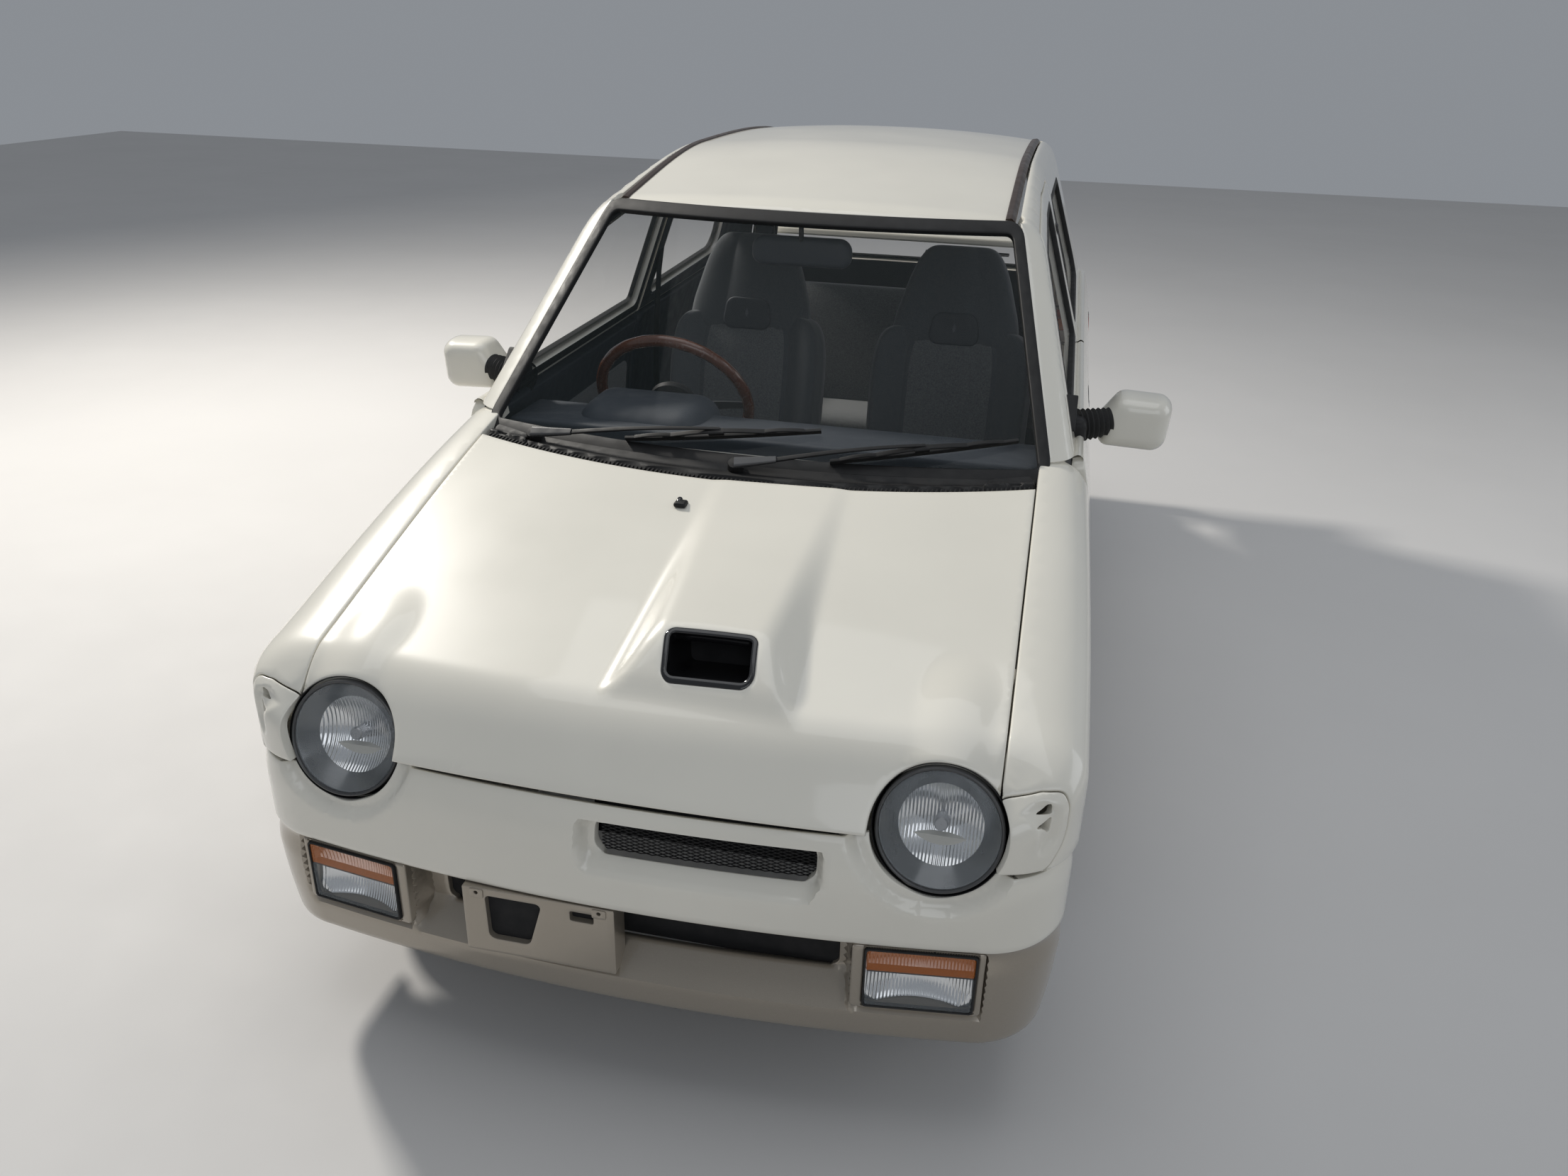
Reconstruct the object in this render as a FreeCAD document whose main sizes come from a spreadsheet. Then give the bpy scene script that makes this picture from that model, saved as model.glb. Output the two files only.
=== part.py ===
import FreeCAD, Part
import math
import os
from FreeCAD import Vector, Placement, Rotation

# Three-door kei hatchback. Millimetres, +Z up, the car faces -Y, its left side is +X.
# The origin lies on the ground under the middle of the overall length.

os.makedirs("parts", exist_ok=True)
doc = FreeCAD.newDocument("kei_car")
sheet = doc.addObject("Spreadsheet::Sheet", "sizes")

# alias, value (mm or degrees), meaning
SIZES = [
    ("overall_length", 3195, "bumper to bumper"),
    ("body_width", 1395, "across the waist crease"),
    ("roof_height", 1378, "ground to the crown of the roof"),
    ("wheelbase", 2175, "front to rear axle"),
    ("front_overhang", 590, "front of the bumper to the front axle"),
    ("front_track", 1215, "between the front tyres' middles"),
    ("rear_track", 1170, "between the rear tyres' middles"),
    ("tyre_radius", 259, "loaded and unloaded alike"),
    ("tyre_width", 145, "section width"),
    ("bead_radius", 165, "rim seat"),
    ("rim_width", 120, "over the flanges"),
    ("rim_wall", 6, "barrel"),
    ("rim_vents", 8, "windows in the disc"),
    ("stub_radius", 15, "stub axles"),
    ("running_gap", 0.08, "radial clearance of a bearing"),
    ("sill_height", 175, "underside of the sills"),
    ("sill_tuck", 35, "how far the sill tucks in"),
    ("crease_height", 600, "widest line of the side"),
    ("belt_height", 903, "foot of the side windows"),
    ("belt_tuck", 42, "how far the belt tucks in"),
    ("wall", 75, "doors and sides below the belt"),
    ("frame_wall", 32, "pillars and window frames"),
    ("skin", 24, "bonnet, wings and roof"),
    ("bumper_wall", 26, "front and rear bumper mouldings"),
    ("glass_inset", 9, "glass behind the outer skin"),
    ("glass_wall", 5, "glass"),
    ("shut_gap", 5, "around every lid and door"),
    ("rear_shut_gap", 8, "behind a door"),
    ("lid_gap", 7.5, "behind the bonnet and above the tailgate"),
    ("hinge_low", 480, "lower door hinge"),
    ("hinge_high", 690, "upper door hinge"),
    ("hinge_pin", 40, "length of a hinge pin"),
    ("tailgate_hinge_x", 150, "tailgate hinges off the middle"),
    ("bonnet_pin_radius", 3, "bonnet's hinge pins"),
    ("scuttle_back", 952.5, "front of the bumper to the rear edge of the front wings"),
    ("bonnet_seam", 571, "half distance between the wing seams"),
    ("bonnet_back", 816.5, "same, to the bonnet's rear corners"),
    ("bonnet_rear_z", 877.5, "same, height"),
    ("bonnet_bow", 105, "rear edge's bow at the middle"),
    ("bonnet_lip_z", 595, "lower front edge of the bonnet"),
    ("bonnet_lip_back", 22.5, "same edge, behind the bumper's front"),
    ("nose_slope", 53, "nose panel above the level"),
    ("nose_bow_radius", 6500, "plan bow of the nose"),
    ("screen_foot_back", 807.5, "front of the bumper to the windscreen's foot"),
    ("screen_foot_z", 885, "same, height"),
    ("screen_run", 628.7, "plan length of the windscreen's line up to the roof's height"),
    ("screen_bow_radius", 3100, "windscreen's curve"),
    ("tail_foot_ahead", 115.5, "tailgate window's foot ahead of the rear end"),
    ("tail_foot_z", 900, "same, height"),
    ("tail_slope", 71, "tailgate window above the level"),
    ("tail_bow_radius", 3600, "tailgate window's curve"),
    ("tail_corner", 36, "rounding of the glasshouse's rear corners"),
    ("rail_half", 513.1, "half width at the roof rail"),
    ("rail_drop", 88, "roof rail under the roof's crown"),
    ("glasshouse_half", 652, "half width at the glasshouse's foot"),
    ("glasshouse_foot", 860, "height of that foot"),
    ("gutter_half", 437, "half distance between the roof gutters"),
    ("arch_radius", 292, "wheel arch openings"),
    ("liner_radius", 300, "front wheel tubs"),
    ("liner_wall", 5, "wheel tubs"),
    ("front_liner_inner", 378, "inner wall of a front wheel tub"),
    ("rear_liner_inner", 492, "inner wall of a rear wheel tub"),
    ("axle_slot", 62, "slots in the rear tubs around the axle, half width"),
    ("floor_top", 228, "cabin floor"),
    ("floor_wall", 20, "cabin floor plate"),
    ("seat_floor", 330, "floor under the rear seat"),
    ("seat_floor_ahead", 527.5, "step up to it, ahead of the rear axle"),
    ("load_floor", 470, "floor behind the rear seat"),
    ("load_floor_ahead", 267.5, "step up to it, ahead of the rear axle"),
    ("engine_length", 520, "engine with its gearbox, across the car"),
    ("engine_width", 330, "along the car"),
    ("engine_height", 395, "engine"),
    ("engine_x", -240, "its right end"),
    ("engine_ahead", 322.5, "its front ahead of the front axle"),
    ("tank_x", -375, "fuel tank's right end"),
    ("tank_length", 395, "fuel tank, across the car"),
    ("tank_width", 230, "along the car"),
    ("tank_height", 130, "fuel tank"),
    ("silencer_radius", 55, "rear silencer"),
    ("silencer_length", 205, "rear silencer"),
    ("pipe_radius", 20, "exhaust pipe"),
    ("pipe_x", 60, "exhaust pipe off the middle"),
    ("subframe_low", 170, "front subframe's underside"),
    ("subframe_wall", 55, "front subframe's height"),
    ("lamp_x", 488, "headlamps off the middle"),
    ("lamp_back", 78.5, "headlamp ring's middle behind the bumper's front"),
    ("lamp_z", 596, "headlamp height"),
    ("lamp_radius", 89, "headlamp glass"),
    ("lamp_ring", 95, "headlamp surround"),
    ("lamp_well", 104, "recess around a headlamp"),
    ("lamp_lean", 18, "headlamps lean back"),
    ("hood_back", 287.5, "same, to where the brow over a headlamp begins"),
    ("hood_z", 751.5, "its height there"),
    ("hood_bow", 300, "brow's curve in side view"),
    ("hood_radius", 108, "brow's curve across"),
    ("bumper_low", 195, "front bumper's underside"),
    ("bumper_line", 404, "groove between the two colours"),
    ("bumper_top", 588, "front bumper's upper face"),
    ("bumper_corner_top", 540, "same, beside the headlamps"),
    ("bumper_side", 5, "bumper ends inside the body width"),
    ("tail_inset", 45, "tail ahead of the rear bumper's face"),
    ("rear_bumper_low", 250, "rear bumper's underside"),
    ("rear_bumper_top", 500, "rear bumper's upper face"),
    ("tailgate_low", 522, "lower edge of the tailgate"),
    ("tailgate_drop", 60, "upper edge of the tailgate under the roof's crown"),
    ("plate_bolts", 210, "number plate's bolt spacing"),
    ("plate_bolt_radius", 3.2, "number plate's bolt holes"),
    ("kingpin_lean", 9, "front strut off the upright"),
    ("kingpin_foot_x", 553, "lower ball joint off the middle"),
    ("kingpin_foot_z", 165, "lower ball joint's height"),
    ("strut_radius", 24, "front strut tube"),
    ("strut_top_z", 668, "top of the strut"),
    ("steering_x", -290, "steering wheel off the middle"),
    ("steering_back", 1262.5, "front of the bumper to the steering wheel's hub"),
    ("steering_z", 850, "same, height"),
    ("steering_slope", 28, "column above the level"),
    ("steering_radius", 180, "rim of the steering wheel"),
    ("seat_x", 300, "front seats off the middle"),
    ("seat_front_back", 1457.5, "front of the bumper to the cushions' front edge"),
    ("seat_hinge_back", 1947.5, "same, to the foot of the backrests"),
    ("seat_top_z", 1112, "top of the backrests"),
    ("seat_width", 470, "front seats"),
]
for row, (alias, value, meaning) in enumerate(SIZES, 1):
    sheet.set(f"A{row}", alias)
    sheet.set(f"B{row}", str(value))
    sheet.set(f"C{row}", meaning)
    sheet.setAlias(f"B{row}", alias)
doc.recompute()


class Dims:
    """Every cell of the sheet, as a plain number."""


d = Dims()
for alias, value, meaning in SIZES:
    setattr(d, alias, float(sheet.get(alias)))

front_y = -d.overall_length / 2
rear_y = d.overall_length / 2
half = d.body_width / 2
front_axle_y = front_y + d.front_overhang
rear_axle_y = front_axle_y + d.wheelbase
axle_z = d.tyre_radius
far = 4000.0
scuttle_y = front_y + d.scuttle_back
bonnet_rear_y = front_y + d.bonnet_back
bonnet_lip_y = front_y + d.bonnet_lip_back
screen_foot_y = front_y + d.screen_foot_back
lamp_y = front_y + d.lamp_back
hood_y = front_y + d.hood_back
steering_y = front_y + d.steering_back
seat_front_y = front_y + d.seat_front_back
seat_hinge_y = front_y + d.seat_hinge_back
tail_foot_y = rear_y - d.tail_foot_ahead
seat_floor_y = rear_axle_y - d.seat_floor_ahead
load_floor_y = rear_axle_y - d.load_floor_ahead
tailgate_top = d.roof_height - d.tailgate_drop
screen_slope = math.degrees(math.atan((d.roof_height - d.screen_foot_z) / d.screen_run))


def ahead(distance):
    """A place so far behind the front of the bumper."""
    return front_y + distance


def behind(distance):
    """A place so far ahead of the rear end."""
    return rear_y - distance


def along(share):
    """A place at a share of the way from the scuttle to the tailgate window's foot."""
    return scuttle_y + share * (tail_foot_y - scuttle_y)


def rise(share):
    """A height at a share of the way from the belt to the roof's crown."""
    return d.belt_height + share * (d.roof_height - d.belt_height)


# Plane helpers: a point (a, b) of a side, front or plan view, at a depth along its normal
def place(view, a, b, depth=0.0):
    if view == "side":
        return Vector(depth, a, b)
    if view == "front":
        return Vector(a, depth, b)
    return Vector(a, b, depth)


def normal(view, length):
    if view == "side":
        return Vector(length, 0, 0)
    if view == "front":
        return Vector(0, length, 0)
    return Vector(0, 0, length)


def outline(view, corners, depth=0.0):
    """A closed wire through corners (a, b, radius), each corner a tangent arc."""
    count = len(corners)
    ends = []
    for i in range(count):
        a, b, radius = corners[i]
        here = Vector(a, b, 0)
        before = Vector(corners[i - 1][0], corners[i - 1][1], 0) - here
        after = Vector(corners[(i + 1) % count][0], corners[(i + 1) % count][1], 0) - here
        turn = before.getAngle(after)
        if radius <= 0 or abs(turn - math.pi) < 1e-6:
            ends.append((here, None, here))
            continue
        reach = radius / math.tan(turn / 2)
        start = here + before.normalize() * reach
        end = here + after.normalize() * reach
        middle = (start + end) * 0.5
        towards = (middle - here).normalize()
        centre = here + towards * (radius / math.sin(turn / 2))
        ends.append((start, centre - towards * radius, end))
    edges = []
    for i in range(count):
        start, mid, end = ends[i]
        if mid is not None:
            edges.append(Part.Arc(*[place(view, p.x, p.y, depth) for p in (start, mid, end)]).toShape())
        next_start = ends[(i + 1) % count][0]
        if (next_start - end).Length > 1e-6:
            edges.append(Part.makeLine(place(view, end.x, end.y, depth),
                                       place(view, next_start.x, next_start.y, depth)))
    return Part.Wire(edges)


def grown(wire, margin):
    """The same outline, moved outwards (or inwards) by a margin."""
    return wire.makeOffset2D(margin) if abs(margin) > 1e-9 else wire


def prism(view, corners, start, end, margin=0.0):
    wire = grown(outline(view, corners, start), margin)
    return Part.Face(wire).extrude(normal(view, end - start))


def box(x0, x1, y0, y1, z0, z1):
    return Part.makeBox(x1 - x0, y1 - y0, z1 - z0, Vector(x0, y0, z0))


def rod(start, end, radius):
    return Part.makeCylinder(radius, (end - start).Length, start, end - start)


def mirrored(shape):
    return shape.mirror(Vector(0, 0, 0), Vector(1, 0, 0))


def both(shape):
    return Part.makeCompound([shape, mirrored(shape)])


def cylinder_through(foot, slope, bow_radius, inset, facing):
    """A wide cylinder whose generatrix climbs the slope from foot; facing -1 looks to the front."""
    lean = math.radians(slope)
    along = Vector(0, -facing * math.cos(lean), math.sin(lean))
    out = Vector(0, facing * math.sin(lean), math.cos(lean))
    centre = foot - out * bow_radius
    return Part.makeCylinder(bow_radius - inset, 2 * far, centre - along * far, along)


# The side below the belt, seen from the front: two arcs that meet at the waist crease
def circle_of(p, q, r):
    ax, ay, bx, by, cx, cy = p[0], p[1], q[0], q[1], r[0], r[1]
    scale = 2 * (ax * (by - cy) + bx * (cy - ay) + cx * (ay - by))
    ux = ((ax**2 + ay**2) * (by - cy) + (bx**2 + by**2) * (cy - ay) + (cx**2 + cy**2) * (ay - by)) / scale
    uy = ((ax**2 + ay**2) * (cx - bx) + (bx**2 + by**2) * (ax - cx) + (cx**2 + cy**2) * (bx - ax)) / scale
    return ux, uy, math.hypot(ax - ux, ay - uy)


crease = (half, d.crease_height)
lower_mid = (half - d.sill_tuck * 0.22, d.sill_height + (d.crease_height - d.sill_height) * 0.48)
upper_mid = (half - d.belt_tuck * 0.22, d.crease_height + (d.belt_height - d.crease_height) * 0.52)
lower_arc = circle_of((half - d.sill_tuck, d.sill_height), lower_mid, crease)
upper_arc = circle_of(crease, upper_mid, (half - d.belt_tuck, d.belt_height))


def flank(z):
    """Half width of the side at a height."""
    cx, cz, radius = lower_arc if z < d.crease_height else upper_arc
    return cx + math.sqrt(radius**2 - (z - cz)**2)


def plan_wire(z, front_inset, side_inset, tail=None):
    """Plan of the body or a bumper: bowed front, round corners, and the same at the back."""
    fy = front_y + front_inset
    ry = (rear_y if tail is None else tail)
    hx = half - side_inset
    front = [Vector(-hx, fy + 178, z), Vector(-hx + 38, fy + 90, z), Vector(-hx + 132, fy + 44, z),
             Vector(0, fy, z), Vector(hx - 132, fy + 44, z), Vector(hx - 38, fy + 90, z),
             Vector(hx, fy + 178, z)]
    back = [Vector(hx, ry - 110, z), Vector(hx - 26, ry - 36, z), Vector(hx - 100, ry - 14, z),
            Vector(0, ry, z), Vector(-hx + 100, ry - 14, z), Vector(-hx + 26, ry - 36, z),
            Vector(-hx, ry - 110, z)]
    edges = [Part.Arc(*front[0:3]).toShape(), Part.Arc(*front[2:5]).toShape(),
             Part.Arc(*front[4:7]).toShape(),
             Part.makeLine(front[6], back[0]),
             Part.Arc(*back[0:3]).toShape(), Part.Arc(*back[2:5]).toShape(), Part.Arc(*back[4:7]).toShape(),
             Part.makeLine(back[6], front[0])]
    return Part.Wire(edges)


def plan_block(inset, low, high, front_inset, tail):
    plan = Part.Face(plan_wire(low, front_inset + inset, inset, tail - inset))
    return plan.extrude(Vector(0, 0, high - low))


# Front body: sections across the car from the scuttle to the nose
# y, height at the wing seam, crown of the bonnet at the middle
FRONT_SECTIONS = [
    (scuttle_y, d.belt_height, 10),
    (ahead(618.5), 835, 14),
    (ahead(285.5), 749, 12),
    (ahead(-42.5), 664, 4),
]
shoulder_drop = 66.0


def front_section(y, seam_z, crown, side_inset, top_inset, low):
    hx = d.bonnet_seam - side_inset * 0.5
    top = seam_z - top_inset
    drop_z = top - shoulder_drop
    wide = flank(drop_z) - side_inset
    right = [Vector(flank(low) - side_inset, y, low),
             Vector(flank((low + d.crease_height) / 2) - side_inset, y, (low + d.crease_height) / 2),
             Vector(half - side_inset, y, d.crease_height),
             Vector(flank((d.crease_height + drop_z) / 2) - side_inset, y, (d.crease_height + drop_z) / 2),
             Vector(wide, y, drop_z),
             Vector(hx + (wide - hx) * 0.74, y, top - shoulder_drop * 0.27),
             Vector(hx, y, top)]
    if drop_z < d.crease_height + 20:
        right[2] = Vector(flank(drop_z - 30) - side_inset, y, drop_z - 30)
        right[3] = Vector(flank(drop_z - 15) - side_inset, y, drop_z - 15)
    left = [Vector(-p.x, p.y, p.z) for p in right]
    edges = [Part.makeLine(left[0], right[0]),
             Part.Arc(*right[0:3]).toShape(), Part.Arc(*right[2:5]).toShape(),
             Part.Arc(*right[4:7]).toShape(),
             Part.Arc(right[6], Vector(0, y, top + crown), left[6]).toShape(),
             Part.Arc(left[6], left[5], left[4]).toShape(), Part.Arc(left[4], left[3], left[2]).toShape(),
             Part.Arc(left[2], left[1], left[0]).toShape()]
    return Part.Wire(edges)


nose_foot = Vector(0, bonnet_lip_y, d.bonnet_lip_z)


def front_block(side_inset, top_inset, low):
    """The volume under the bonnet and wings, its skin moved inwards."""
    sections = [front_section(y, z, crown, side_inset, top_inset, low) for y, z, crown in FRONT_SECTIONS]
    block = Part.makeLoft(sections, True, False)
    block = block.common(plan_block(side_inset, low - 1, far, 8, rear_y))
    return block.common(cylinder_through(nose_foot, d.nose_slope, d.nose_bow_radius, top_inset, -1))


def tub_block(inset, low, tail_inset=None):
    """The body below the belt, behind the scuttle."""
    tail_inset = inset if tail_inset is None else tail_inset
    top = d.belt_height
    middle = (low + d.crease_height) / 2
    right = [(flank(low) - inset, low), (flank(middle) - inset, middle),
             (half - inset, d.crease_height),
             (upper_mid[0] - inset, upper_mid[1]), (half - d.belt_tuck - inset, top)]
    y = scuttle_y
    pts = [Vector(a, y, b) for a, b in right]
    mir = [Vector(-a, y, b) for a, b in right]
    wire = Part.Wire([Part.makeLine(mir[0], pts[0]), Part.Arc(*pts[0:3]).toShape(),
                      Part.Arc(*pts[2:5]).toShape(),
                      Part.makeLine(pts[4], mir[4]), Part.Arc(mir[4], mir[3], mir[2]).toShape(),
                      Part.Arc(mir[2], mir[1], mir[0]).toShape()])
    block = Part.Face(wire).extrude(Vector(0, rear_y - y, 0))
    back = rear_y - d.tail_inset - tail_inset
    block = block.common(Part.Face(plan_wire(low - 1, 8 + inset, inset, back)).extrude(Vector(0, 0, far)))
    tail = [(y, 0, 0), (back, 0, 0), (back, 640, 60), (tail_foot_y + 4 - tail_inset, top + 4, 0),
            (y, top + 4, 0)]
    return block.common(prism("side", tail, -far, far))


# Glasshouse sections: y, height of the roof's crown
ROOF_SECTIONS = [
    (ahead(697.5), d.roof_height - 180),
    (ahead(1370.5), d.roof_height - 72),
    (along(0.5054), d.roof_height),
    (behind(376.5), d.roof_height - 22),
    (behind(-102.5), d.roof_height - 84),
]
screen_foot = Vector(0, screen_foot_y, d.screen_foot_z)
tail_foot = Vector(0, tail_foot_y, d.tail_foot_z)


def side_glass(z):
    """Half width of the glasshouse's side plane at a height."""
    lean_in = (d.glasshouse_half - d.rail_half) / (d.roof_height - d.rail_drop - d.glasshouse_foot)
    return d.glasshouse_half - lean_in * (z - d.glasshouse_foot)


def roof_section(y, crown_z, inset):
    rail_z = crown_z - d.rail_drop
    rail = side_glass(rail_z) - inset
    edge = d.gutter_half + 20 - inset * 0.5
    edge_z = crown_z - 24 - inset
    foot = side_glass(d.glasshouse_foot) - inset
    right = [Vector(foot, y, d.glasshouse_foot), Vector(rail, y, rail_z),
             Vector(edge + (rail - edge) * 0.78, y, edge_z - (edge_z - rail_z) * 0.30),
             Vector(edge, y, edge_z)]
    left = [Vector(-p.x, p.y, p.z) for p in right]
    return Part.Wire([Part.makeLine(left[0], right[0]), Part.makeLine(right[0], right[1]),
                      Part.Arc(*right[1:4]).toShape(),
                      Part.Arc(right[3], Vector(0, y, crown_z - inset), left[3]).toShape(),
                      Part.Arc(left[3], left[2], left[1]).toShape(), Part.makeLine(left[1], left[0])])


def glasshouse_block(inset):
    block = Part.makeLoft([roof_section(y, z, inset) for y, z in ROOF_SECTIONS], True, False)
    block = block.common(cylinder_through(screen_foot, screen_slope, d.screen_bow_radius, inset, -1))
    return block.common(cylinder_through(tail_foot, d.tail_slope, d.tail_bow_radius, inset, 1))


def tail_y(x, z):
    """The tailgate window's face at a place across the car and a height."""
    slope = math.radians(d.tail_slope)
    bow = x**2 / (2 * d.tail_bow_radius) / math.sin(slope)
    return tail_foot_y - (z - d.tail_foot_z) / math.tan(slope) - bow


def corner_round():
    """What lies outside the round of the glasshouse's rear left corner."""
    r = d.tail_corner
    clear = 60.0
    wires = []
    for z in (d.glasshouse_foot - 10, d.roof_height):
        x = side_glass(z)
        y = tail_y(x, z)
        start, end = Vector(x + 0.5, y - r * 1.5, z), Vector(x - r * 1.2, tail_y(x - r * 1.2, z) + 0.5, z)
        far_side, far_corner, far_back = (Vector(x + clear, start.y, z), Vector(x + clear, y + clear, z),
                                          Vector(end.x, y + clear, z))
        wires.append(Part.Wire([Part.Arc(start, Vector(x - r * 0.28, y - r * 0.36, z), end).toShape(),
                                Part.makeLine(end, far_back), Part.makeLine(far_back, far_corner),
                                Part.makeLine(far_corner, far_side), Part.makeLine(far_side, start)]))
    return Part.makeLoft(wires, True, True)


lamp_lean = math.radians(d.lamp_lean)
lamp_out = Vector(0, -math.cos(lamp_lean), math.sin(lamp_lean))
lamp_centre = Vector(d.lamp_x, lamp_y, d.lamp_z)


def lamp_bore(radius):
    return rod(lamp_centre - lamp_out * 110, lamp_centre + lamp_out * 200, radius)


def lamp_hood(inset):
    """The bonnet's round brow over a headlamp, behind the lamp's face."""
    crest = Vector(d.lamp_x, hood_y, d.hood_z - d.hood_bow)
    brow = Part.makeTorus(d.hood_bow - d.hood_radius, d.hood_radius - inset, crest, Vector(1, 0, 0))
    behind = rod(lamp_centre - lamp_out * 260, lamp_centre + lamp_out * (4 - inset * 2), 300)
    return brow.common(behind).common(box(0, far, -far, hood_y, d.lamp_z, far))


print("moulds")
front_outer = front_block(0, 0, d.sill_height)
front_inner = front_block(d.skin, d.skin, d.sill_height - 10)
front_outer = front_outer.fuse(both(lamp_hood(0)))
front_inner = front_inner.fuse(both(lamp_hood(d.skin)))
front_shell = front_outer.cut(front_inner)
tub_outer = tub_block(0, d.sill_height)
tub_inner = tub_block(d.wall, d.sill_height - 10)
tub_core = tub_block(d.bumper_wall, d.sill_height, 0)
house_outer = glasshouse_block(0).cut(both(corner_round()))
house_inner = glasshouse_block(d.frame_wall)
glass_outer = glasshouse_block(d.glass_inset)
glass_inner = glasshouse_block(d.glass_inset + d.glass_wall)
glass_shell = glass_outer.cut(glass_inner)
house_front = house_outer.cut(front_outer)
shell = tub_outer.fuse(house_front).cut(tub_inner).cut(house_inner)

# Outlines, each corner (a, b, radius)
corner_foot = (ahead(924.5), d.belt_height - 13)
corner_lag = 0.9166


def pillar_y(z, back):
    """The windscreen's corner in side view, and so far behind it."""
    return corner_foot[0] + back + (z - corner_foot[1]) * corner_lag / math.tan(math.radians(screen_slope))


door_front = scuttle_y + d.shut_gap
door_low = d.sill_height + 61
door_axis = Vector(half - 1, (scuttle_y + door_front) / 2, 0)
pin_radius = d.shut_gap / 2 - 0.3
DOOR = [
    (door_front, door_low, 45), (door_front, d.belt_height - 19, 25),
    (pillar_y(rise(0.743), 52), rise(0.743), 50),
    (along(0.357), rise(0.838), 400), (along(0.48), rise(0.853), 35), (along(0.462), d.belt_height, 500),
    (along(0.458), door_low, 45),
]
DOOR_WINDOW = [
    (pillar_y(d.belt_height + 27, 112), d.belt_height + 27, 16),
    (pillar_y(rise(0.655), 112), rise(0.655), 28),
    (along(0.357), rise(0.743), 400), (along(0.458), rise(0.756), 24), (along(0.44), d.belt_height + 27, 24),
]
QUARTER_WINDOW = [
    (along(0.495), d.belt_height + 33, 30), (along(0.513), rise(0.743), 30), (along(0.7875), rise(0.718), 55),
    (along(0.8335), d.belt_height + 45, 55),
]
SCREEN = [
    (-600, d.belt_height - 31, 30), (600, d.belt_height - 31, 30), (474, rise(0.802), 42),
    (-474, rise(0.802), 42),
]
TAILGATE = [
    (-538, d.tailgate_low, 30), (538, d.tailgate_low, 30), (556, d.belt_height - 13, 500),
    (462, tailgate_top, 50), (-462, tailgate_top, 50), (-556, d.belt_height - 13, 500),
]
TAIL_WINDOW = [
    (-478, d.belt_height - 19, 45), (478, d.belt_height - 19, 45), (404, rise(0.785), 45),
    (-404, rise(0.785), 45),
]
REAR_LAMP = [(552, 608, 14), (far, 608, 0), (far, 752, 0), (552, 752, 14)]

features = []
seat_gap = 0.3
handle_z = d.belt_height - 118


def add(name, shape, spot=Vector(0, 0, 0)):
    """One named sub-part of the document, holding a shape, set down at a spot."""
    feature = doc.addObject("Part::Feature", name)
    feature.Label = name
    feature.Shape = shape
    feature.Placement = Placement(spot, Rotation())
    features.append(feature)
    return feature


def arch(y, radius, x0, x1):
    """The round of a wheel arch, open below."""
    drum = Part.makeCylinder(radius, x1 - x0, Vector(x0, y, axle_z), Vector(1, 0, 0))
    return drum.fuse(box(x0, x1, y - radius, y + radius, -10, axle_z))


print("sides")
rail_inner = d.gutter_half + 33
door_hole = prism("side", DOOR, rail_inner - d.shut_gap, far, d.shut_gap)
door_rear_relief = prism("side", DOOR, rail_inner - d.shut_gap, far,
                         d.rear_shut_gap).common(box(0, far, along(0.397), far, 0, far))
screen_hole = prism("front", SCREEN, ahead(497.5), ahead(1537.5))
tail_start = behind(417.5)
tailgate_hole = prism("front", TAILGATE, tail_start, far, d.shut_gap)
lamp_hole = prism("front", REAR_LAMP, behind(267.5), far)
quarter_hole = prism("side", QUARTER_WINDOW, 300, far)
outer_strip = box(d.gutter_half, far, scuttle_y, far, 0, far)

side = shell.common(outer_strip)
side = side.cut(door_hole).cut(door_rear_relief).cut(screen_hole).cut(tailgate_hole).cut(quarter_hole)
side = side.cut(arch(rear_axle_y, d.arch_radius, 300, far))
rear_lamp = side.common(lamp_hole)
side = side.cut(lamp_hole)
rear_bumper = Part.Face(plan_wire(d.rear_bumper_low, 0, d.bumper_side)).extrude(
    Vector(0, 0, d.rear_bumper_top - d.rear_bumper_low))
rear_panel = shell.common(box(-d.gutter_half, d.gutter_half, behind(197.5), far, d.rear_bumper_low,
                              d.tailgate_low + 20))
rear_panel = rear_panel.cut(tailgate_hole)
bumper_start = rear_axle_y + d.arch_radius + 4
rear_bumper = rear_bumper.cut(tub_core).cut(rear_panel).common(box(-far, far, bumper_start, far, 0, far))
rear_skirt = box(0, far, bumper_start, far, 0, d.rear_bumper_top).cut(tub_core)
side = side.cut(rear_skirt).cut(box(0, far, rear_axle_y + d.arch_radius, far, 0, d.rear_bumper_low))
add("body_side_left", side)
add("body_side_right", mirrored(side))
add("rear_lamps", both(rear_lamp))

roof = shell.common(box(-d.gutter_half, d.gutter_half, ahead(1097.5), far, rise(0.625), far))
roof = roof.cut(screen_hole).cut(tailgate_hole)
tailgate_axis = Vector(0, tail_y(0, tailgate_top) - 1, tailgate_top + d.shut_gap / 2)
for x in (-d.tailgate_hinge_x, d.tailgate_hinge_x):
    spot = Vector(x, tailgate_axis.y, tailgate_axis.z)
    pin = rod(spot - Vector(d.hinge_pin / 2, 0, 0), spot + Vector(d.hinge_pin / 2, 0, 0), pin_radius)
    leaf = box(x - d.hinge_pin / 2, x + d.hinge_pin / 2, spot.y - 6, spot.y, spot.z + 1,
               spot.z + d.shut_gap / 2 + 6)
    roof = roof.fuse([pin, leaf])
add("roof_panel", roof)

print("doors")
door_block = prism("side", DOOR, rail_inner, far)
door_left = shell.common(door_block).cut(prism("side", DOOR_WINDOW, 300, far))
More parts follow.
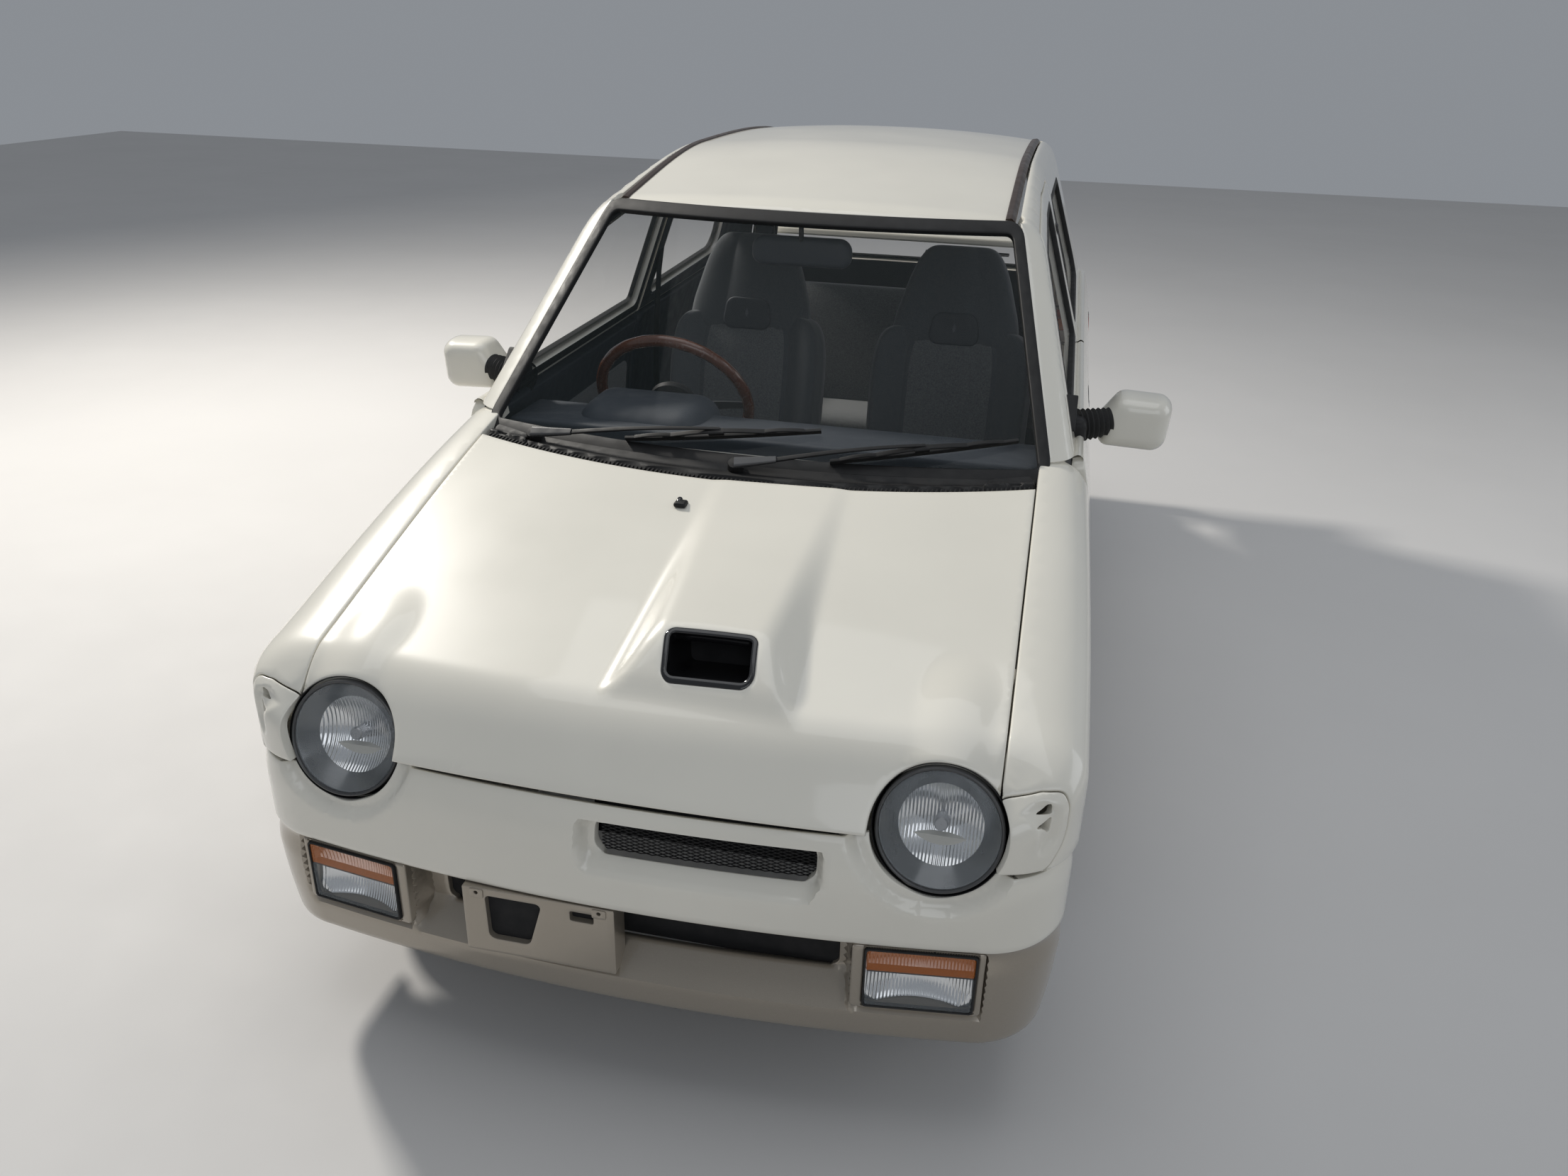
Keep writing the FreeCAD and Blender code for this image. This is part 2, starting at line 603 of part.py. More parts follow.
# Door mirror: a head that tapers to its foot and to the front, on a round stalk
mirror_face = [(716, 884, 24), (748, 870, 30), (830, 872, 34), (838, 984, 30), (742, 990, 34), (716, 962, 22)]
mirror_back = [(724, 894, 18), (752, 884, 22), (816, 886, 26), (822, 968, 24), (748, 974, 26), (724, 954, 18)]
mirror_y = ahead(1224)
mirror_head = Part.makeLoft([outline("front", mirror_face, mirror_y),
                             outline("front", mirror_face, mirror_y - 34),
                             outline("front", mirror_back, mirror_y - 78)], True, True)
mirror_glass = prism("front", [(a, b, r * 0.7) for a, b, r in mirror_face], mirror_y - 6, far, -7)
mirror_head = mirror_head.cut(mirror_glass)
mirror_stalk = rod(Vector(half - d.belt_tuck - 30, mirror_y - 76, 905), Vector(730, mirror_y - 44, 918), 20)
door_left = door_left.fuse([mirror_head, mirror_stalk])
# Pull handle in its recess
handle_face = flank(handle_z)
handle_recess = prism("side", [(along(0.37), handle_z - 22, 18), (along(0.44), handle_z - 22, 18),
                               (along(0.44), handle_z + 24, 18), (along(0.37), handle_z + 24, 18)],
                      handle_face - 16, far)
handle = prism("side", [(along(0.373), handle_z - 2, 7), (along(0.437), handle_z - 2, 7),
                        (along(0.437), handle_z + 18, 7), (along(0.373), handle_z + 18, 7)],
               handle_face - 18, handle_face - 3)
door_left = door_left.cut(handle_recess).fuse(handle)
door_glass = glass_shell.common(prism("side", DOOR_WINDOW, 300, far))
for name, flip in (("left", False), ("right", True)):
    add("door_" + name, mirrored(door_left) if flip else door_left)
    add("door_glass_" + name, mirrored(door_glass) if flip else door_glass)
add("quarter_glass", both(glass_shell.common(quarter_hole)))
windscreen = glass_shell.common(screen_hole).cut(front_outer)
windscreen = windscreen.cut(box(-far, far, ahead(1097.5), far, 0, rise(0.2)))
add("windscreen", windscreen)


def on_screen(x, z, lift):
    """A point on the windscreen's face, lifted off it."""
    slope = math.radians(screen_slope)
    bow = x**2 / (2 * d.screen_bow_radius) / math.sin(slope)
    y = screen_foot_y + (z - d.screen_foot_z) / math.tan(slope) + bow
    return Vector(x, y - lift * math.sin(slope), z + lift * math.cos(slope))


WIPERS = [(-405, 896, 330, 952), (-60, 894, 480, 948)]
wipers = []
for x0, z0, x1, z1 in WIPERS:
    pivot, tip = on_screen(x0, z0, 16), on_screen(x1, z1, 14)
    mid = on_screen((x0 + x1) / 2, (z0 + z1) / 2 + 4, 26)
    blade_start = on_screen(x0 + (x1 - x0) * 0.36, z0 + (z1 - z0) * 0.30, 7)
    blade_end = on_screen(x1 + (x1 - x0) * 0.06, z1 + 4, 7)
    post = rod(on_screen(x0, z0, -12), on_screen(x0, z0, 24), 12)
    wipers.append(post.fuse([rod(pivot, mid, 6), rod(mid, tip, 5), rod(blade_start, blade_end, 6.6),
                             rod(blade_end, tip, 5)]))
wipers = Part.makeCompound(wipers).cut(front_outer).cut(house_outer)
add("wipers", wipers)
inner_mirror = prism("front", [(-146, rise(0.52), 22), (92, rise(0.52), 22), (92, rise(0.655), 22),
                               (-146, rise(0.655), 22)], ahead(1421.5), ahead(1451.5))
mirror_arm = rod(Vector(-27, ahead(1437.5), rise(0.625)), Vector(-27, ahead(1419.5), rise(0.836)), 9)
mirror_arm = mirror_arm.common(house_inner)
add("inner_mirror", inner_mirror.fuse(mirror_arm).cut(roof))

print("tailgate")
tailgate = shell.common(prism("front", TAILGATE, tail_start, far))
tailgate = tailgate.cut(prism("front", TAIL_WINDOW, tail_start, far))
belt = d.belt_height
spoiler = prism("side", [(behind(127.5), belt + 45, 8), (behind(37.5), belt + 59, 10),
                         (behind(37.5), belt + 81, 8),
                         (behind(123.5), belt + 73, 8)], -530, 530)
spoiler_post = [(behind(147.5), belt - 23, 0), (behind(52.5), belt - 13, 10), (behind(49.5), belt + 57, 0),
                (behind(147.5), belt + 57, 0)]
spoiler = spoiler.fuse([prism("side", spoiler_post, x - 20, x + 20) for x in (-508, 508)])
tailgate = tailgate.fuse(spoiler)
add("tailgate", tailgate)
add("rear_glass", glass_shell.common(prism("front", TAIL_WINDOW, tail_start, far)))

print("front")
# The bonnet's rear edge is an arc in plan
rear_edge_radius = (d.bonnet_seam**2 + d.bonnet_bow**2) / (2 * d.bonnet_bow)
rear_edge_y = bonnet_rear_y - d.bonnet_bow + rear_edge_radius


def behind_bonnet(gap):
    """Everything behind the bonnet's rear edge."""
    return Part.makeCylinder(rear_edge_radius - gap, 900, Vector(0, rear_edge_y, 300))


seam = d.bonnet_seam
bonnet_axis = Vector(0, bonnet_rear_y - 6, d.bonnet_rear_z - 6)
bonnet = front_shell.common(box(-seam, seam, -far, 0, d.bonnet_lip_z, far)).cut(behind_bonnet(0))
bonnet = bonnet.cut(both(lamp_bore(d.lamp_well)))
# Raised duct with its mouth, left of the middle
duct_side = [(ahead(637.5), 640, 0), (ahead(637.5), 853, 0), (ahead(225.5), 797, 14), (ahead(151.5), 738, 14),
             (ahead(97.5), 700, 0), (ahead(97.5), 640, 0)]


def duct_section(y, z, left, right, flare):
    return Part.makePolygon([Vector(left - flare, y, z - 90), Vector(left, y, z), Vector(right, y, z),
                             Vector(right + flare, y, z - 90), Vector(left - flare, y, z - 90)])


duct = Part.makeLoft([duct_section(ahead(657.5), 870, -30, 215, 60),
                      duct_section(ahead(77.5), 790, 4, 184, 70)],
                     True, True)
long_edges = [e for e in duct.Edges if abs(e.BoundBox.YLength) > 300 and e.BoundBox.ZMax > 860]
duct = duct.makeFillet(26, long_edges).common(prism("side", duct_side, -200, 400))
duct_cavity = prism("side", [(ahead(467.5), 740, 10), (ahead(467.5), 800, 10), (ahead(213.5), 782, 4),
                             (ahead(157.5), 728, 0), (ahead(157.5), 690, 0)], 18, 176)
duct = duct.cut(front_inner).cut(duct_cavity)
bonnet = bonnet.cut(duct_cavity).fuse(duct)
pin_hole = rod(Vector(seam - 10.3, bonnet_axis.y, bonnet_axis.z), Vector(far, bonnet_axis.y, bonnet_axis.z),
               d.bonnet_pin_radius + 0.3)
bonnet = bonnet.cut(both(pin_hole))
add("bonnet", bonnet)

wing = front_shell.common(box(seam + d.shut_gap, far, -far, scuttle_y, d.sill_height + 10, far))
wing = wing.cut(box(0, far, -far, front_axle_y, 0, d.bumper_corner_top))
wing = wing.cut(arch(front_axle_y, d.arch_radius, 300, far)).cut(lamp_bore(d.lamp_well))
for z in (d.hinge_low, d.hinge_high):
    pin = rod(Vector(door_axis.x, door_axis.y, z), Vector(door_axis.x, door_axis.y, z + d.hinge_pin),
              pin_radius)
    leaf = box(door_axis.x - 14, door_axis.x - 0.5, scuttle_y, door_axis.y + 1, z, z + d.hinge_pin)
    wing = wing.fuse([pin, leaf.cut(box(0, far, door_axis.y + 1, far, 0, far)),
                      box(door_axis.x - 14, door_axis.x - 0.5,
                     scuttle_y - 3, scuttle_y, z, z + d.hinge_pin)])
# Two small three-cornered vents outside each headlamp
VENTS = [[(640, 634, 3), (664, 640, 3), (664, 616, 3)], [(640, 604, 3), (664, 610, 3), (664, 586, 3)]]
wing = wing.cut([prism("front", vent, ahead(0), ahead(178)) for vent in VENTS])
bonnet_pin = Vector(seam, bonnet_axis.y, bonnet_axis.z)
wing = wing.fuse(rod(bonnet_pin - Vector(10, 0, 0), bonnet_pin + Vector(12, 0, 0), d.bonnet_pin_radius))
add("wing_left", wing)
add("wing_right", mirrored(wing))

cowl = front_shell.common(box(-seam, seam, -far, scuttle_y, 700, far)).common(behind_bonnet(d.lid_gap))
add("cowl", cowl)

# Front bumper: plan outlines stacked up, each with how far it stands back
BUMPER_ROWS = [(d.bumper_low, 17), (d.bumper_line, 0), (d.bumper_corner_top, 0), (d.bumper_top - 8, 13),
               (d.bumper_top, 24)]


def bumper_block(inset, rows):
    wires = [plan_wire(z, back + inset, d.bumper_side + inset + back * 0.4) for z, back in rows]
    return Part.makeLoft(wires, True, True)


inner_rows = [(row[0] + (i - 2) * 0.5, row[1]) for i, row in enumerate(BUMPER_ROWS)]
groove = [(d.bumper_line - 7, 0), (d.bumper_line, 4), (d.bumper_line + 5, 0)]
bumper = bumper_block(0, BUMPER_ROWS[:1] + groove + BUMPER_ROWS[2:])
bumper = bumper.cut(bumper_block(d.bumper_wall, inner_rows))
bumper = bumper.cut(box(-far, far, front_axle_y - d.arch_radius + 8, far, 0, far))
bumper = bumper.cut(both(lamp_bore(d.lamp_well)))
bumper = bumper.cut(both(box(560, far, -far, far, d.bumper_corner_top, far)))
SLOT = [(-36, 514, 14), (318, 514, 14), (318, 568, 14), (-36, 568, 14)]
INTAKE = [(-305, 300, 16), (355, 300, 16), (355, 388, 10), (-305, 388, 10)]
FRONT_LAMP = [(388, 268, 8), (574, 268, 8), (574, 398, 8), (388, 398, 8)]
PLATE_BOX = [(-263, 269, 4), (-3, 269, 4), (-3, 402, 4), (-263, 402, 4)]
slot = prism("front", SLOT, ahead(-100), ahead(98))
slot_dish = prism("front", [(-61, 472, 14), (302, 472, 14), (318, 568, 10), (-36, 568, 10)], ahead(-100),
                  ahead(12))
intake = prism("front", INTAKE, ahead(-100), ahead(98))
lamp_hole_low = prism("front", FRONT_LAMP, ahead(-100), ahead(98))
# A shallow scoop in the bumper's face under each headlamp
scoop_radius = 985.0
scoop_depth = 10.0
scoop = Part.makeSphere(scoop_radius, Vector(d.lamp_x, ahead(46 + scoop_depth) - scoop_radius, d.lamp_z - 14))
bumper = bumper.cut([slot, slot_dish, intake, both(lamp_hole_low),
                     both(scoop.common(box(300, 620, -far, 0, 440, 700)))])
plate_box = prism("front", PLATE_BOX, front_y, ahead(40))
bolt_mid = -133.0
plate_bolt_z = 392.0
bolt_holes = [rod(Vector(bolt_mid + s * d.plate_bolts / 2, front_y - 1, plate_bolt_z),
                  Vector(bolt_mid + s * d.plate_bolts / 2, front_y + 100, plate_bolt_z), d.plate_bolt_radius)
              for s in (-1, 1)]
bumper = bumper.fuse(plate_box).cut(bolt_holes)
add("front_bumper", bumper)
grille = prism("front", SLOT, ahead(16), ahead(20))
add("grille", grille)
add("front_lamps", both(prism("front", FRONT_LAMP, ahead(39.5), ahead(97.5))))

headlamp = rod(lamp_centre - lamp_out * 60, lamp_centre, d.lamp_ring)
dome_radius = 260.0
dome_drop = math.sqrt(dome_radius**2 - d.lamp_radius**2)
dome = Part.makeSphere(dome_radius, lamp_centre - lamp_out * dome_drop)
headlamp = headlamp.fuse(dome.common(rod(lamp_centre, lamp_centre + lamp_out * 60, d.lamp_radius)))
headlamp = headlamp.common(box(-far, far, -far, ahead(115.5), 0, far))
add("headlamps", both(headlamp))

add("rear_bumper", rear_bumper)

print("floor and engine bay")
load_wall = 12.0


def floor_step(y0, y1, top, wall):
    return box(-far, far, y0, y1, top - wall, top).common(tub_inner)


floor = floor_step(scuttle_y, seat_floor_y, d.floor_top, d.floor_wall)
floor = floor.fuse([
    floor_step(seat_floor_y, seat_floor_y + load_wall, d.seat_floor,
               d.seat_floor - d.floor_top + d.floor_wall),
    floor_step(seat_floor_y, load_floor_y, d.seat_floor, load_wall),
    floor_step(load_floor_y, load_floor_y + load_wall, d.load_floor, d.load_floor - d.seat_floor + load_wall),
    floor_step(load_floor_y, rear_y, d.load_floor, load_wall)])
floor = floor.cut(both(arch(rear_axle_y, d.arch_radius, d.rear_liner_inner, far)))
rear_tub = arch(rear_axle_y, d.arch_radius + d.liner_wall, d.rear_liner_inner - d.liner_wall, far)
rear_tub = rear_tub.cut(arch(rear_axle_y, d.arch_radius, d.rear_liner_inner, far)).common(tub_inner)
rear_tub = rear_tub.cut(box(0, far, -far, far, -far, d.floor_top - d.floor_wall))
axle_slot = prism("side", [(rear_axle_y - d.axle_slot, 0, 0), (rear_axle_y + d.axle_slot, 0, 0),
                           (rear_axle_y + d.axle_slot, axle_z + d.axle_slot, 30),
                           (rear_axle_y - d.axle_slot, axle_z + d.axle_slot, 30)], 0, far)
rear_tub = rear_tub.cut(axle_slot)
add("floor_pan", floor.fuse([both(rear_tub), rear_panel]))

bay_rear = scuttle_y
bulkhead = box(-560, 560, bay_rear - 12, bay_rear, d.floor_top - d.floor_wall, 840)
front_panel_y = ahead(127.5)
rail = box(310, d.front_liner_inner - d.liner_wall, front_panel_y, bay_rear - 12, 300, 390)
tub_liner = arch(front_axle_y, d.liner_radius + d.liner_wall, d.front_liner_inner - d.liner_wall, far)
liner_space = arch(front_axle_y, d.liner_radius, d.front_liner_inner, far)
tub_liner = tub_liner.cut(liner_space).cut(box(0, far, -far, far, -far, 240)).common(front_inner)
tub_liner = tub_liner.common(box(0, far, -far, scuttle_y - 12, 0, far))
tower_x = d.kingpin_foot_x - math.tan(math.radians(d.kingpin_lean)) * (d.strut_top_z - d.kingpin_foot_z)
tower_foot = Vector(tower_x, front_axle_y, 480)
tower_height = d.strut_top_z + 20 - 480
tower = Part.makeCylinder(66, tower_height, tower_foot).cut(liner_space)
tower_space = Part.makeCylinder(61, tower_height - 8, tower_foot)
strut_dir = Vector(-math.sin(math.radians(d.kingpin_lean)), 0, math.cos(math.radians(d.kingpin_lean)))
strut_top = Vector(tower_x, front_axle_y, d.strut_top_z)
tower_pad = rod(strut_top + strut_dir * seat_gap, strut_top + strut_dir * 16, d.strut_radius + 6)
front_panel = box(-600, 600, front_panel_y - 12, front_panel_y, 270, 560)
front_panel = front_panel.cut(box(-240, 300, front_panel_y - 30, front_panel_y + 20, 300, 530))
bay = bulkhead.fuse([both(rail), both(tub_liner.fuse(tower).cut(tower_space).fuse(tower_pad)), front_panel])
add("engine_bay", bay)

engine = doc.addObject("Part::Box", "engine")
engine.Label = "engine"
for side_name, alias in (("Length", "engine_length"), ("Width", "engine_width"), ("Height", "engine_height")):
    engine.setExpression(side_name, "sizes." + alias)
engine.setExpression("Placement.Base.x", "sizes.engine_x")
engine.setExpression("Placement.Base.y",
                     "sizes.front_overhang - sizes.overall_length / 2 - sizes.engine_ahead")
engine.setExpression("Placement.Base.z", "sizes.subframe_low + sizes.subframe_wall")
features.append(engine)

print("cabin")
dash = prism("side", [(scuttle_y, 640, 10), (ahead(1167.5), 600, 40), (ahead(1197.5), 760, 40),
                      (ahead(1127.5), 868, 30), (scuttle_y, 872, 10)], -578, 578)
binnacle = prism("side", [(ahead(1037.5), 840, 10), (ahead(1157.5), 800, 20), (ahead(1167.5), 884, 24),
                          (ahead(1037.5), 900, 20)], -455, -140)
# Parcel shelf under the dashboard's left half, and the middle vents
shelf = prism("side", [(scuttle_y, 560, 0), (ahead(1150), 560, 20), (ahead(1160), 606, 0),
                       (scuttle_y, 650, 0)], 40, 560)
shelf = shelf.cut(prism("side", [(scuttle_y + 20, 572, 8), (far, 572, 0), (far, 622, 0),
                                 (scuttle_y + 20, 622, 8)], 52, 548))
vents = [prism("front", [(x - 60, 786, 10), (x + 60, 786, 10), (x + 60, 832, 10), (x - 60, 832, 10)],
               ahead(1170), far)
         for x in (60, 470)]
dashboard = dash.fuse([binnacle, shelf]).cut([v.common(box(-far, far, ahead(1172), far, 0,
                                                           far)) for v in vents])
add("dashboard", dashboard)

lean = math.radians(d.steering_slope)
hub = Vector(d.steering_x, steering_y, d.steering_z)
column_dir = Vector(0, math.cos(lean), math.sin(lean))
column = rod(hub - column_dir * 230, hub - column_dir * 44.3, 26).cut(dash).cut(binnacle)
add("steering_column", column.Solids[-1] if len(column.Solids) > 1 else column)
ring = Part.makeTorus(d.steering_radius, 14, hub, column_dir)
boss = rod(hub - column_dir * 44, hub + column_dir * 6, 40)
spokes = []
for angle in (0, 180, 270):
    turned = Rotation(column_dir, angle).multVec(Vector(1, 0, 0))
    spokes.append(rod(hub - column_dir * 20 + turned * 20, hub + turned * (d.steering_radius - 4), 9))
add("steering_wheel", ring.fuse([boss] + spokes))


def seat(x):
    w = d.seat_width / 2
    cushion = prism("side", [(seat_front_y, 300, 30), (seat_hinge_y + 60, 300, 30),
                             (seat_hinge_y + 60, 450, 50),
                             (seat_front_y, 480, 50)], x - w, x + w)
    back = prism("side", [(seat_hinge_y - 60, 440, 40), (seat_hinge_y + 60, 440, 30),
                          (seat_hinge_y + 190, d.seat_top_z - 10, 30),
                          (seat_hinge_y + 110, d.seat_top_z, 40)],
                 x - w, x + w)
    back_shape = prism("front", [(x - w, 400, 30), (x + w, 400, 30), (x + w, 820, 60), (x + 120, 900, 60),
                                 (x + 110, d.seat_top_z, 60), (x - 110, d.seat_top_z, 60), (x - 120, 900, 60),
                                 (x - w, 820, 60)], 0, far)
    runner = box(x - w + 60, x + w - 60, seat_front_y + 40, seat_hinge_y, d.floor_top, 300)
    # Side bolsters of the cushion and the backrest
    bolsters = []
    for side_x in (x - w, x + w - 62):
        bolsters.append(prism("side", [(seat_front_y + 20, 330, 20), (seat_hinge_y + 20, 330, 20),
                                       (seat_hinge_y + 10, 482, 30), (seat_front_y + 20, 506, 40)], side_x,
                                       side_x + 62))
        bolsters.append(prism("side", [(seat_hinge_y - 84, 470, 20), (seat_hinge_y + 40, 470, 20),
                                       (seat_hinge_y + 124, 812, 20), (seat_hinge_y + 8, 812, 40)], side_x,
                                       side_x + 62))
    return cushion.fuse([back.common(back_shape), runner] + bolsters)


add("front_seats", both(seat(d.seat_x)))
bench_front = rear_axle_y - 467.5
bench = prism("side", [(bench_front, d.seat_floor, 30), (load_floor_y, d.seat_floor, 0),
                       (load_floor_y, d.load_floor, 0),
                       (bench_front + 350, d.load_floor, 20), (bench_front + 375, 870, 40),
                       (bench_front + 300, 876, 40),
                       (bench_front + 220, 520, 30), (bench_front, 500, 50)], -470, 470)
add("rear_seat", bench)

print("running gear")
tan_lean = math.tan(math.radians(d.kingpin_lean))
wheel_x = {"front": d.front_track / 2, "rear": d.rear_track / 2}
cap_x = 28.0


def kingpin(z):
    """A point of the left kingpin line."""
    return Vector(d.kingpin_foot_x - tan_lean * (z - d.kingpin_foot_z), front_axle_y, z)


def stub(axle, inner_x, y):
    return rod(Vector(inner_x, y, axle_z), Vector(wheel_x[axle] + cap_x - seat_gap, y, axle_z), d.stub_radius)


kingpin_dir = (kingpin(600) - kingpin(200)).normalize()
ball_top = kingpin(180)
strut = rod(kingpin(300), kingpin(d.strut_top_z), d.strut_radius)
upright = rod(ball_top + kingpin_dir * seat_gap, kingpin(330), 20)
steer_arm = rod(kingpin(axle_z - 20), kingpin(axle_z - 20) + Vector(-20, 120, 0), 11)
knuckle = strut.fuse([upright, stub("front", kingpin(axle_z).x, front_axle_y), steer_arm])
add("knuckle_left", knuckle)
add("knuckle_right", mirrored(knuckle))

ball = rod(ball_top - kingpin_dir * 34, ball_top, 18)
arm = rod(Vector(300, front_axle_y, 193), kingpin(156), 14)
subframe = box(-310, 310, front_axle_y - 40, front_axle_y + 60, d.subframe_low,
               d.subframe_low + d.subframe_wall)
hanger = box(312, 345, front_axle_y - 20, front_axle_y + 40, d.subframe_low, 300)
add("front_suspension", subframe.fuse([both(arm), both(ball),
                                       both(box(280, 312, front_axle_y - 20, front_axle_y + 40,
                                                                     d.subframe_low, 225)), both(hanger)]))

beam = rod(Vector(-540, rear_axle_y, axle_z), Vector(540, rear_axle_y, axle_z), 26)
trailing = rod(Vector(400, rear_axle_y, axle_z), Vector(400, seat_floor_y - 60, d.floor_top - 38), 18)
spring = rod(Vector(400, rear_axle_y, axle_z), Vector(400, rear_axle_y, d.load_floor - load_wall), 42)
rear_axle = beam.fuse([both(stub("rear", 500, rear_axle_y)), both(trailing), both(spring)]).cut(floor)
add("rear_axle", rear_axle)


def revolve(profile, x):
    """A turned piece about the axle line: profile points (x, radius)."""
    wire = Part.makePolygon([Vector(x + a, 0, r) for a, r in profile + profile[:1]])
    return Part.Face(wire).revolve(Vector(0, 0, 0), Vector(1, 0, 0), 360)


def wheel_shape():
    """The rim, its barrel, disc and hub about the origin, its face towards +X."""
    w = d.rim_width / 2
    r = d.bead_radius
    t = d.rim_wall
    barrel = revolve([(-w, r + 14), (-w + 5, r + 14), (-w + 8, r), (-w + 30, r), (-w + 38, r - 16),
                      (w - 40, r - 16),
                      (w - 30, r), (w - 8, r), (w - 5, r + 14), (w, r + 14), (w, r - t), (w - 32, r - t - 1),
                      (w - 42, r - 16 - t), (-w + 38, r - 16 - t), (-w + 30, r - t), (-w, r - t)], 0)
    bore = d.stub_radius + d.running_gap
    disc = revolve([(-27, bore), (cap_x, bore), (cap_x, 0), (cap_x + 12, 0), (cap_x + 12, 28), (32, 52),
                    (26, 66),
                    (22, 120), (12, r - 18), (2, r - 18), (10, 118), (14, 60), (-14, 46), (-19, 46),
                    (-19, 112),
                    (-27, 112)], 0)
    window = rod(Vector(-12, 0, 104), Vector(60, 0, 104), 22)
    for i in range(int(d.rim_vents)):
        cutter = window.copy()
        cutter.rotate(Vector(0, 0, 0), Vector(1, 0, 0), 360.0 / d.rim_vents * i)
        disc = disc.cut(cutter)
    return barrel.fuse(disc)


def tyre_shape():
    w = d.tyre_width / 2
    r = d.tyre_radius
    b = d.bead_radius
    rim = d.rim_width / 2 - 8
    tread = w - 14
    profile = [(-rim, b), (-rim - 3, b + 14), (-w, b + 44), (-w + 1, r - 34), (-tread, r - 4),
               (-tread + 12, r),
               (tread - 12, r), (tread, r - 4), (w - 1, r - 34), (w, b + 44), (rim + 3, b + 14), (rim, b),
               (rim - 8, b), (rim - 4, b + 22), (w - 9, b + 46), (w - 12, r - 36), (tread - 8, r - 14),
               (-tread + 8, r - 14), (-w + 12, r - 36), (-w + 9, b + 46), (-rim + 4, b + 22), (-rim + 8, b)]
    return revolve(profile, 0)


rim_solid = wheel_shape()
tyre_solid = tyre_shape()
for axle, y in (("front", front_axle_y), ("rear", rear_axle_y)):
    for name, sign in (("left", 1), ("right", -1)):
        for kind, solid in (("wheel", rim_solid), ("tyre", tyre_solid)):
            add(f"{kind}_{axle}_{name}", solid.copy() if sign > 0 else mirrored(solid),
                Vector(sign * wheel_x[axle], y, axle_z))

print("under the floor")
pipe_drop = 20 + seat_gap
front_axle = "(sizes.front_overhang - sizes.overall_length / 2)"
rear_axle_at = "(sizes.front_overhang - sizes.overall_length / 2 + sizes.wheelbase)"
pipe_height = f"sizes.floor_top - sizes.floor_wall - {pipe_drop}"
# name, radius, start and length along the car
PIPES = [
    ("front_pipe", "sizes.pipe_radius", front_axle + " + 80", "sizes.wheelbase + 12.5"),
    ("silencer", "sizes.silencer_radius", rear_axle_at + " + 92.5", "sizes.silencer_length"),
    ("tail_pipe", "sizes.pipe_radius - 2", rear_axle_at + " + 92.5 + sizes.silencer_length",
     "sizes.overall_length / 2 - 12.5 - " + rear_axle_at + " - 92.5 - sizes.silencer_length"),
]
exhaust_parts = []
for name, radius, start, length in PIPES:
    part = doc.addObject("Part::Cylinder", name)
    part.Placement = Placement(Vector(0, 0, 0), Rotation(Vector(1, 0, 0), -90))
    part.setExpression("Radius", radius)
    part.setExpression("Height", length)
    part.setExpression("Placement.Base.x", "sizes.pipe_x")
    part.setExpression("Placement.Base.y", start)
    part.setExpression("Placement.Base.z", pipe_height)
    exhaust_parts.append(part)
hanger_rod = doc.addObject("Part::Cylinder", "exhaust_hanger")
hanger_rod.Radius = 8
hanger_rod.setExpression("Height", "sizes.load_floor - sizes.floor_top + sizes.floor_wall - 21.7")
hanger_rod.setExpression("Placement.Base.x", "sizes.pipe_x")
hanger_rod.setExpression("Placement.Base.y", rear_axle_at + " + 202.5")
hanger_rod.setExpression("Placement.Base.z", pipe_height + " + 30")
exhaust = doc.addObject("Part::MultiFuse", "exhaust")
exhaust.Label = "exhaust"
exhaust.Shapes = exhaust_parts + [hanger_rod]
features.append(exhaust)

tank = doc.addObject("Part::Box", "fuel_tank")
tank.Label = "fuel_tank"
for side_name, alias in (("Length", "tank_length"), ("Width", "tank_width"), ("Height", "tank_height")):
    tank.setExpression(side_name, "sizes." + alias)
tank.setExpression("Placement.Base.x", "sizes.tank_x")
tank.setExpression("Placement.Base.y", rear_axle_at + " - sizes.seat_floor_ahead + 14")
tank.setExpression("Placement.Base.z", "sizes.seat_floor - 12 - sizes.tank_height")
features.append(tank)

doc.recompute()
faults = []
for feature in features:
    if "Invalid" in feature.State or "Error" in feature.State:
        faults.append(feature.Label + " state")
    if feature.Shape.isNull() or not feature.Shape.isValid() or not feature.Shape.Solids:
        faults.append(feature.Label + " shape")
if faults:
    raise RuntimeError("faults: " + ", ".join(faults))
for feature in features:
    feature.Shape.exportStep("parts/" + feature.Label + ".step")
    bb = feature.Shape.BoundBox
    print(f"{feature.Label:20s} solids {len(feature.Shape.Solids)} faces {len(feature.Shape.Faces):4d} "
          f"vol {feature.Shape.Volume/1e6:8.2f} l  x {bb.XMin:.0f}..{bb.XMax:.0f} "
          f"y {bb.YMin:.0f}..{bb.YMax:.0f} z {bb.ZMin:.0f}..{bb.ZMax:.0f}")
print(len(features), "sub-parts")
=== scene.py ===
import bpy
import math
import numpy as np
from mathutils import Matrix, Vector, geometry


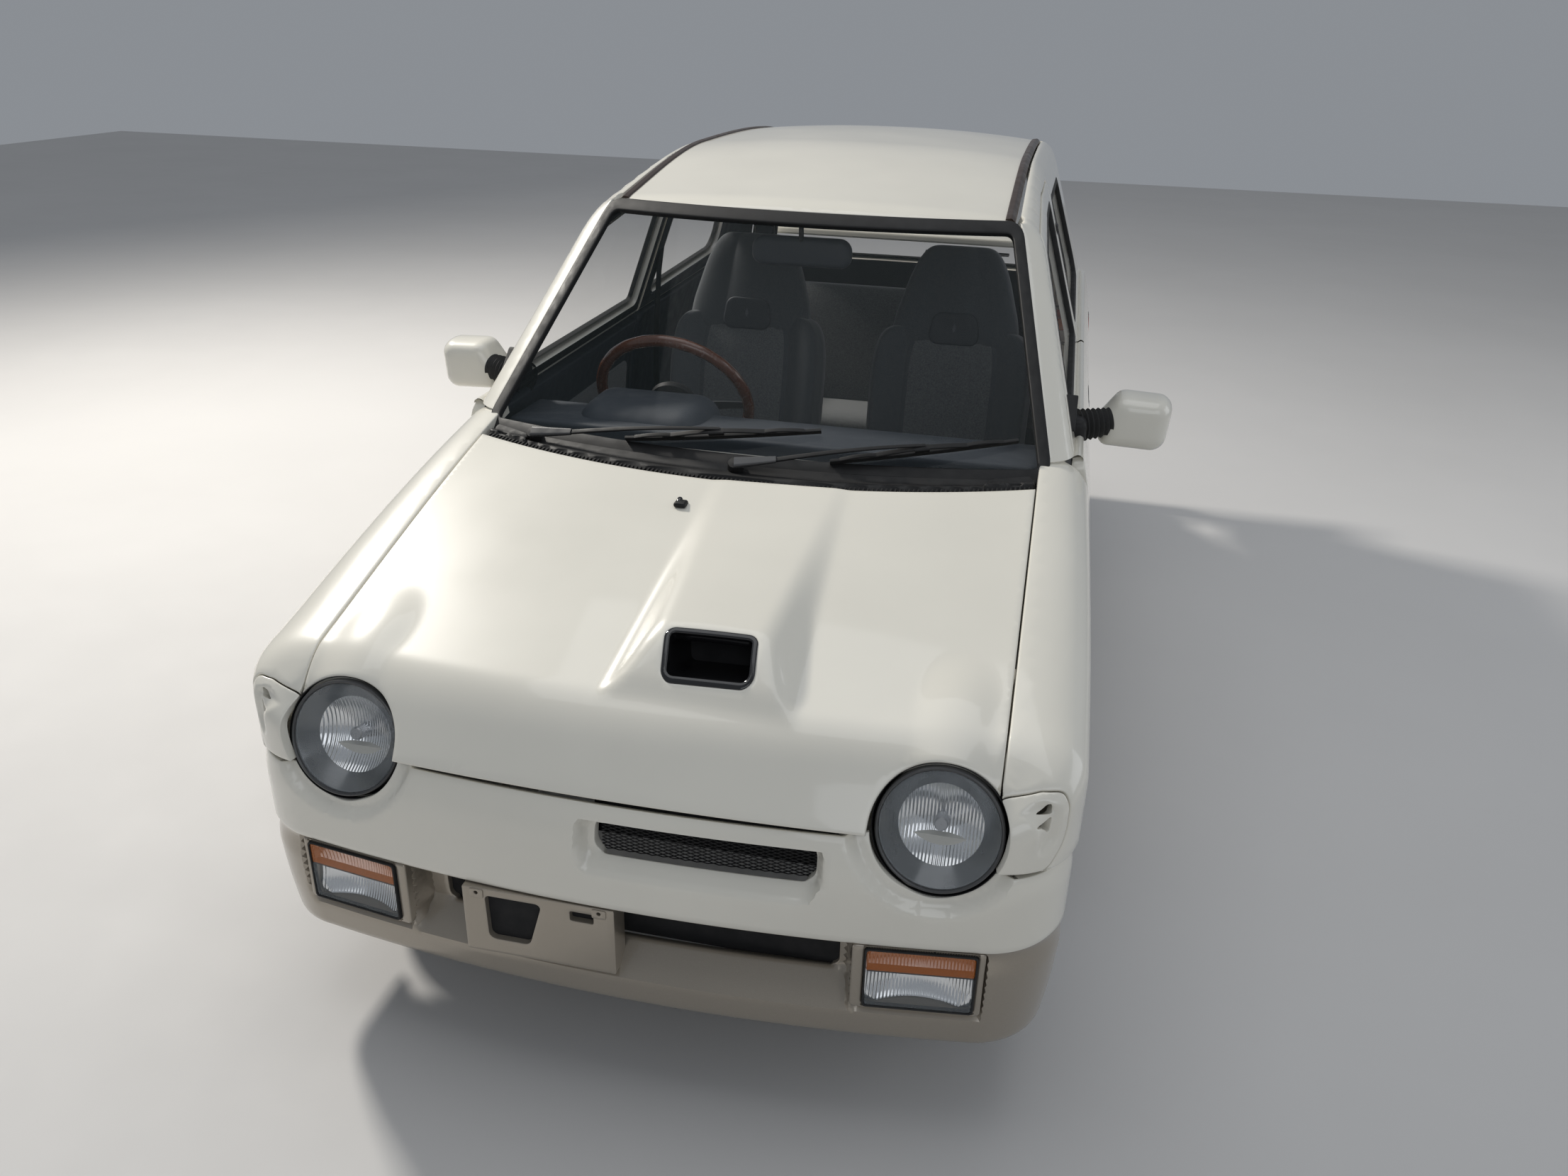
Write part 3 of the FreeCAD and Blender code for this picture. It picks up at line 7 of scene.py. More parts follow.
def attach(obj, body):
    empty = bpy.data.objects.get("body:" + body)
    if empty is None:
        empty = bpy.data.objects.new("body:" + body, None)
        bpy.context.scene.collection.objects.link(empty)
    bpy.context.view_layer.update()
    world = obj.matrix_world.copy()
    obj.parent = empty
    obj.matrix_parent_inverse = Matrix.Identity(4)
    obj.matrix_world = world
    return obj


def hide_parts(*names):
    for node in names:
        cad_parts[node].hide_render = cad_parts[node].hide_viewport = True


# Lengths are millimetres until a mesh is made. +Z up, the car faces -Y, its left side is +X.
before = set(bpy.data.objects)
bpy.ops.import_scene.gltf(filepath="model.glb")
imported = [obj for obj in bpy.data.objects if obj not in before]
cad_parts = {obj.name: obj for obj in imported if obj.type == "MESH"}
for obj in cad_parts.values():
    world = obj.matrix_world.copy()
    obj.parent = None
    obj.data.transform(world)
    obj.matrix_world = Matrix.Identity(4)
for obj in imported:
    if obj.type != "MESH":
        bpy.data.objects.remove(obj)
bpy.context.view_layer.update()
mm = 0.001

# Main sizes of the body
carSizes = {"halfWidth": 697.5, "frontY": -1597.5, "rearY": 1597.5, "sillZ": 175.0, "creaseZ": 600.0,
            "beltZ": 903.0, "seamX": 571.0, "frontAxle": -1007.5, "rearAxle": 1167.5, "axleZ": 259.0,
            "archRadius": 292.0, "gutterX": 437.0, "twoToneZ": 404.0}
halfWidth, frontY, rearY, sillZ, creaseZ, beltZ = list(carSizes.values())[:6]
seamX, frontAxle, rearAxle, axleZ, archRadius, gutterX, twoToneZ = list(carSizes.values())[6:]
noseDegrees = 53
lampSet = {"place": (488.0, -1519.0, 596.0), "leanDegrees": 18, "wellRadius": 104.0, "glassRadius": 91.5}
lampPlace = np.array(lampSet["place"])
lampLean = math.radians(lampSet["leanDegrees"])
wellRadius = lampSet["wellRadius"]


# Several rows of numbers side by side
def columns(*parts):
    return np.column_stack(parts)


# The same numbers as an array
def floats(values):
    return np.asarray(values, float)


# Vectors of any number, each one long
def unit(rows):
    return rows / np.maximum(np.linalg.norm(rows, axis=-1, keepdims=True), 1e-9)


# The smaller of two heights, less a parabola where they lie closer than the blend
def lower(a, b, blend):
    near = np.maximum(blend - np.abs(a - b), 0) / blend
    return np.minimum(a, b) - near * near * blend / 4


# The larger of two heights, rounded in the same way
def upper(a, b, blend):
    near = np.maximum(blend - np.abs(a - b), 0) / blend
    return np.maximum(a, b) + near * near * blend / 4


# 0 before the start, 1 after the end, and 3 t squared less 2 t cubed between them
def ramp(value, start, end):
    t = np.clip((value - start) / (end - start), 0, 1)
    return t * t * (3 - 2 * t)


# Middle and radius of the circle through three points, all three equally far from the middle
def circleThrough(p, q, r):
    scale = 2 * (p[0] * (q[1] - r[1]) + q[0] * (r[1] - p[1]) + r[0] * (p[1] - q[1]))
    squares = [a * a + b * b for a, b in (p, q, r)]
    x = (squares[0] * (q[1] - r[1]) + squares[1] * (r[1] - p[1]) + squares[2] * (p[1] - q[1])) / scale
    y = (squares[0] * (r[0] - q[0]) + squares[1] * (p[0] - r[0]) + squares[2] * (q[0] - p[0])) / scale
    return x, y, math.hypot(p[0] - x, p[1] - y)


# The side in section: two arcs that meet at the waist crease
lowerArc = circleThrough((halfWidth - 35, sillZ), (halfWidth - 7.7, sillZ + 204), (halfWidth, creaseZ))
upperArc = circleThrough((halfWidth, creaseZ), (halfWidth - 9.24, creaseZ + 157.6), (halfWidth - 42, beltZ))


# Half width at a height: the middle of the lower or upper arc, plus its reach there (by right triangle)
def flank(z):
    below = lowerArc[0] + np.sqrt(np.maximum(lowerArc[2]**2 - (z - lowerArc[1])**2, 0))
    above = upperArc[0] + np.sqrt(np.maximum(upperArc[2]**2 - (z - upperArc[1])**2, 0))
    return np.where(z < creaseZ, below, above)


# Half of the plan outline, front to back: a wide arc, a corner arc, a straight side, and the arcs again
def planCurve(frontInset, sideInset, tail):
    fy = frontY + frontInset
    hx = halfWidth - sideInset
    arcs = [((0, fy), (-(hx - 132), fy + 44), (hx - 132, fy + 44)),
            ((hx - 132, fy + 44), (hx - 38, fy + 90), (hx, fy + 178)),
            ((hx, tail - 110), (hx - 26, tail - 36), (hx - 100, tail - 14)),
            ((hx - 100, tail - 14), (-(hx - 100), tail - 14), (0, tail))]
    points = []
    for i, (start, through, end) in enumerate(arcs):
        cx, cy, radius = circleThrough(start, through, end)
        a0 = math.atan2(start[1] - cy, start[0] - cx)
        a1 = math.atan2(end[1] - cy, end[0] - cx)
        if a1 - a0 > math.pi:
            a1 -= 2 * math.pi
        if a0 - a1 > math.pi:
            a1 += 2 * math.pi
        angles = np.linspace(a0, a1, 80)
        points.append(columns(cx + radius * np.cos(angles), cy + radius * np.sin(angles)))
        if i == 1:
            ys = np.linspace(end[1], tail - 110, 200)[1:-1]
            points.append(columns(np.full(len(ys), hx), ys))
    curve = np.vstack(points)
    keep = np.r_[True, np.linalg.norm(np.diff(curve, axis=0), axis=1) > 1e-6]
    return curve[keep]


# The bonnet's seam and crown, through measured heights
bodyPlan = planCurve(8, 0, rearY - 45)
seamFit = np.polyfit([-645, -979, -1312, -1640], [903, 835, 749, 664], 3)
crownFit = np.polyfit([-645, -979, -1312, -1640], [10, 14, 12, 4], 3)
noseTan = math.tan(math.radians(noseDegrees))
noseSin = math.sin(math.radians(noseDegrees))


# The nose: a plane at noseDegrees, bowed back by x squared
def noseZ(x, y):
    return 595 + (y + 1575 - x * x / 13000 / noseSin) * noseTan


# The round brow over a headlamp: an arc carried round an axis that lies across the car
def hoodZ(x, y):
    dx = np.clip(np.abs(x) - lampPlace[0], -107, 107)
    reach = 192 + np.sqrt(108.0**2 - dx * dx)
    return 451.5 + np.sqrt(np.maximum(reach**2 - (y + 1310)**2, 1))


# The raised duct: a flat back with flared sides and a sloping mouth, the lowest of them at each place
def ductZ(x, y):
    top = 853 + (y + 960) * 0.136
    along = (y + 940) / -580
    left = top - ((-30 + 34 * along) - x) * 1.30
    right = top - (x - (215 - 31 * along)) * 1.30
    body = lower(lower(top + 2 - ((x - 92) / 100)**2 * 3, left, 34), right, 34)
    return lower(lower(body, 797 + (y + 1372) * 0.80, 22), 738 + (y + 1446) * 1.9, 16)


# The seam's height plus a crown that falls with x squared, then the nose, the brows and the duct
def bonnetZ(x, y):
    top = np.polyval(seamFit, y) + np.polyval(crownFit, y) * (1 - (x / seamX)**2)
    z = lower(top, noseZ(x, y), 40)
    z = upper(z, hoodZ(x, y), 18)
    return upper(z, ductZ(x, y), 26)


unitX, unitY, unitZ = np.eye(3)


# Meshes
# A mesh in metres from points in millimetres, smooth but for its sharp edges
def newObject(name, verts, faces, materials, indices=None, sharp=40):
    mesh = bpy.data.meshes.new(name)
    mesh.from_pydata((floats(verts) * mm).tolist(), [], [tuple(map(int, f)) for f in faces])
    for material in materials if isinstance(materials, (list, tuple)) else [materials]:
        mesh.materials.append(material)
    mesh.polygons.foreach_set("use_smooth", [True] * len(mesh.polygons))
    if indices is not None:
        mesh.polygons.foreach_set("material_index", [int(i) for i in indices])
    mesh.set_sharp_from_angle(angle=math.radians(sharp))
    mesh.update()
    made = bpy.data.objects.new(name, mesh)
    bpy.context.scene.collection.objects.link(made)
    return made


# Collects shapes into one object, each with its own material
class Build:
    def __init__(self, name):
        self.name = name
        self.verts, self.faces, self.index, self.materials = [], [], [], []
        self.count = 0

    # Points are stacked, and the faces' numbers shifted by the count before them
    def add(self, shape, material):
        verts, faces = shape
        if material not in self.materials:
            self.materials.append(material)
        verts = floats(verts)
        self.verts.append(verts)
        self.faces += [[int(i) + self.count for i in f] for f in faces]
        self.index += [self.materials.index(material)] * len(faces)
        self.count += len(verts)
        return self

    # Each shape with its material, mirrored where asked
    def addAll(self, pieces, flip=False):
        for shape, material in pieces:
            self.add(mirror(shape) if flip else shape, material)

    # Each shape and its mirror image
    def addBoth(self, pieces):
        for shape, material in pieces:
            self.add(shape, material)
            self.add(mirror(shape), material)

    # Makes the object, sets it under its body and hides the nodes that it stands for
    def done(self, body="root", slot=None, replaces=(), sharp=40):
        made = newObject(self.name, np.vstack(self.verts), self.faces, self.materials, self.index, sharp)
        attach(made, body)
        if replaces:
            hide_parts(*replaces)
        return made


# The same pieces on the left and, mirrored, on the right; {} in a name stands for the side
def bothSides(name, pieces, body="root", slot=None, replaces=()):
    for side, flip in (("left", False), ("right", True)):
        made = Build(name + side)
        made.addAll(pieces, flip)
        made.done(body.format(side), slot, [each.format(side) for each in replaces])


# x changes its sign, and each face is read backwards
def mirror(shape):
    verts, faces = shape
    return np.asarray(verts) * [-1, 1, 1], [list(f)[::-1] for f in faces]


# The four corners of each cell of a grid, numbered row by row
def gridFaces(rows, cols, wrapRows=False, wrapCols=False):
    i, j = np.meshgrid(np.arange(rows if wrapRows else rows - 1), np.arange(cols if wrapCols else cols - 1),
                       indexing="ij")
    nextRow, nextCol = (i + 1) % rows * cols, (j + 1) % cols
    faces = np.stack([i * cols + j, i * cols + nextCol, nextRow + nextCol, nextRow + j], -1)
    return faces.reshape(-1, 4).tolist()


# A surface through an array of points, rows by columns
def gridShape(points, wrapRows=False, wrapCols=False, flip=False):
    rows, cols = points.shape[:2]
    faces = gridFaces(rows, cols, wrapRows, wrapCols)
    if flip:
        faces = [f[::-1] for f in faces]
    return points.reshape(-1, 3), faces


# A closed outline through corners (a, b, radius), as evenly spaced points. Each corner's arc has its middle
# on the bisector, at the radius over the sine of half the corner
def roundLoop(corners, step=6.0):
    count = len(corners)
    pieces = []
    for i in range(count):
        here = floats(corners[i][:2])
        before = floats(corners[i - 1][:2]) - here
        after = floats(corners[(i + 1) % count][:2]) - here
        lengths = np.linalg.norm(before), np.linalg.norm(after)
        before, after = before / lengths[0], after / lengths[1]
        radius = corners[i][2]
        turn = math.acos(np.clip(before @ after, -1, 1))
        if radius <= 0 or turn > math.pi - 1e-4:
            pieces.append(here[None])
            continue
        reach = min(radius / math.tan(turn / 2), min(lengths) * 0.49)
        radius = reach * math.tan(turn / 2)
        bisector = (before + after) / np.linalg.norm(before + after)
        centre = here + bisector * radius / math.sin(turn / 2)
        start, end = here + before * reach - centre, here + after * reach - centre
        sweep = math.pi - turn
        steps = max(3, int(radius * sweep / step) + 2)
        ts = np.linspace(0, 1, steps)[:, None]
        arc = (np.sin((1 - ts) * sweep) * start + np.sin(ts * sweep) * end) / math.sin(sweep)
        pieces.append(centre + arc)
    return evenLoop(np.vstack(pieces), step)


# The same line with points no further apart than a step: each length in equal parts
def evenLoop(points, step):
    points = floats(points)
    result = []
    for a, b in zip(points, np.roll(points, -1, axis=0)):
        length = np.linalg.norm(b - a)
        if length > 1e-9:
            parts = max(1, int(math.ceil(length / step)))
            result += [a + (b - a) * k / parts for k in range(parts)]
    return np.array(result)


# Half the sum of the neighbours' cross products, above zero when the loop runs anticlockwise
def signedArea(loop):
    a, b = loop, np.roll(loop, -1, axis=0)
    return 0.5 * np.sum(a[:, 0] * b[:, 1] - b[:, 0] * a[:, 1])


# The loop, turned round where its area is below zero
def anticlockwise(loop):
    return loop if signedArea(loop) > 0 else loop[::-1]


# The loop moved to its left: along the mean of each point's two normals, further where it bends
def inset(loop, distance):
    ahead = unit(np.roll(loop, -1, axis=0) - loop)
    back = np.roll(ahead, 1, axis=0)
    n1 = columns(-ahead[:, 1], ahead[:, 0])
    n0 = columns(-back[:, 1], back[:, 0])
    both = unit(n0 + n1)
    cosine = np.clip(np.sum(both * n1, axis=1), 0.5, 1)
    return loop + both * (distance / cosine)[:, None]


# Which points lie in a closed loop: those whose ray crosses it an odd number of times
def inside(points, loop):
    result = np.zeros(len(points), bool)
    a, b = loop, np.roll(loop, -1, axis=0)
    for k in range(0, len(points), 4000):
        p = points[k:k + 4000]
        crosses = (a[None, :, 1] > p[:, 1:2]) != (b[None, :, 1] > p[:, 1:2])
        span = np.where(np.abs(b[:, 1] - a[:, 1]) < 1e-12, 1e-12, b[:, 1] - a[:, 1])
        at = a[None, :, 0] + (p[:, 1:2] - a[None, :, 1]) * ((b[:, 0] - a[:, 0]) / span)[None]
        result[k:k + 4000] = (np.sum(crosses & (p[:, 0:1] < at), axis=1) % 2) == 1
    return result


# Distance from each point to the nearest point of the loops
def clearance(points, loops):
    allPoints = np.vstack(loops)
    result = np.full(len(points), 1e9)
    for k in range(0, len(points), 2000):
        p = points[k:k + 2000]
        result[k:k + 2000] = np.sqrt(((p[:, None] - allPoints[None])**2).sum(2).min(1))
    return result


# The cross product of the surface's two slopes, made one long
def surfaceNormal(surface, u, v, eps=0.4):
    du = surface(u + eps, v) - surface(u - eps, v)
    dv = surface(u, v + eps) - surface(u, v - eps)
    return unit(np.cross(du, dv))


# A pressed panel: the part of a surface inside an outline, in triangles between rings along its edges and a
# grid of cells. Its edges roll over by a quarter circle and turn in by a lip along the normal
def patch(surface, outer, holes=(), step=16.0, roll=2.6, lip=16.0, outward=1, sink=0.0, joint=None):
    loops = [anticlockwise(outer)]
    loops += [hole[::-1] if signedArea(hole) > 0 else hole for hole in holes]
    shares = (0.0, 0.12, 0.35, 1.0)  # how far into the rolled edge each ring lies
    rings = [[inset(loop, roll * share) for loop in loops] for share in shares]
    low, high = loops[0].min(0), loops[0].max(0)
    us = np.arange(low[0] + step / 2, high[0], step)
    vs = np.arange(low[1] + step / 2, high[1], step)
    uu, vv = np.meshgrid(us, vs)
    vertical = step * 0.25 * (np.arange(len(vs)) % 2)[:, None]
    cells = columns((uu + vertical).ravel(), vv.ravel())
    cells = cells[inside(cells, loops[0])]
    for hole in loops[1:]:
        cells = cells[~inside(cells, hole)]
    cells = cells[clearance(cells, loops) > roll + step * 0.35]
    points, edges, depths = [], [], []
    start = 0
    for depth, ring in zip(shares, rings):
        for loop in ring:
            n = len(loop)
            edges += [(start + i, start + (i + 1) % n) for i in range(n)]
            points.append(loop)
            depths.append(np.full(n, 1 - depth))
            start += n
    points.append(cells)
    depths.append(np.zeros(len(cells)))
    flat = np.vstack(points)
    result = geometry.delaunay_2d_cdt([Vector(p) for p in flat.tolist()], edges, [], 0, 1e-5, True)
    verts2 = np.array([tuple(v) for v in result[0]])
    origin = [ids[0] if ids else 0 for ids in result[3]]
    depth = np.concatenate(depths)[origin]
    faces = np.array([f for f in result[2] if len(f) == 3])
    middles = verts2[faces].mean(1)
    keep = inside(middles, loops[0])
    for hole in loops[1:]:
        keep &= ~inside(middles, hole)
    faces = faces[keep]
    place = surface(verts2[:, 0], verts2[:, 1])
    normals = surfaceNormal(surface, verts2[:, 0], verts2[:, 1]) * outward
    fall = roll * (1 - np.sqrt(np.maximum(1 - depth**2, 0)))
    if joint:
        fall = fall * ramp(np.abs(verts2[:, 1] - joint), 2, 12)
    place = place - normals * (fall + sink)[:, None]
    a, b, c = verts2[faces[:, 0]], verts2[faces[:, 1]], verts2[faces[:, 2]]
    ab, ac = b - a, c - a
    clockwise = (ab[:, 0] * ac[:, 1] - ab[:, 1] * ac[:, 0]) * outward < 0
    faces[clockwise] = faces[clockwise][:, ::-1]
    faces = faces.tolist()
    # The turned-in lip below each edge
    where = {}
    for i, ids in enumerate(result[3]):
        for k in ids:
            where[k] = i
    verts = [place]
    count = len(place)
    start = 0
    for loop in rings[0]:
        n = len(loop)
        ids = [where[start + i] for i in range(n)]
        deeper = place[ids] - normals[ids] * lip
        verts.append(deeper)
        for i in range(n):
            j = (i + 1) % n
            quad = [ids[i], count + i, count + j, ids[j]]
            faces.append(quad if outward > 0 else quad[::-1])
        count += n
        start += n
    return np.vstack(verts), faces


# A profile carried along a path: its first axis points sideways (the path crossed with up), its second
# square to both
def sweep(path, profile, up=(0, 0, 1), scale=None, closed=False):
    path = floats(path)
    profile = floats(profile)
    ahead = np.roll(path, -1, axis=0) - np.roll(path, 1, axis=0) if closed else np.gradient(path, axis=0)
    ahead = unit(ahead)
    side = unit(np.cross(ahead, floats(up)))
    top = np.cross(side, ahead)
    scale = np.ones(len(path)) if scale is None else floats(scale)
    points = (path[:, None] + side[:, None] * (profile[None, :, :1] * scale[:, None, None])
              + top[:, None] * (profile[None, :, 1:] * scale[:, None, None]))
    verts, faces = gridShape(points, wrapRows=closed, wrapCols=True, flip=signedArea(profile) > 0)
    if not closed:
        n = len(profile)
        first = list(range(n))
        last = [len(verts) - n + i for i in range(n)]
        turn = signedArea(profile) > 0
        faces = faces + [first if turn else first[::-1], last[::-1] if turn else last]
    return verts, faces


# Evenly spaced points on a circle
def ringAt(radius, count, cu=0.0, cv=0.0):
    angles = np.linspace(0, 2 * math.pi, count, endpoint=False)
    return columns(cu + radius * np.cos(angles), cv + radius * np.sin(angles))


# The corners of a rectangle with their radii, anticlockwise from the lower left
def rect(left, low, right, high, radius, topRadius=None):
    top = radius if topRadius is None else topRadius
    return [(left, low, radius), (right, low, radius), (right, high, top), (left, high, top)]


# A rounded rectangle about the origin
def boxProfile(width, height, radius, step=2.0):
    return roundLoop(rect(-width / 2, -height / 2, width / 2, height / 2, radius), step)


# A turned shape: profile points (along the axis, radius) carried round the axis
def turned(profile, centre, axis, segments=96, start=(1, 0, 0)):
    axis = unit(floats(axis))
    first = floats(start) - axis * (floats(start) @ axis)
    if np.linalg.norm(first) < 1e-6:
        first = np.array([0, 1.0, 0]) - axis * axis[1]
    first = unit(first)
    second = np.cross(axis, first)
    angles = np.linspace(0, 2 * math.pi, segments, endpoint=False)
    ring = np.cos(angles)[:, None] * first + np.sin(angles)[:, None] * second
    profile = floats(profile)
    points = (floats(centre) + profile[:, None, :1] * axis + profile[:, None, 1:] * ring[None])
    return gridShape(points, wrapCols=True, flip=True)


# A block with rounded edges: each point lies one radius from the nearest point of a smaller block
def roundedBox(low, high, radius, corner=4, cuts=1):
    low, high = floats(low), floats(high)
    centre, size = (low + high) / 2, (high - low) / 2
    radius = min(radius, size.min() * 0.999)
    arc = np.tan(np.linspace(-1, 0, corner + 1) * math.pi / 4)
    lines = []
    for s in size:
        middle = np.linspace(-(s - radius), s - radius, cuts + 1)[1:-1]
        lines.append(np.r_[-(s - radius) + arc * radius, middle, (s - radius) - arc[::-1] * radius])
    verts = []
    faces = []
    count = 0
    for axis in range(3):
        a, b = (axis + 1) % 3, (axis + 2) % 3
        for sign in (-1, 1):
            uu, vv = np.meshgrid(lines[a], lines[b], indexing="ij")
            p = np.zeros(uu.shape + (3,))
            p[..., a], p[..., b], p[..., axis] = uu, vv, sign * size[axis]
            core = np.clip(p, -(size - radius), size - radius)
            v, f = gridShape(core + unit(p - core) * radius, flip=sign > 0)
            f = [g[::-1] for g in f]
            verts.append(v + centre)
            faces += [[i + count for i in g] for g in f]
            count += len(v)
    return np.vstack(verts), faces


# A small plain block from its eight corners
def block(low, high):
    corners = [(x, y, z) for x in (low[0], high[0]) for y in (low[1], high[1]) for z in (low[2], high[2])]
    return corners, [(0, 1, 3, 2), (4, 6, 7, 5), (0, 4, 5, 1), (2, 3, 7, 6), (0, 2, 6, 4), (1, 5, 7, 3)]


# An outline drawn out along an axis (0, 1 or 2), its ends rounded by insets on a quarter circle
def bar(outline, start, end, axis, radius=6.0, steps=4):
    loop = anticlockwise(outline)
    a, b = (axis + 1) % 3, (axis + 2) % 3
    angles = np.linspace(0, math.pi / 2, steps + 1)
    rows = [(start + radius - radius * math.sin(t), radius - radius * math.cos(t)) for t in angles[::-1]]
    rows += [(end - radius + radius * math.sin(t), radius - radius * math.cos(t)) for t in angles]
    points = np.zeros((len(rows), len(loop), 3))
    for i, (along, depth) in enumerate(rows):
        ring = inset(loop, depth) if depth > 0 else loop
        points[i, :, axis], points[i, :, a], points[i, :, b] = along, ring[:, 0], ring[:, 1]
    verts, faces = gridShape(points, wrapCols=True)
    n = len(loop)
    return verts, faces + [list(range(n))[::-1], [len(verts) - n + i for i in range(n)]]


# Points through a matrix: turned, then shifted
def moved(shape, matrix):
    verts, faces = shape
    m = np.array(matrix)
    return np.asarray(verts) @ m[:3, :3].T + m[:3, 3], faces


# Several shapes as one
def joined(*shapes):
    verts = []
    faces = []
    count = 0
    for v, f in shapes:
        verts.append(floats(v))
        faces += [[i + count for i in g] for g in f]
        count += len(v)
    return np.vstack(verts), faces


# Materials
# A new material, its tree and its shader
def material(name):
    made = bpy.data.materials.new(name)
    made.use_nodes = True
    shader = made.node_tree.nodes["Principled BSDF"]
    return made, made.node_tree, shader


# A shader node with its sockets or settings filled in
def node(tree, kind, **values):
    made = tree.nodes.new(kind)
    for key, value in values.items():
        if key in made.inputs:
            made.inputs[key].default_value = value
        else:
            setattr(made, key, value)
    return made


# Plain values for several sockets
def setInputs(shader, values):
    for key, value in values.items():
        shader.inputs[key].default_value = value


# Object coordinates
def coords(tree):
    place = tree.nodes.new("ShaderNodeTexCoord")
    mapping = node(tree, "ShaderNodeMapping")
    tree.links.new(place.outputs["Object"], mapping.inputs["Vector"])
    return mapping.outputs["Vector"]


# A noise of a scale, from 0 to 1
def noise(tree, vector, scale, detail=3.0, rough=0.5):
    made = node(tree, "ShaderNodeTexNoise", Scale=scale, Detail=detail, Roughness=rough)
    tree.links.new(vector, made.inputs["Vector"])
    return made.outputs["Fac"]


# Two colours, one up to the low factor and the other from the high one, mixed between
def stops(tree, factor, low, high, colours=((0, 0, 0, 1), (1, 1, 1, 1))):
    made = tree.nodes.new("ShaderNodeValToRGB")
    made.color_ramp.elements[0].position = low
    made.color_ramp.elements[1].position = high
    made.color_ramp.elements[0].color = colours[0]
    made.color_ramp.elements[1].color = colours[1]
    tree.links.new(factor, made.inputs["Fac"])
    return made.outputs["Color"]


# A height turned into a normal, on top of an earlier one where given
def bump(tree, shader, height, strength, distance=0.001, before=None):
    made = node(tree, "ShaderNodeBump", Strength=strength, Distance=distance)
    tree.links.new(height, made.inputs["Height"])
    if before is not None:
        tree.links.new(before, made.inputs["Normal"])
    tree.links.new(made.outputs["Normal"], shader.inputs["Normal"])
    return made.outputs["Normal"]


# A colour times a gain, one at most
def toned(colour, gain):
    return tuple(min(1, c * gain) for c in colour[:3]) + (1,)


# A plain moulded, cast or painted stuff with uneven colour, uneven gloss and a fine surface
def surfaceMaterial(name, colour, rough=0.5, metal=0.0, vary=0.08, grain=400.0, relief=0.15, distance=0.0004,
                    coat=0.0, patchScale=6.0, spread=0.08, specular=0.5):
    made, tree, shader = material(name)
    vector = coords(tree)
    broad = noise(tree, vector, patchScale, 5)
    colourOut = stops(tree, broad, 0.3, 0.7, (toned(colour, 1 - vary), toned(colour, 1 + vary)))
    tree.links.new(colourOut, shader.inputs["Base Color"])
    mid = noise(tree, vector, patchScale * 5, 4)
    low, high = rough - spread, min(1, rough + spread)
    roughOut = stops(tree, mid, 0.3, 0.7, ((low, low, low, 1), (high, high, high, 1)))
    tree.links.new(roughOut, shader.inputs["Roughness"])
    setInputs(shader, {"Metallic": metal, "Coat Weight": coat, "Coat Roughness": 0.06,
                       "Specular IOR Level": specular})
    bump(tree, shader, noise(tree, vector, grain, 2), relief, distance)
    return made


# Body paint under lacquer, with a metallic second colour below the two-tone line
def paintMaterial(name, colour, lowColour):
    made, tree, shader = material(name)
    vector = coords(tree)
    colourOut = stops(tree, noise(tree, vector, 3.0, 4), 0.35, 0.68,
                      (toned(colour, 0.965), toned(colour, 1.02)))
    place = tree.nodes.new("ShaderNodeTexCoord")
    split = tree.nodes.new("ShaderNodeSeparateXYZ")
    tree.links.new(place.outputs["Object"], split.inputs["Vector"])
    edge = node(tree, "ShaderNodeMath", operation="LESS_THAN")
    tree.links.new(split.outputs["Z"], edge.inputs[0])
    edge.inputs[1].default_value = twoToneZ * mm
    flecks = noise(tree, vector, 2600, 1)
    silver = stops(tree, flecks, 0.4, 0.6, (toned(lowColour, 0.9), toned(lowColour, 1.1)))
    mix = node(tree, "ShaderNodeMix", data_type="RGBA")
    tree.links.new(edge.outputs["Value"], mix.inputs["Factor"])
    tree.links.new(colourOut, mix.inputs["A"])
    tree.links.new(silver, mix.inputs["B"])
    tree.links.new(mix.outputs["Result"], shader.inputs["Base Color"])
    shine = node(tree, "ShaderNodeMath", operation="MULTIPLY")
    tree.links.new(edge.outputs["Value"], shine.inputs[0])
    shine.inputs[1].default_value = 0.55
    tree.links.new(shine.outputs["Value"], shader.inputs["Metallic"])
    roughOut = stops(tree, noise(tree, vector, 5, 4), 0.3, 0.75,
                     ((0.28, 0.28, 0.28, 1), (0.36, 0.36, 0.36, 1)))
    tree.links.new(roughOut, shader.inputs["Roughness"])
    setInputs(shader, {"Coat Weight": 0.85, "Coat Roughness": 0.05})
    bump(tree, shader, noise(tree, vector, 30, 2), 0.02, 0.0006)
    return made


# Tinted glass: a share of its light passes straight through, and its gloss is a little uneven
def glassMaterial(name, colour, rough=0.02, alpha=0.22):
    made, tree, shader = material(name)
    vector = coords(tree)
    setInputs(shader, {"Base Color": colour + (1,), "Alpha": alpha, "IOR": 1.5, "Coat Weight": 0.6,
                       "Coat Roughness": 0.02})
    roughOut = stops(tree, noise(tree, vector, 14, 5), 0.35, 0.8,
                     ((rough,) * 3 + (1,), (rough + 0.05,) * 3 + (1,)))
    tree.links.new(roughOut, shader.inputs["Roughness"])
    bump(tree, shader, noise(tree, vector, 5, 1), 0.02, 0.001)
    return made


# Clear or plated stuff with fine parallel ribs, the height of a sine wave
def ribbedMaterial(name, colour, rough, ribs, relief, distance, alpha=1.0, coat=0.0, metal=0.0, across="X"):
    made, tree, shader = material(name)
    setInputs(shader, {"Base Color": colour + (1,), "Roughness": rough, "Alpha": alpha, "Coat Weight": coat,
                       "Metallic": metal})
    wave = node(tree, "ShaderNodeTexWave", Scale=ribs, Distortion=0.0, bands_direction=across)
    tree.links.new(coords(tree), wave.inputs["Vector"])
    bump(tree, shader, wave.outputs["Fac"], relief, distance)
    return made


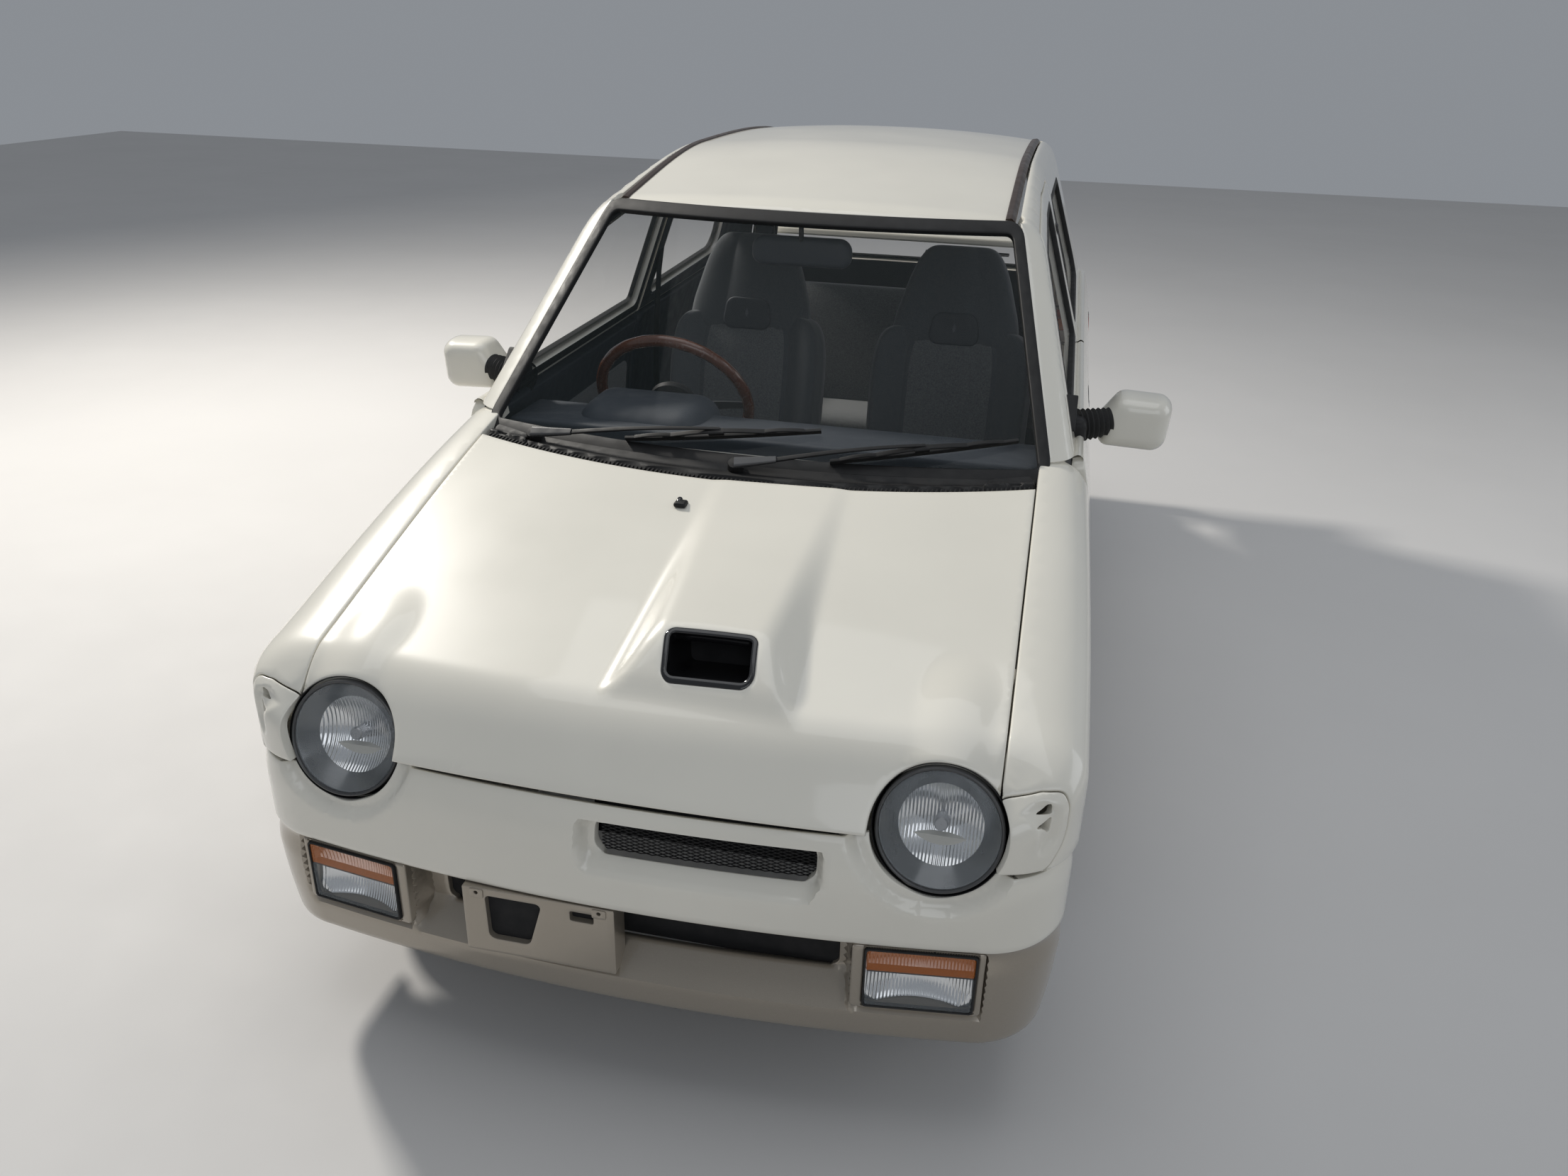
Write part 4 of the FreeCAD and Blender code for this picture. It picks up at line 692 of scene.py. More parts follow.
colours = {"cream": (0.76, 0.735, 0.655), "silver": (0.345, 0.305, 0.25), "glass": (0.035, 0.05, 0.052),
           "glassAlpha": 0.12}
paint = paintMaterial("cream_paint", colours["cream"], colours["silver"])
black = surfaceMaterial("black_plastic", (0.010, 0.010, 0.0105), 0.55, grain=900, relief=0.25, specular=0.35)
gloss = surfaceMaterial("black_gloss", (0.008, 0.008, 0.009), 0.12, grain=120, relief=0.02, coat=0.5)
rubber = surfaceMaterial("rubber", (0.014, 0.014, 0.014), 0.72, grain=700, relief=0.3)
# Near-black for the backs of openings, the lamp wells and the duct's far end: painted shade
shadeBlack = surfaceMaterial("painted_shade_black", (0.006, 0.006, 0.007), 0.8, grain=200, relief=0.2)
steel = surfaceMaterial("bare_steel", (0.45, 0.45, 0.46), 0.3, 1.0, grain=600, relief=0.1)
alloy = surfaceMaterial("wheel_alloy", (0.55, 0.555, 0.565), 0.34, 0.85, grain=1100, relief=0.1, coat=0.3)
chassis = surfaceMaterial("underseal", (0.022, 0.022, 0.024), 0.66, grain=160, relief=0.5, distance=0.001)
floorPaint = surfaceMaterial("inner_paint", (0.60, 0.585, 0.53), 0.42, grain=300, relief=0.1)
glass = glassMaterial("window_glass", colours["glass"], alpha=colours["glassAlpha"])
print("materials ready")

# Bonnet
rearRadius = (seamX**2 + 105.0**2) / 210.0
rearCentre = -781 - 105 + rearRadius
lampOut = np.array([0, -math.cos(lampLean), math.sin(lampLean)])
lampUp = np.array([0, math.sin(lampLean), math.cos(lampLean)])


# The edge at which isClear turns true, by halving the space between two places
def halving(near, distant, isClear, rounds=40):
    for _ in range(rounds):
        mid = (near + distant) / 2
        clear = isClear(mid)
        distant = np.where(clear, mid, distant)
        near = np.where(clear, near, mid)
    return near, distant


# Distance from the lamp's axis: the root of the length squared less the part along it squared
def lampGap(p):
    p = p - lampPlace
    return np.sqrt(np.maximum((p**2).sum(1) - (p @ lampOut)**2, 0))


# Where a bore about the lamp's axis meets a height field, as (x, y) points, found by halving
def lampEdge(radius, degrees, height):
    angles = np.radians(degrees)
    base = (lampPlace + radius * (np.cos(angles)[:, None] * np.array([1, 0, 0])
                                       + np.sin(angles)[:, None] * lampUp))
    near, distant = np.full(len(angles), -150.0), np.full(len(angles), 150.0)

    # Whether the bore's line is over the surface there
    def above(mid):
        p = base + mid[:, None] * lampOut
        return p[:, 2] > height(p[:, 0], p[:, 1])
    near = halving(near, distant, above, 50)[0]
    return (base + near[:, None] * lampOut)[:, :2]


# The bonnet's height over x and y
def bonnetSurface(x, y):
    return columns(x, y, bonnetZ(x, y))


# The nose's lower edge, bowed back by x squared
def lipY(x):
    return -1575 + x * x / 13000 / noseSin


seamAngle = math.degrees(math.acos((seamX - lampPlace[0]) / wellRadius))
lampArc = lampEdge(wellRadius, np.linspace(178, seamAngle, 60), bonnetZ)
halfRear = np.linspace(0, math.asin(seamX / rearRadius), 60)
rearArc = columns(rearRadius * np.sin(halfRear), rearCentre - rearRadius * np.cos(halfRear))
seamLine = columns(np.full(60, seamX), np.linspace(lampArc[-1, 1], -781, 60))
lipX = np.linspace(0, lampArc[0, 0] - 1, 60)
lipLine = columns(lipX, lipY(lipX))
rightHalf = np.vstack([lipLine, lampArc, seamLine[1:], rearArc[::-1][1:]])
bonnetLoop = evenLoop(np.vstack([rightHalf, (rightHalf * [-1, 1])[::-1][1:-1]]), 7)
bonnetLoop = inset(bonnetLoop, 0.9)
bonnetSet = {"mouth": [(17, -1364, 16), (168, -1360, 16), (179, -1438, 20), (31, -1442, 20)], "cell": 8.5,
             "roll": 3, "lip": 20}
mouth = roundLoop(bonnetSet["mouth"], 3)
bonnetPanel = patch(bonnetSurface, bonnetLoop, [mouth], bonnetSet["cell"], bonnetSet["roll"],
                    bonnetSet["lip"])
Build("bonnet_skin").add(bonnetPanel, paint).done("bonnet_lid", "body_paint", ["bonnet"])
print("bonnet ready")

# Wings: the side in plan and section, and a shoulder up to the bonnet's seam
# Distance along a line at each of its points: the running sum of its lengths
def lengthwise(curve):
    return np.r_[0, np.cumsum(np.linalg.norm(np.diff(curve, axis=0), axis=1))]


# A plan outline read by the distance along it, from the middle of the front to the middle of the back
class Plan:
    def __init__(self, curve):
        self.curve = curve
        self.s = lengthwise(curve)
        ahead = unit(np.gradient(curve, axis=0))
        self.out = columns(ahead[:, 1], -ahead[:, 0])

    # The place at a distance, moved back along its outward normal
    def at(self, s, back=0.0):
        x = np.interp(s, self.s, self.curve[:, 0])
        y = np.interp(s, self.s, self.curve[:, 1])
        nx = np.interp(s, self.s, self.out[:, 0])
        ny = np.interp(s, self.s, self.out[:, 1])
        length = np.hypot(nx, ny)
        return x - back * nx / length, y - back * ny / length

    # Distance at a place along the car, on its side
    def sOfY(self, y):
        return np.interp(y, self.curve[:, 1], self.s)

    # Distance at a width, on the front
    def sOfFrontX(self, x):
        part = self.curve[:, 1] < frontY + 150
        return np.interp(x, self.curve[part, 0], self.s[part])

    # Distance at a width, on the back
    def sOfRearX(self, x):
        part = self.curve[:, 1] > rearY - 160
        return np.interp(x, self.curve[part][::-1, 0], self.s[part][::-1])


body = Plan(bodyPlan)
seamEnd = body.sOfFrontX(seamX)
turnStart = body.sOfY(-1300)


# Where along the bonnet's seam a wing section ends: a parabola takes the corner round
def seamTarget(s):
    t = np.clip((turnStart - s) / (turnStart - seamEnd), 0, 1.3)
    corner = -1300 - (turnStart - seamEnd) * t + (turnStart - seamEnd - 202) * t * t
    return np.where(s > turnStart, body.at(s)[1], corner)


wingSet = {"shoulderRise": 150.0, "cell": 15, "dishDepth": 9}
shoulderRise = wingSet["shoulderRise"]


# The height at which the shoulder leaves the side: 66 under the seam, and under the nose
def shoulderFoot(s):
    x, y = body.at(s)
    yS = seamTarget(s)
    foot = np.polyval(seamFit, yS) - 66
    return lower(foot, noseZ(x, y) - 4, 36)


# The plan's place at a distance, moved in by what the half width lacks at the height
def sidePoint(s, z):
    x, y = body.at(s, halfWidth - flank(z))
    return columns(x, y, z)


# The side up to the foot, then a cubic curve over two guide points to the bonnet's seam
def wing(s, v):
    s = floats(s)
    v = floats(v)
    foot = shoulderFoot(s)
    yS = seamTarget(s)
    below = sidePoint(s, np.minimum(v, foot))
    p0 = sidePoint(s, foot)
    top = bonnetZ(np.full(len(s), seamX), yS)
    p3 = columns(np.full(len(s), seamX), yS, top)
    p1 = sidePoint(s, foot + (top - foot) * 0.60)
    reach = p3 + (p0 - p3) * [0.60, 0.60, 0]
    reachZ = lower(np.polyval(seamFit, reach[:, 1]) - (reach[:, 0] - seamX) * 0.06,
                   noseZ(reach[:, 0], reach[:, 1]), 40)
    p2 = columns(reach[:, :2], np.maximum(reachZ, foot + (top - foot) * 0.55))
    t = np.clip((v - foot) / shoulderRise, 0, 1)[:, None]
    curve = (1 - t)**3 * p0 + 3 * (1 - t)**2 * t * p1 + 3 * (1 - t) * t * t * p2 + t**3 * p3
    return np.where((v <= foot)[:, None], below, curve)


# The second parameter at the seam
def seamV(s):
    return shoulderFoot(s) + shoulderRise


# The wheel arch on the wing, a circle in y and z read at some angles
def archPoints(angles):
    return columns(body.sOfY(frontAxle + archRadius * np.cos(angles)), axleZ + archRadius * np.sin(angles))


wellV = 545 + (seamV(np.array([seamEnd]))[0] - 2 - 545) * np.linspace(0, 1, 60)
wellS = halving(np.full(60, seamEnd - 60), np.full(60, seamEnd + 160),
                lambda s: lampGap(wing(s, wellV)) > wellRadius)[1]
wellEdge = columns(wellS, wellV)
wellEdge[:, 0] = np.maximum(wellEdge[:, 0], seamEnd - 40)

jointZ = 546.0
archFront = body.sOfY(frontAxle - math.sqrt(archRadius**2 - (jointZ - axleZ)**2))
sideRear = body.sOfY(-647.5)
archStart = math.asin((jointZ - axleZ) / archRadius)
frontArch = archPoints(np.linspace(math.pi - archStart, archStart, 60))
rearPart = archPoints(np.linspace(archStart, 0, 40))
# The white piece beside each headlamp, let into the wing
corner = seamEnd
garnish = roundLoop([(corner - 40, 548, 0), (corner + 88, 548, 34), (corner + 121, 594, 70),
                     (corner + 121, 692, 24), (corner + 100, 713, 10), (corner - 40, 746, 0)], 5)
outerGap = inset(garnish, -3.0)
outside = outerGap[:, 0] > np.interp(outerGap[:, 1], wellEdge[:, 1], wellEdge[:, 0]) + 2
gapLine = outerGap[outside & (outerGap[:, 1] > 545.5)]
gapLine = gapLine[np.argsort(-gapLine[:, 1])]
order = np.argsort(np.arctan2(gapLine[:, 1] - 640, gapLine[:, 0] - corner - 20))[::-1]
gapLine = gapLine[order]
gapLine = gapLine[(gapLine[:, 0] > corner + 8)]
sLine = np.linspace(sideRear, corner + 8, 120)
topLine = columns(sLine, seamV(sLine) - 1.5)
topLine = topLine[topLine[:, 1] > 746.5]
wingLoop = np.vstack([
    [[gapLine[-1, 0], jointZ]], [[archFront, jointZ]], frontArch[1:], rearPart[1:],
    [[body.sOfY(frontAxle + archRadius), 186.0]], [[sideRear, 186.0]], topLine, gapLine])
wingLoop = evenLoop(wingLoop, 8)
keep = garnish[:, 0] > np.interp(garnish[:, 1], wellEdge[:, 1], wellEdge[:, 0]) + 2
keepLine = garnish[keep & (garnish[:, 1] > 548.5)]
order = np.argsort(np.arctan2(keepLine[:, 1] - 640, keepLine[:, 0] - corner - 20))
wellLine = wellEdge[(wellEdge[:, 1] > 549) & (wellEdge[:, 1] < 728)]
garnishLoop = evenLoop(np.vstack([keepLine[order], wellLine[::-1]]), 5)
dish = roundLoop([(corner + 40, 688, 6), (corner + 92, 700, 14), (corner + 110, 660, 40),
                  (corner + 104, 600, 20), (corner + 66, 562, 12), (corner + 62, 620, 30)], 4)
garnishVents = [[(corner + 70, 674, 2), (corner + 97, 684, 4), (corner + 95, 652, 3)],
                [(corner + 64, 636, 2), (corner + 93, 646, 4), (corner + 91, 608, 3)]]


# The corner piece: the wing, less a shallow dish round its two vents
def garnishSurface(s, v):
    place = wing(s, v)
    points = columns(s, v)
    depth = ramp(clearance(points, [evenLoop(dish, 2)]), 0, 12) * inside(points, dish)
    depth = wingSet["dishDepth"] * depth * ramp(s, corner + 36, corner + 100)
    return place - surfaceNormal(wing, s, v) * depth[:, None]


bothSides("wing_skin_", [
    (patch(wing, wingLoop, step=wingSet["cell"], roll=3, lip=18), paint),
    (patch(garnishSurface, garnishLoop, [roundLoop(vent, 3) for vent in garnishVents], step=5, roll=2,
           lip=14), paint)],
          "root", "body_paint", ["wing_{}"])
print("wings ready")


# Glasshouse surfaces
# Smooth heights through points, without overshoot: cubics whose slopes are the means of their neighbours'
def pchip(xs, ys):
    xs, ys = floats(xs), floats(ys)
    h, slope = np.diff(xs), np.diff(ys) / np.diff(xs)
    m = np.r_[slope[0], np.where(slope[:-1] * slope[1:] > 0, (slope[:-1] + slope[1:]) / 2, 0), slope[-1]]

    # The cubic of the span that x lies in
    def read(x):
        i = np.clip(np.searchsorted(xs, x) - 1, 0, len(h) - 1)
        t = np.clip((x - xs[i]) / h[i], -0.5, 1.5)
        return ((2 * t**3 - 3 * t**2 + 1) * ys[i] + (t**3 - 2 * t**2 + t) * h[i] * m[i]
                + (-2 * t**3 + 3 * t**2) * ys[i + 1] + (t**3 - t**2) * h[i] * m[i + 1])
    return read


crownAt = pchip([-900, -227, 430, 1221, 1700], [1198, 1306, 1378, 1356, 1294])
houseSet = {"screenDegrees": 38.1, "tailDegrees": 71, "tumbleDegrees": 17.9, "roofEdge": 457.0,
            "frontReach": 46.0, "rearReach": 84.0}
screenTan = math.tan(math.radians(houseSet["screenDegrees"]))
screenSin = math.sin(math.radians(houseSet["screenDegrees"]))
tailTan = math.tan(math.radians(houseSet["tailDegrees"]))
tumbleHome = math.tan(math.radians(houseSet["tumbleDegrees"]))
roofEdge = houseSet["roofEdge"]
frontReach = houseSet["frontReach"]
rearReach = houseSet["rearReach"]


# The windscreen: a plane at screenDegrees, bowed back by x squared
def screenY(x, z):
    return -790 + (z - 885) / screenTan + x * x / 6200 / screenSin


# The same, solved for the height
def screenZ(x, y):
    return 885 + (y + 790 - x * x / 6200 / screenSin) * screenTan


# The tail: upright, then leaning from 640 up, then steeper along the window, less a bow by x squared
def tailY(x, z):
    low = lower(np.full(np.shape(z), rearY - 45.0), rearY - 45 - (z - 640) * 0.249, 26)
    base = lower(low, 1482 - (z - 900) / tailTan, 8)
    bow = 3.93e-5 + (1.469e-4 - 3.93e-5) * ramp(z, 760, 1000)
    return base - x * x * bow


# Half width at the side windows, straight and leaning in
def sideGlass(z):
    return 652 - tumbleHome * (z - 860)


# Half width of the glasshouse's side, curving in to the roof's edge by a quarter ellipse
def houseX(y, z):
    crown = crownAt(y)
    railZ = crown - 88
    rail = sideGlass(railZ)
    t = np.clip((z - railZ) / 64, 0, 1)
    curve = 1 - np.sqrt(np.maximum(1 - t * t * 0.97, 0))
    over = rail + (roofEdge - rail) * curve - tumbleHome * 64 * t * (1 - t)
    return np.where(z < railZ, sideGlass(z), over)


# The windscreen pillar's line, straight
def pillarY(z):
    return -673 + (z - 890) * 1.169


# Half width of the windscreen's edge, straight
def screenEdge(z):
    return 600 + (474 - 600) * (z - 872) / 412.0


# Half width of the tailgate's edge, straight
def tailEdge(z):
    return 556 + (462 - 556) * (z - 890) / 428.0 + 3


# The glasshouse round its side, from the windscreen's edge to the tailgate's edge: the side itself, with a
# quadratic curve over one guide point round each corner
def house(u, z):
    u = floats(u)
    z = floats(z)
    front = pillarY(z)
    x = houseX(u, z)
    result = columns(x, u, z)
    # Front corner
    a0 = columns(houseX(front + frontReach, z), front + frontReach, z)
    a1 = columns(houseX(front + 8, z) - 1, front + 6, z)
    xe = screenEdge(z)
    a2 = columns(xe, screenY(xe, z), z)
    t = np.clip((front + frontReach - u) / 100, 0, 1)[:, None]
    corner = (1 - t)**2 * a0 + 2 * (1 - t) * t * a1 + t * t * a2
    result = np.where((u < front + frontReach)[:, None], corner, result)
    # Rear corner
    xs = houseX(np.full(len(z), 1400.0), z)
    back = tailY(xs, z)
    b0 = columns(xs, back - rearReach, z)
    b1 = columns(xs - 2, back + 2, z)
    te = tailEdge(z)
    b2 = columns(te, tailY(te, z), z)
    t = np.clip((u - back + rearReach) / 150, 0, 1)[:, None]
    corner = (1 - t)**2 * b0 + 2 * (1 - t) * t * b1 + t * t * b2
    return np.where((u > back - rearReach)[:, None], corner, result)


# The first parameter at the windscreen's edge
def frontU(z):
    return pillarY(z) + frontReach - 100


# The first parameter at the tailgate's edge
def rearU(z):
    xs = houseX(np.full(len(z), 1400.0), z)
    return tailY(xs, z) - rearReach + 150


# The roof's edge: 24 under the crown
def edgeZ(u):
    return crownAt(np.clip(u, -215, 1330)) - 24


beltJoint = 899.0


# The side below the belt, its rear corner leaning forward with the tail
def tailSide(s, v):
    p = sidePoint(s, v)
    shift = (rearY - 45) - tailY(np.zeros(len(v)), v)
    turnBy = ramp(p[:, 1], rearY - 330, rearY - 150)
    p[:, 1] = p[:, 1] - shift * turnBy
    return p


# Outlines of the side, and the door's gaps
# A place behind the pillar's line
def pillarPoint(z, back):
    return pillarY(z) + back


doorSet = {"outline": [(-640, 236, 45), (-640, 884, 25), (pillarPoint(1256, 52), 1256, 50), (115, 1301, 400),
                       (376, 1308, 35), (338, beltZ, 500), (330, 236, 45)],
           "window": [(pillarPoint(930, 112), 930, 16), (pillarPoint(1214, 112), 1214, 28), (115, 1256, 400),
                      (330, 1262, 24), (292, 930, 24)],
           "handle": rect(143, 764, 291, 808, 12), "paddle": rect(149, 782, 284, 802, 5)}
sideWindow = [(408, 936, 30), (446, 1256, 30), (1030, 1244, 55), (1128, 948, 55)]
doorLoop = roundLoop(doorSet["outline"], 7)


# The part of an outline above (sign 1) or below (sign -1) a level, cut in proportion where it crosses
def clipAt(loop, level, sign, step=7):
    result = []
    count = len(loop)
    for i in range(count):
        a, b = loop[i], loop[(i + 1) % count]
        if (a[1] - level) * sign >= 0:
            result.append(a)
        if (a[1] - level) * (b[1] - level) < 0:
            t = (level - a[1]) / (b[1] - a[1])
            result.append(a + (b - a) * t)
    return evenLoop(np.array(result), step)


# An outline in (y, z) as one in (distance along the plan, z)
def toPlan(loop):
    return columns(body.sOfY(loop[:, 0]), loop[:, 1])


# The outline moved outwards
def grownLoop(loop, by):
    return inset(anticlockwise(loop), -by)


doorGrown = grownLoop(doorLoop, 5)
# Upper side: pillars, roof rail and the frame round the quarter window
zs = np.linspace(beltJoint, 1284, 50)
frontLine = columns(frontU(zs), zs)
zr = np.linspace(1300, beltJoint, 50)
rearLine = columns(rearU(zr), zr)
uTop = np.linspace(frontLine[-1, 0] + 8, rearLine[0, 0] - 6, 120)
topEdge = columns(uTop, edgeZ(uTop))
upperLoop = evenLoop(np.vstack([frontLine, topEdge, rearLine]), 8)
quarterLoop = roundLoop(sideWindow, 6)


# A notch's part over a level, from its first crossing over the top to its last
def notched(loop, notch, level):
    over = clipAt(notch, level, 1)
    start = int(np.argmin(np.where(np.abs(over[:, 1] - level) < 0.6, over[:, 0], 1e9)))
    ring = np.roll(over, -start, axis=0)
    if ring[1][1] < level + 1:
        ring = np.roll(over[::-1], -(len(over) - 1 - start), axis=0)
    ring = ring[(ring[:, 1] > level + 0.6) | (np.arange(len(ring)) == 0)]
    endX = over[np.abs(over[:, 1] - level) < 0.6][:, 0].max()
    ring = np.vstack([ring, [[endX, level]]])
    return ring


notch = notched(upperLoop, doorGrown, beltJoint)
upperLoop = evenLoop(np.vstack([frontLine, topEdge, rearLine, notch[::-1]]), 8)

# Lower side: sill, pillar foot and rear quarter
rearArchY = np.array([[rearAxle + archRadius * math.cos(a), axleZ + archRadius * math.sin(a)]
                      for a in np.linspace(math.pi - 0.29, 0.02, 70)])
quarterFoot = 503.0
rearTop = math.sqrt(archRadius**2 - (quarterFoot - axleZ)**2)
archPart = rearArchY[(rearArchY[:, 0] < rearAxle) | (rearArchY[:, 1] > quarterFoot)]
sTail = body.sOfRearX(548)
lowerSide = np.vstack([
    [[body.sOfY(-641), 178]],
    [[body.sOfY(rearAxle - archRadius - 2), 178]],
    toPlan(archPart),
    [[body.sOfY(rearAxle + rearTop), quarterFoot]],
    [[sTail, quarterFoot]],
    [[sTail, beltJoint]],
    [[body.sOfY(350), beltJoint]]])
lowDoor = toPlan(doorGrown)
rear = lowDoor[:, 0] > body.sOfY(200)
lowerSide = np.vstack([lowerSide[:-1],
                       [[np.interp(beltJoint,
                                   *zip(*sorted((p[1], p[0]) for p in lowDoor[rear] if 700 < p[1] < 1000))),
                                   beltJoint]],
                       [p for p in sorted(lowDoor[rear].tolist(),
                                          key=lambda p: -p[1]) if 300 < p[1] < beltJoint]])
bottom = lowDoor[lowDoor[:, 1] <= 300]
bottom = bottom[np.argsort(-bottom[:, 0])]
front = bottom[bottom[:, 0] > body.sOfY(-600)]
lowerSide = np.vstack([lowerSide, front, [[body.sOfY(-641), 231]]])
lowerSide = evenLoop(lowerSide, 8)
lampHole = np.array([[body.sOfRearX(552), 610], [body.sOfRearX(552), 750], [body.sOfY(1395), 750],
                     [body.sOfY(1378), 610]])
lampHole = roundLoop([(p[0], p[1], 14) for p in lampHole], 5)


# The soft shoulder between the side and the glasshouse: a straight mix of both edges, lifted by a sine
def beltStrip(s0, s1, u0, u1):
    t = np.linspace(0, 1, 150)
    sMid = body.sOfY(1340)
    share = np.clip((s0 + (s1 - s0) * t - sMid) / max(s1 - sMid, 1), 0, 1)
    ss = s0 + (s1 - s0) * t
    uu = np.where(ss < sMid, body.at(ss)[1], 1340 + (u1 - 1340) * share) if s1 > sMid else body.at(ss)[1]
    p0 = tailSide(ss, np.full(150, beltJoint))
    p3 = house(uu, np.full(150, beltJoint))
    rows = []
    for k in np.linspace(0, 1, 9):
        lift = [0, 0, 5.5 * math.sin(math.pi * k) * (1 - 0.2 * k)]
        rows.append(p0 + (p3 - p0) * k + lift)
    # Both ends go on a little under the panels' faces
    rows.insert(0, tailSide(ss, np.full(150, 893.0)) - (p0 - p3) * 0.02)
    rows.append(house(uu, np.full(150, 905.0)) - (p0 - p3) * 0.02)
    return gridShape(np.array(rows), flip=True)


bothSides("side_skin_", [
    (patch(tailSide, lowerSide, [lampHole], step=15, roll=3, lip=20, joint=beltJoint), paint),
    (patch(house, upperLoop, [quarterLoop], step=13, roll=3, lip=24, joint=beltJoint), paint),
    (beltStrip(body.sOfY(350), sTail, 350, rearU(np.array([beltJoint]))[0]), paint)],
          "root", "body_paint", ["body_side_{}"])
print("sides ready")

# Doors
lowDoorLoop = toPlan(clipAt(doorLoop, beltJoint, -1))
highDoorLoop = clipAt(doorLoop, beltJoint, 1)
doorWindow = roundLoop(doorSet["window"], 6)
handleLoop = toPlan(roundLoop(doorSet["handle"], 5))
lockLoop = ringAt(9, 24, 304, 742)
bothSides("door_skin_", [
    (patch(tailSide, lowDoorLoop, [handleLoop], step=15, roll=3, lip=22, joint=beltJoint), paint),
    (patch(house, highDoorLoop, [doorWindow], step=11, roll=3, lip=24, joint=beltJoint), paint),
    (beltStrip(body.sOfY(-636), body.sOfY(334), -636, 334), paint),
    (patch(tailSide, inset(handleLoop, -2), step=8, roll=0.5, lip=2, sink=15), black),
    (patch(tailSide, toPlan(roundLoop(doorSet["paddle"], 4)), step=8, roll=4, lip=8, sink=-0.5), black),
    (patch(tailSide, toPlan(lockLoop), step=6, roll=1.5, lip=3, sink=-1.5), steel)],
          "{}_door", "body_paint", ["door_{}"])
print("doors ready")


# Roof
# The crown less 24 times x over the roof's edge to the power 2.2, under the windscreen's and tail's planes
def roofZ(x, y):
    z = crownAt(y) - 24 * (np.abs(x) / roofEdge)**2.2
    z = lower(z, screenZ(x, y) + 1, 34)
    return lower(z, tailTop(x, y), 30)


# The tail's plane, solved for the height
def tailTop(x, y):
    return 900 + (1482 - x * x / 6808 - y) * tailTan


# The roof's height over x and y
def roof(x, y):
    return columns(x, y, roofZ(x, y))


xs = np.linspace(-gutterX - 12, gutterX + 12, 60)
frontEdge = columns(xs, screenY(xs, np.full(60, 1290.0)) + 2)
rearEdge = columns(xs, 1482 - (1322 - 900) / tailTan - xs * xs / 6808 - 1)
roofLoop = evenLoop(np.vstack([frontEdge, rearEdge[::-1]]), 9)
roofPanel = patch(roof, roofLoop, step=13, roll=2, lip=18)
Build("roof_skin").add(roofPanel, paint).done("root", "body_paint", ["roof_panel"])


# Tailgate
# The tail's y over x and z
def tail(x, z):
    return columns(x, tailY(x, z), z)


tailgateSet = {"outline": [(-538, 522, 30), (538, 522, 30), (556, 890, 500), (462, 1318, 50),
                           (-462, 1318, 50), (-556, 890, 500)],
               "window": [(-478, 884, 45), (478, 884, 45), (404, 1276, 45), (-404, 1276, 45)]}
tailLoop = roundLoop(tailgateSet["outline"], 8)
tailWindow = roundLoop(tailgateSet["window"], 7)
tailPanel = patch(tail, tailLoop, [tailWindow], step=14, roll=3, lip=20, outward=-1)
Build("tailgate_skin").add(tailPanel, paint).done("tailgate_lid", "body_paint", ["tailgate"])
print("roof and tailgate ready")

# Front bumper
bumperPlan = Plan(planCurve(0, 5, rearY))


# How far the bumper's face stands back from its plan outline: the sum of its curves, steps and scoops
def bumperBack(x, z):
    ax = np.abs(x)
    back = 17 * np.clip((twoToneZ - z) / 209, 0, 1)**2
    back = back + 24 * (1 - np.sqrt(1 - np.clip((214 - z) / 20, 0, 0.98)**2))
    back = back + 28 * np.clip((z - 496) / 94, 0, 1)**1.9
    back = back + 5.0 * ramp(-z, -twoToneZ + 1, -twoToneZ + 4) * ramp(z, 352, 398)
    back = back + 4.5 * np.exp(-((z - twoToneZ) / 2.8)**2)
    # Scoop under the headlamp
    away = lampGap(columns(ax, frontY + back + 44 * (ax / 565)**2, z))
    back = back + 17 * (1 - ramp(away, 120, 137)) * (z > twoToneZ + 8)
    # Scoop below the slot
    t = np.clip((z - 472) / 36, 0, 1)
    sides = ramp(x, -54 - 12 * t, -45 - 7 * t) * ramp(-x, -306 - 22 * t, -297 - 18 * t)
    back = back + 27 * np.clip((z - 470) / 27, 0, 1)**0.9 * sides * (1 - ramp(z, 547, 563))
    # Channel along the silver part, with a rib beside each lamp
    floor = 58 * np.clip((z - 260) / 44, 0, 1)
    ends = 1 - ramp(ax, 574, 584)
    rib = 1 - 0.8 * ramp(ax, 366, 376) * (1 - ramp(ax, 378, 388))
    return back + floor * ends * rib * (z < 400)


# Distance round the bumper at an x, below zero on the right side
def frontS(x):
    return np.sign(x) * bumperPlan.sOfFrontX(np.abs(x))


# The whole bumper, with s below zero on the right side: its plan moved back by bumperBack
def bumperBoth(s, v):
    s = floats(s)
    x0 = bumperPlan.at(np.abs(s))[0]
    x, y = bumperPlan.at(np.abs(s), bumperBack(np.sign(s) * x0, v))
    return columns(np.sign(s + 1e-9) * x, y, v)


topZ = 585.5
innerEdge = []
for sign, start in ((-1, frontS(lampPlace[0]) - 1), (1, frontS(lampPlace[0]) + 1)):
    zs = np.linspace(506, topZ if sign < 0 else 541, 40)
    edgeS = halving(np.full(len(zs), start), np.full(len(zs), start + sign * 130),
                    lambda s: lampGap(bumperBoth(s, zs)) > wellRadius)[1]
    innerEdge.append(columns(edgeS, zs))
inner, outer = innerEdge
lowLamp = columns(np.linspace(inner[0, 0], outer[0, 0], 24)[1:-1],
                           506 - 13.5 * np.sin(np.linspace(0, math.pi, 24))[1:-1])
bumperArch = bumperPlan.sOfY(frontAxle - math.sqrt(archRadius**2 - (541 - axleZ)**2) + 2)
archSteps = np.linspace(math.acos(math.sqrt(archRadius**2 - (541 - axleZ)**2) / archRadius), 0, 24)
bumperArchLine = columns(bumperPlan.sOfY(frontAxle - archRadius * np.cos(archSteps) + 2),
                         axleZ + archRadius * np.sin(archSteps))
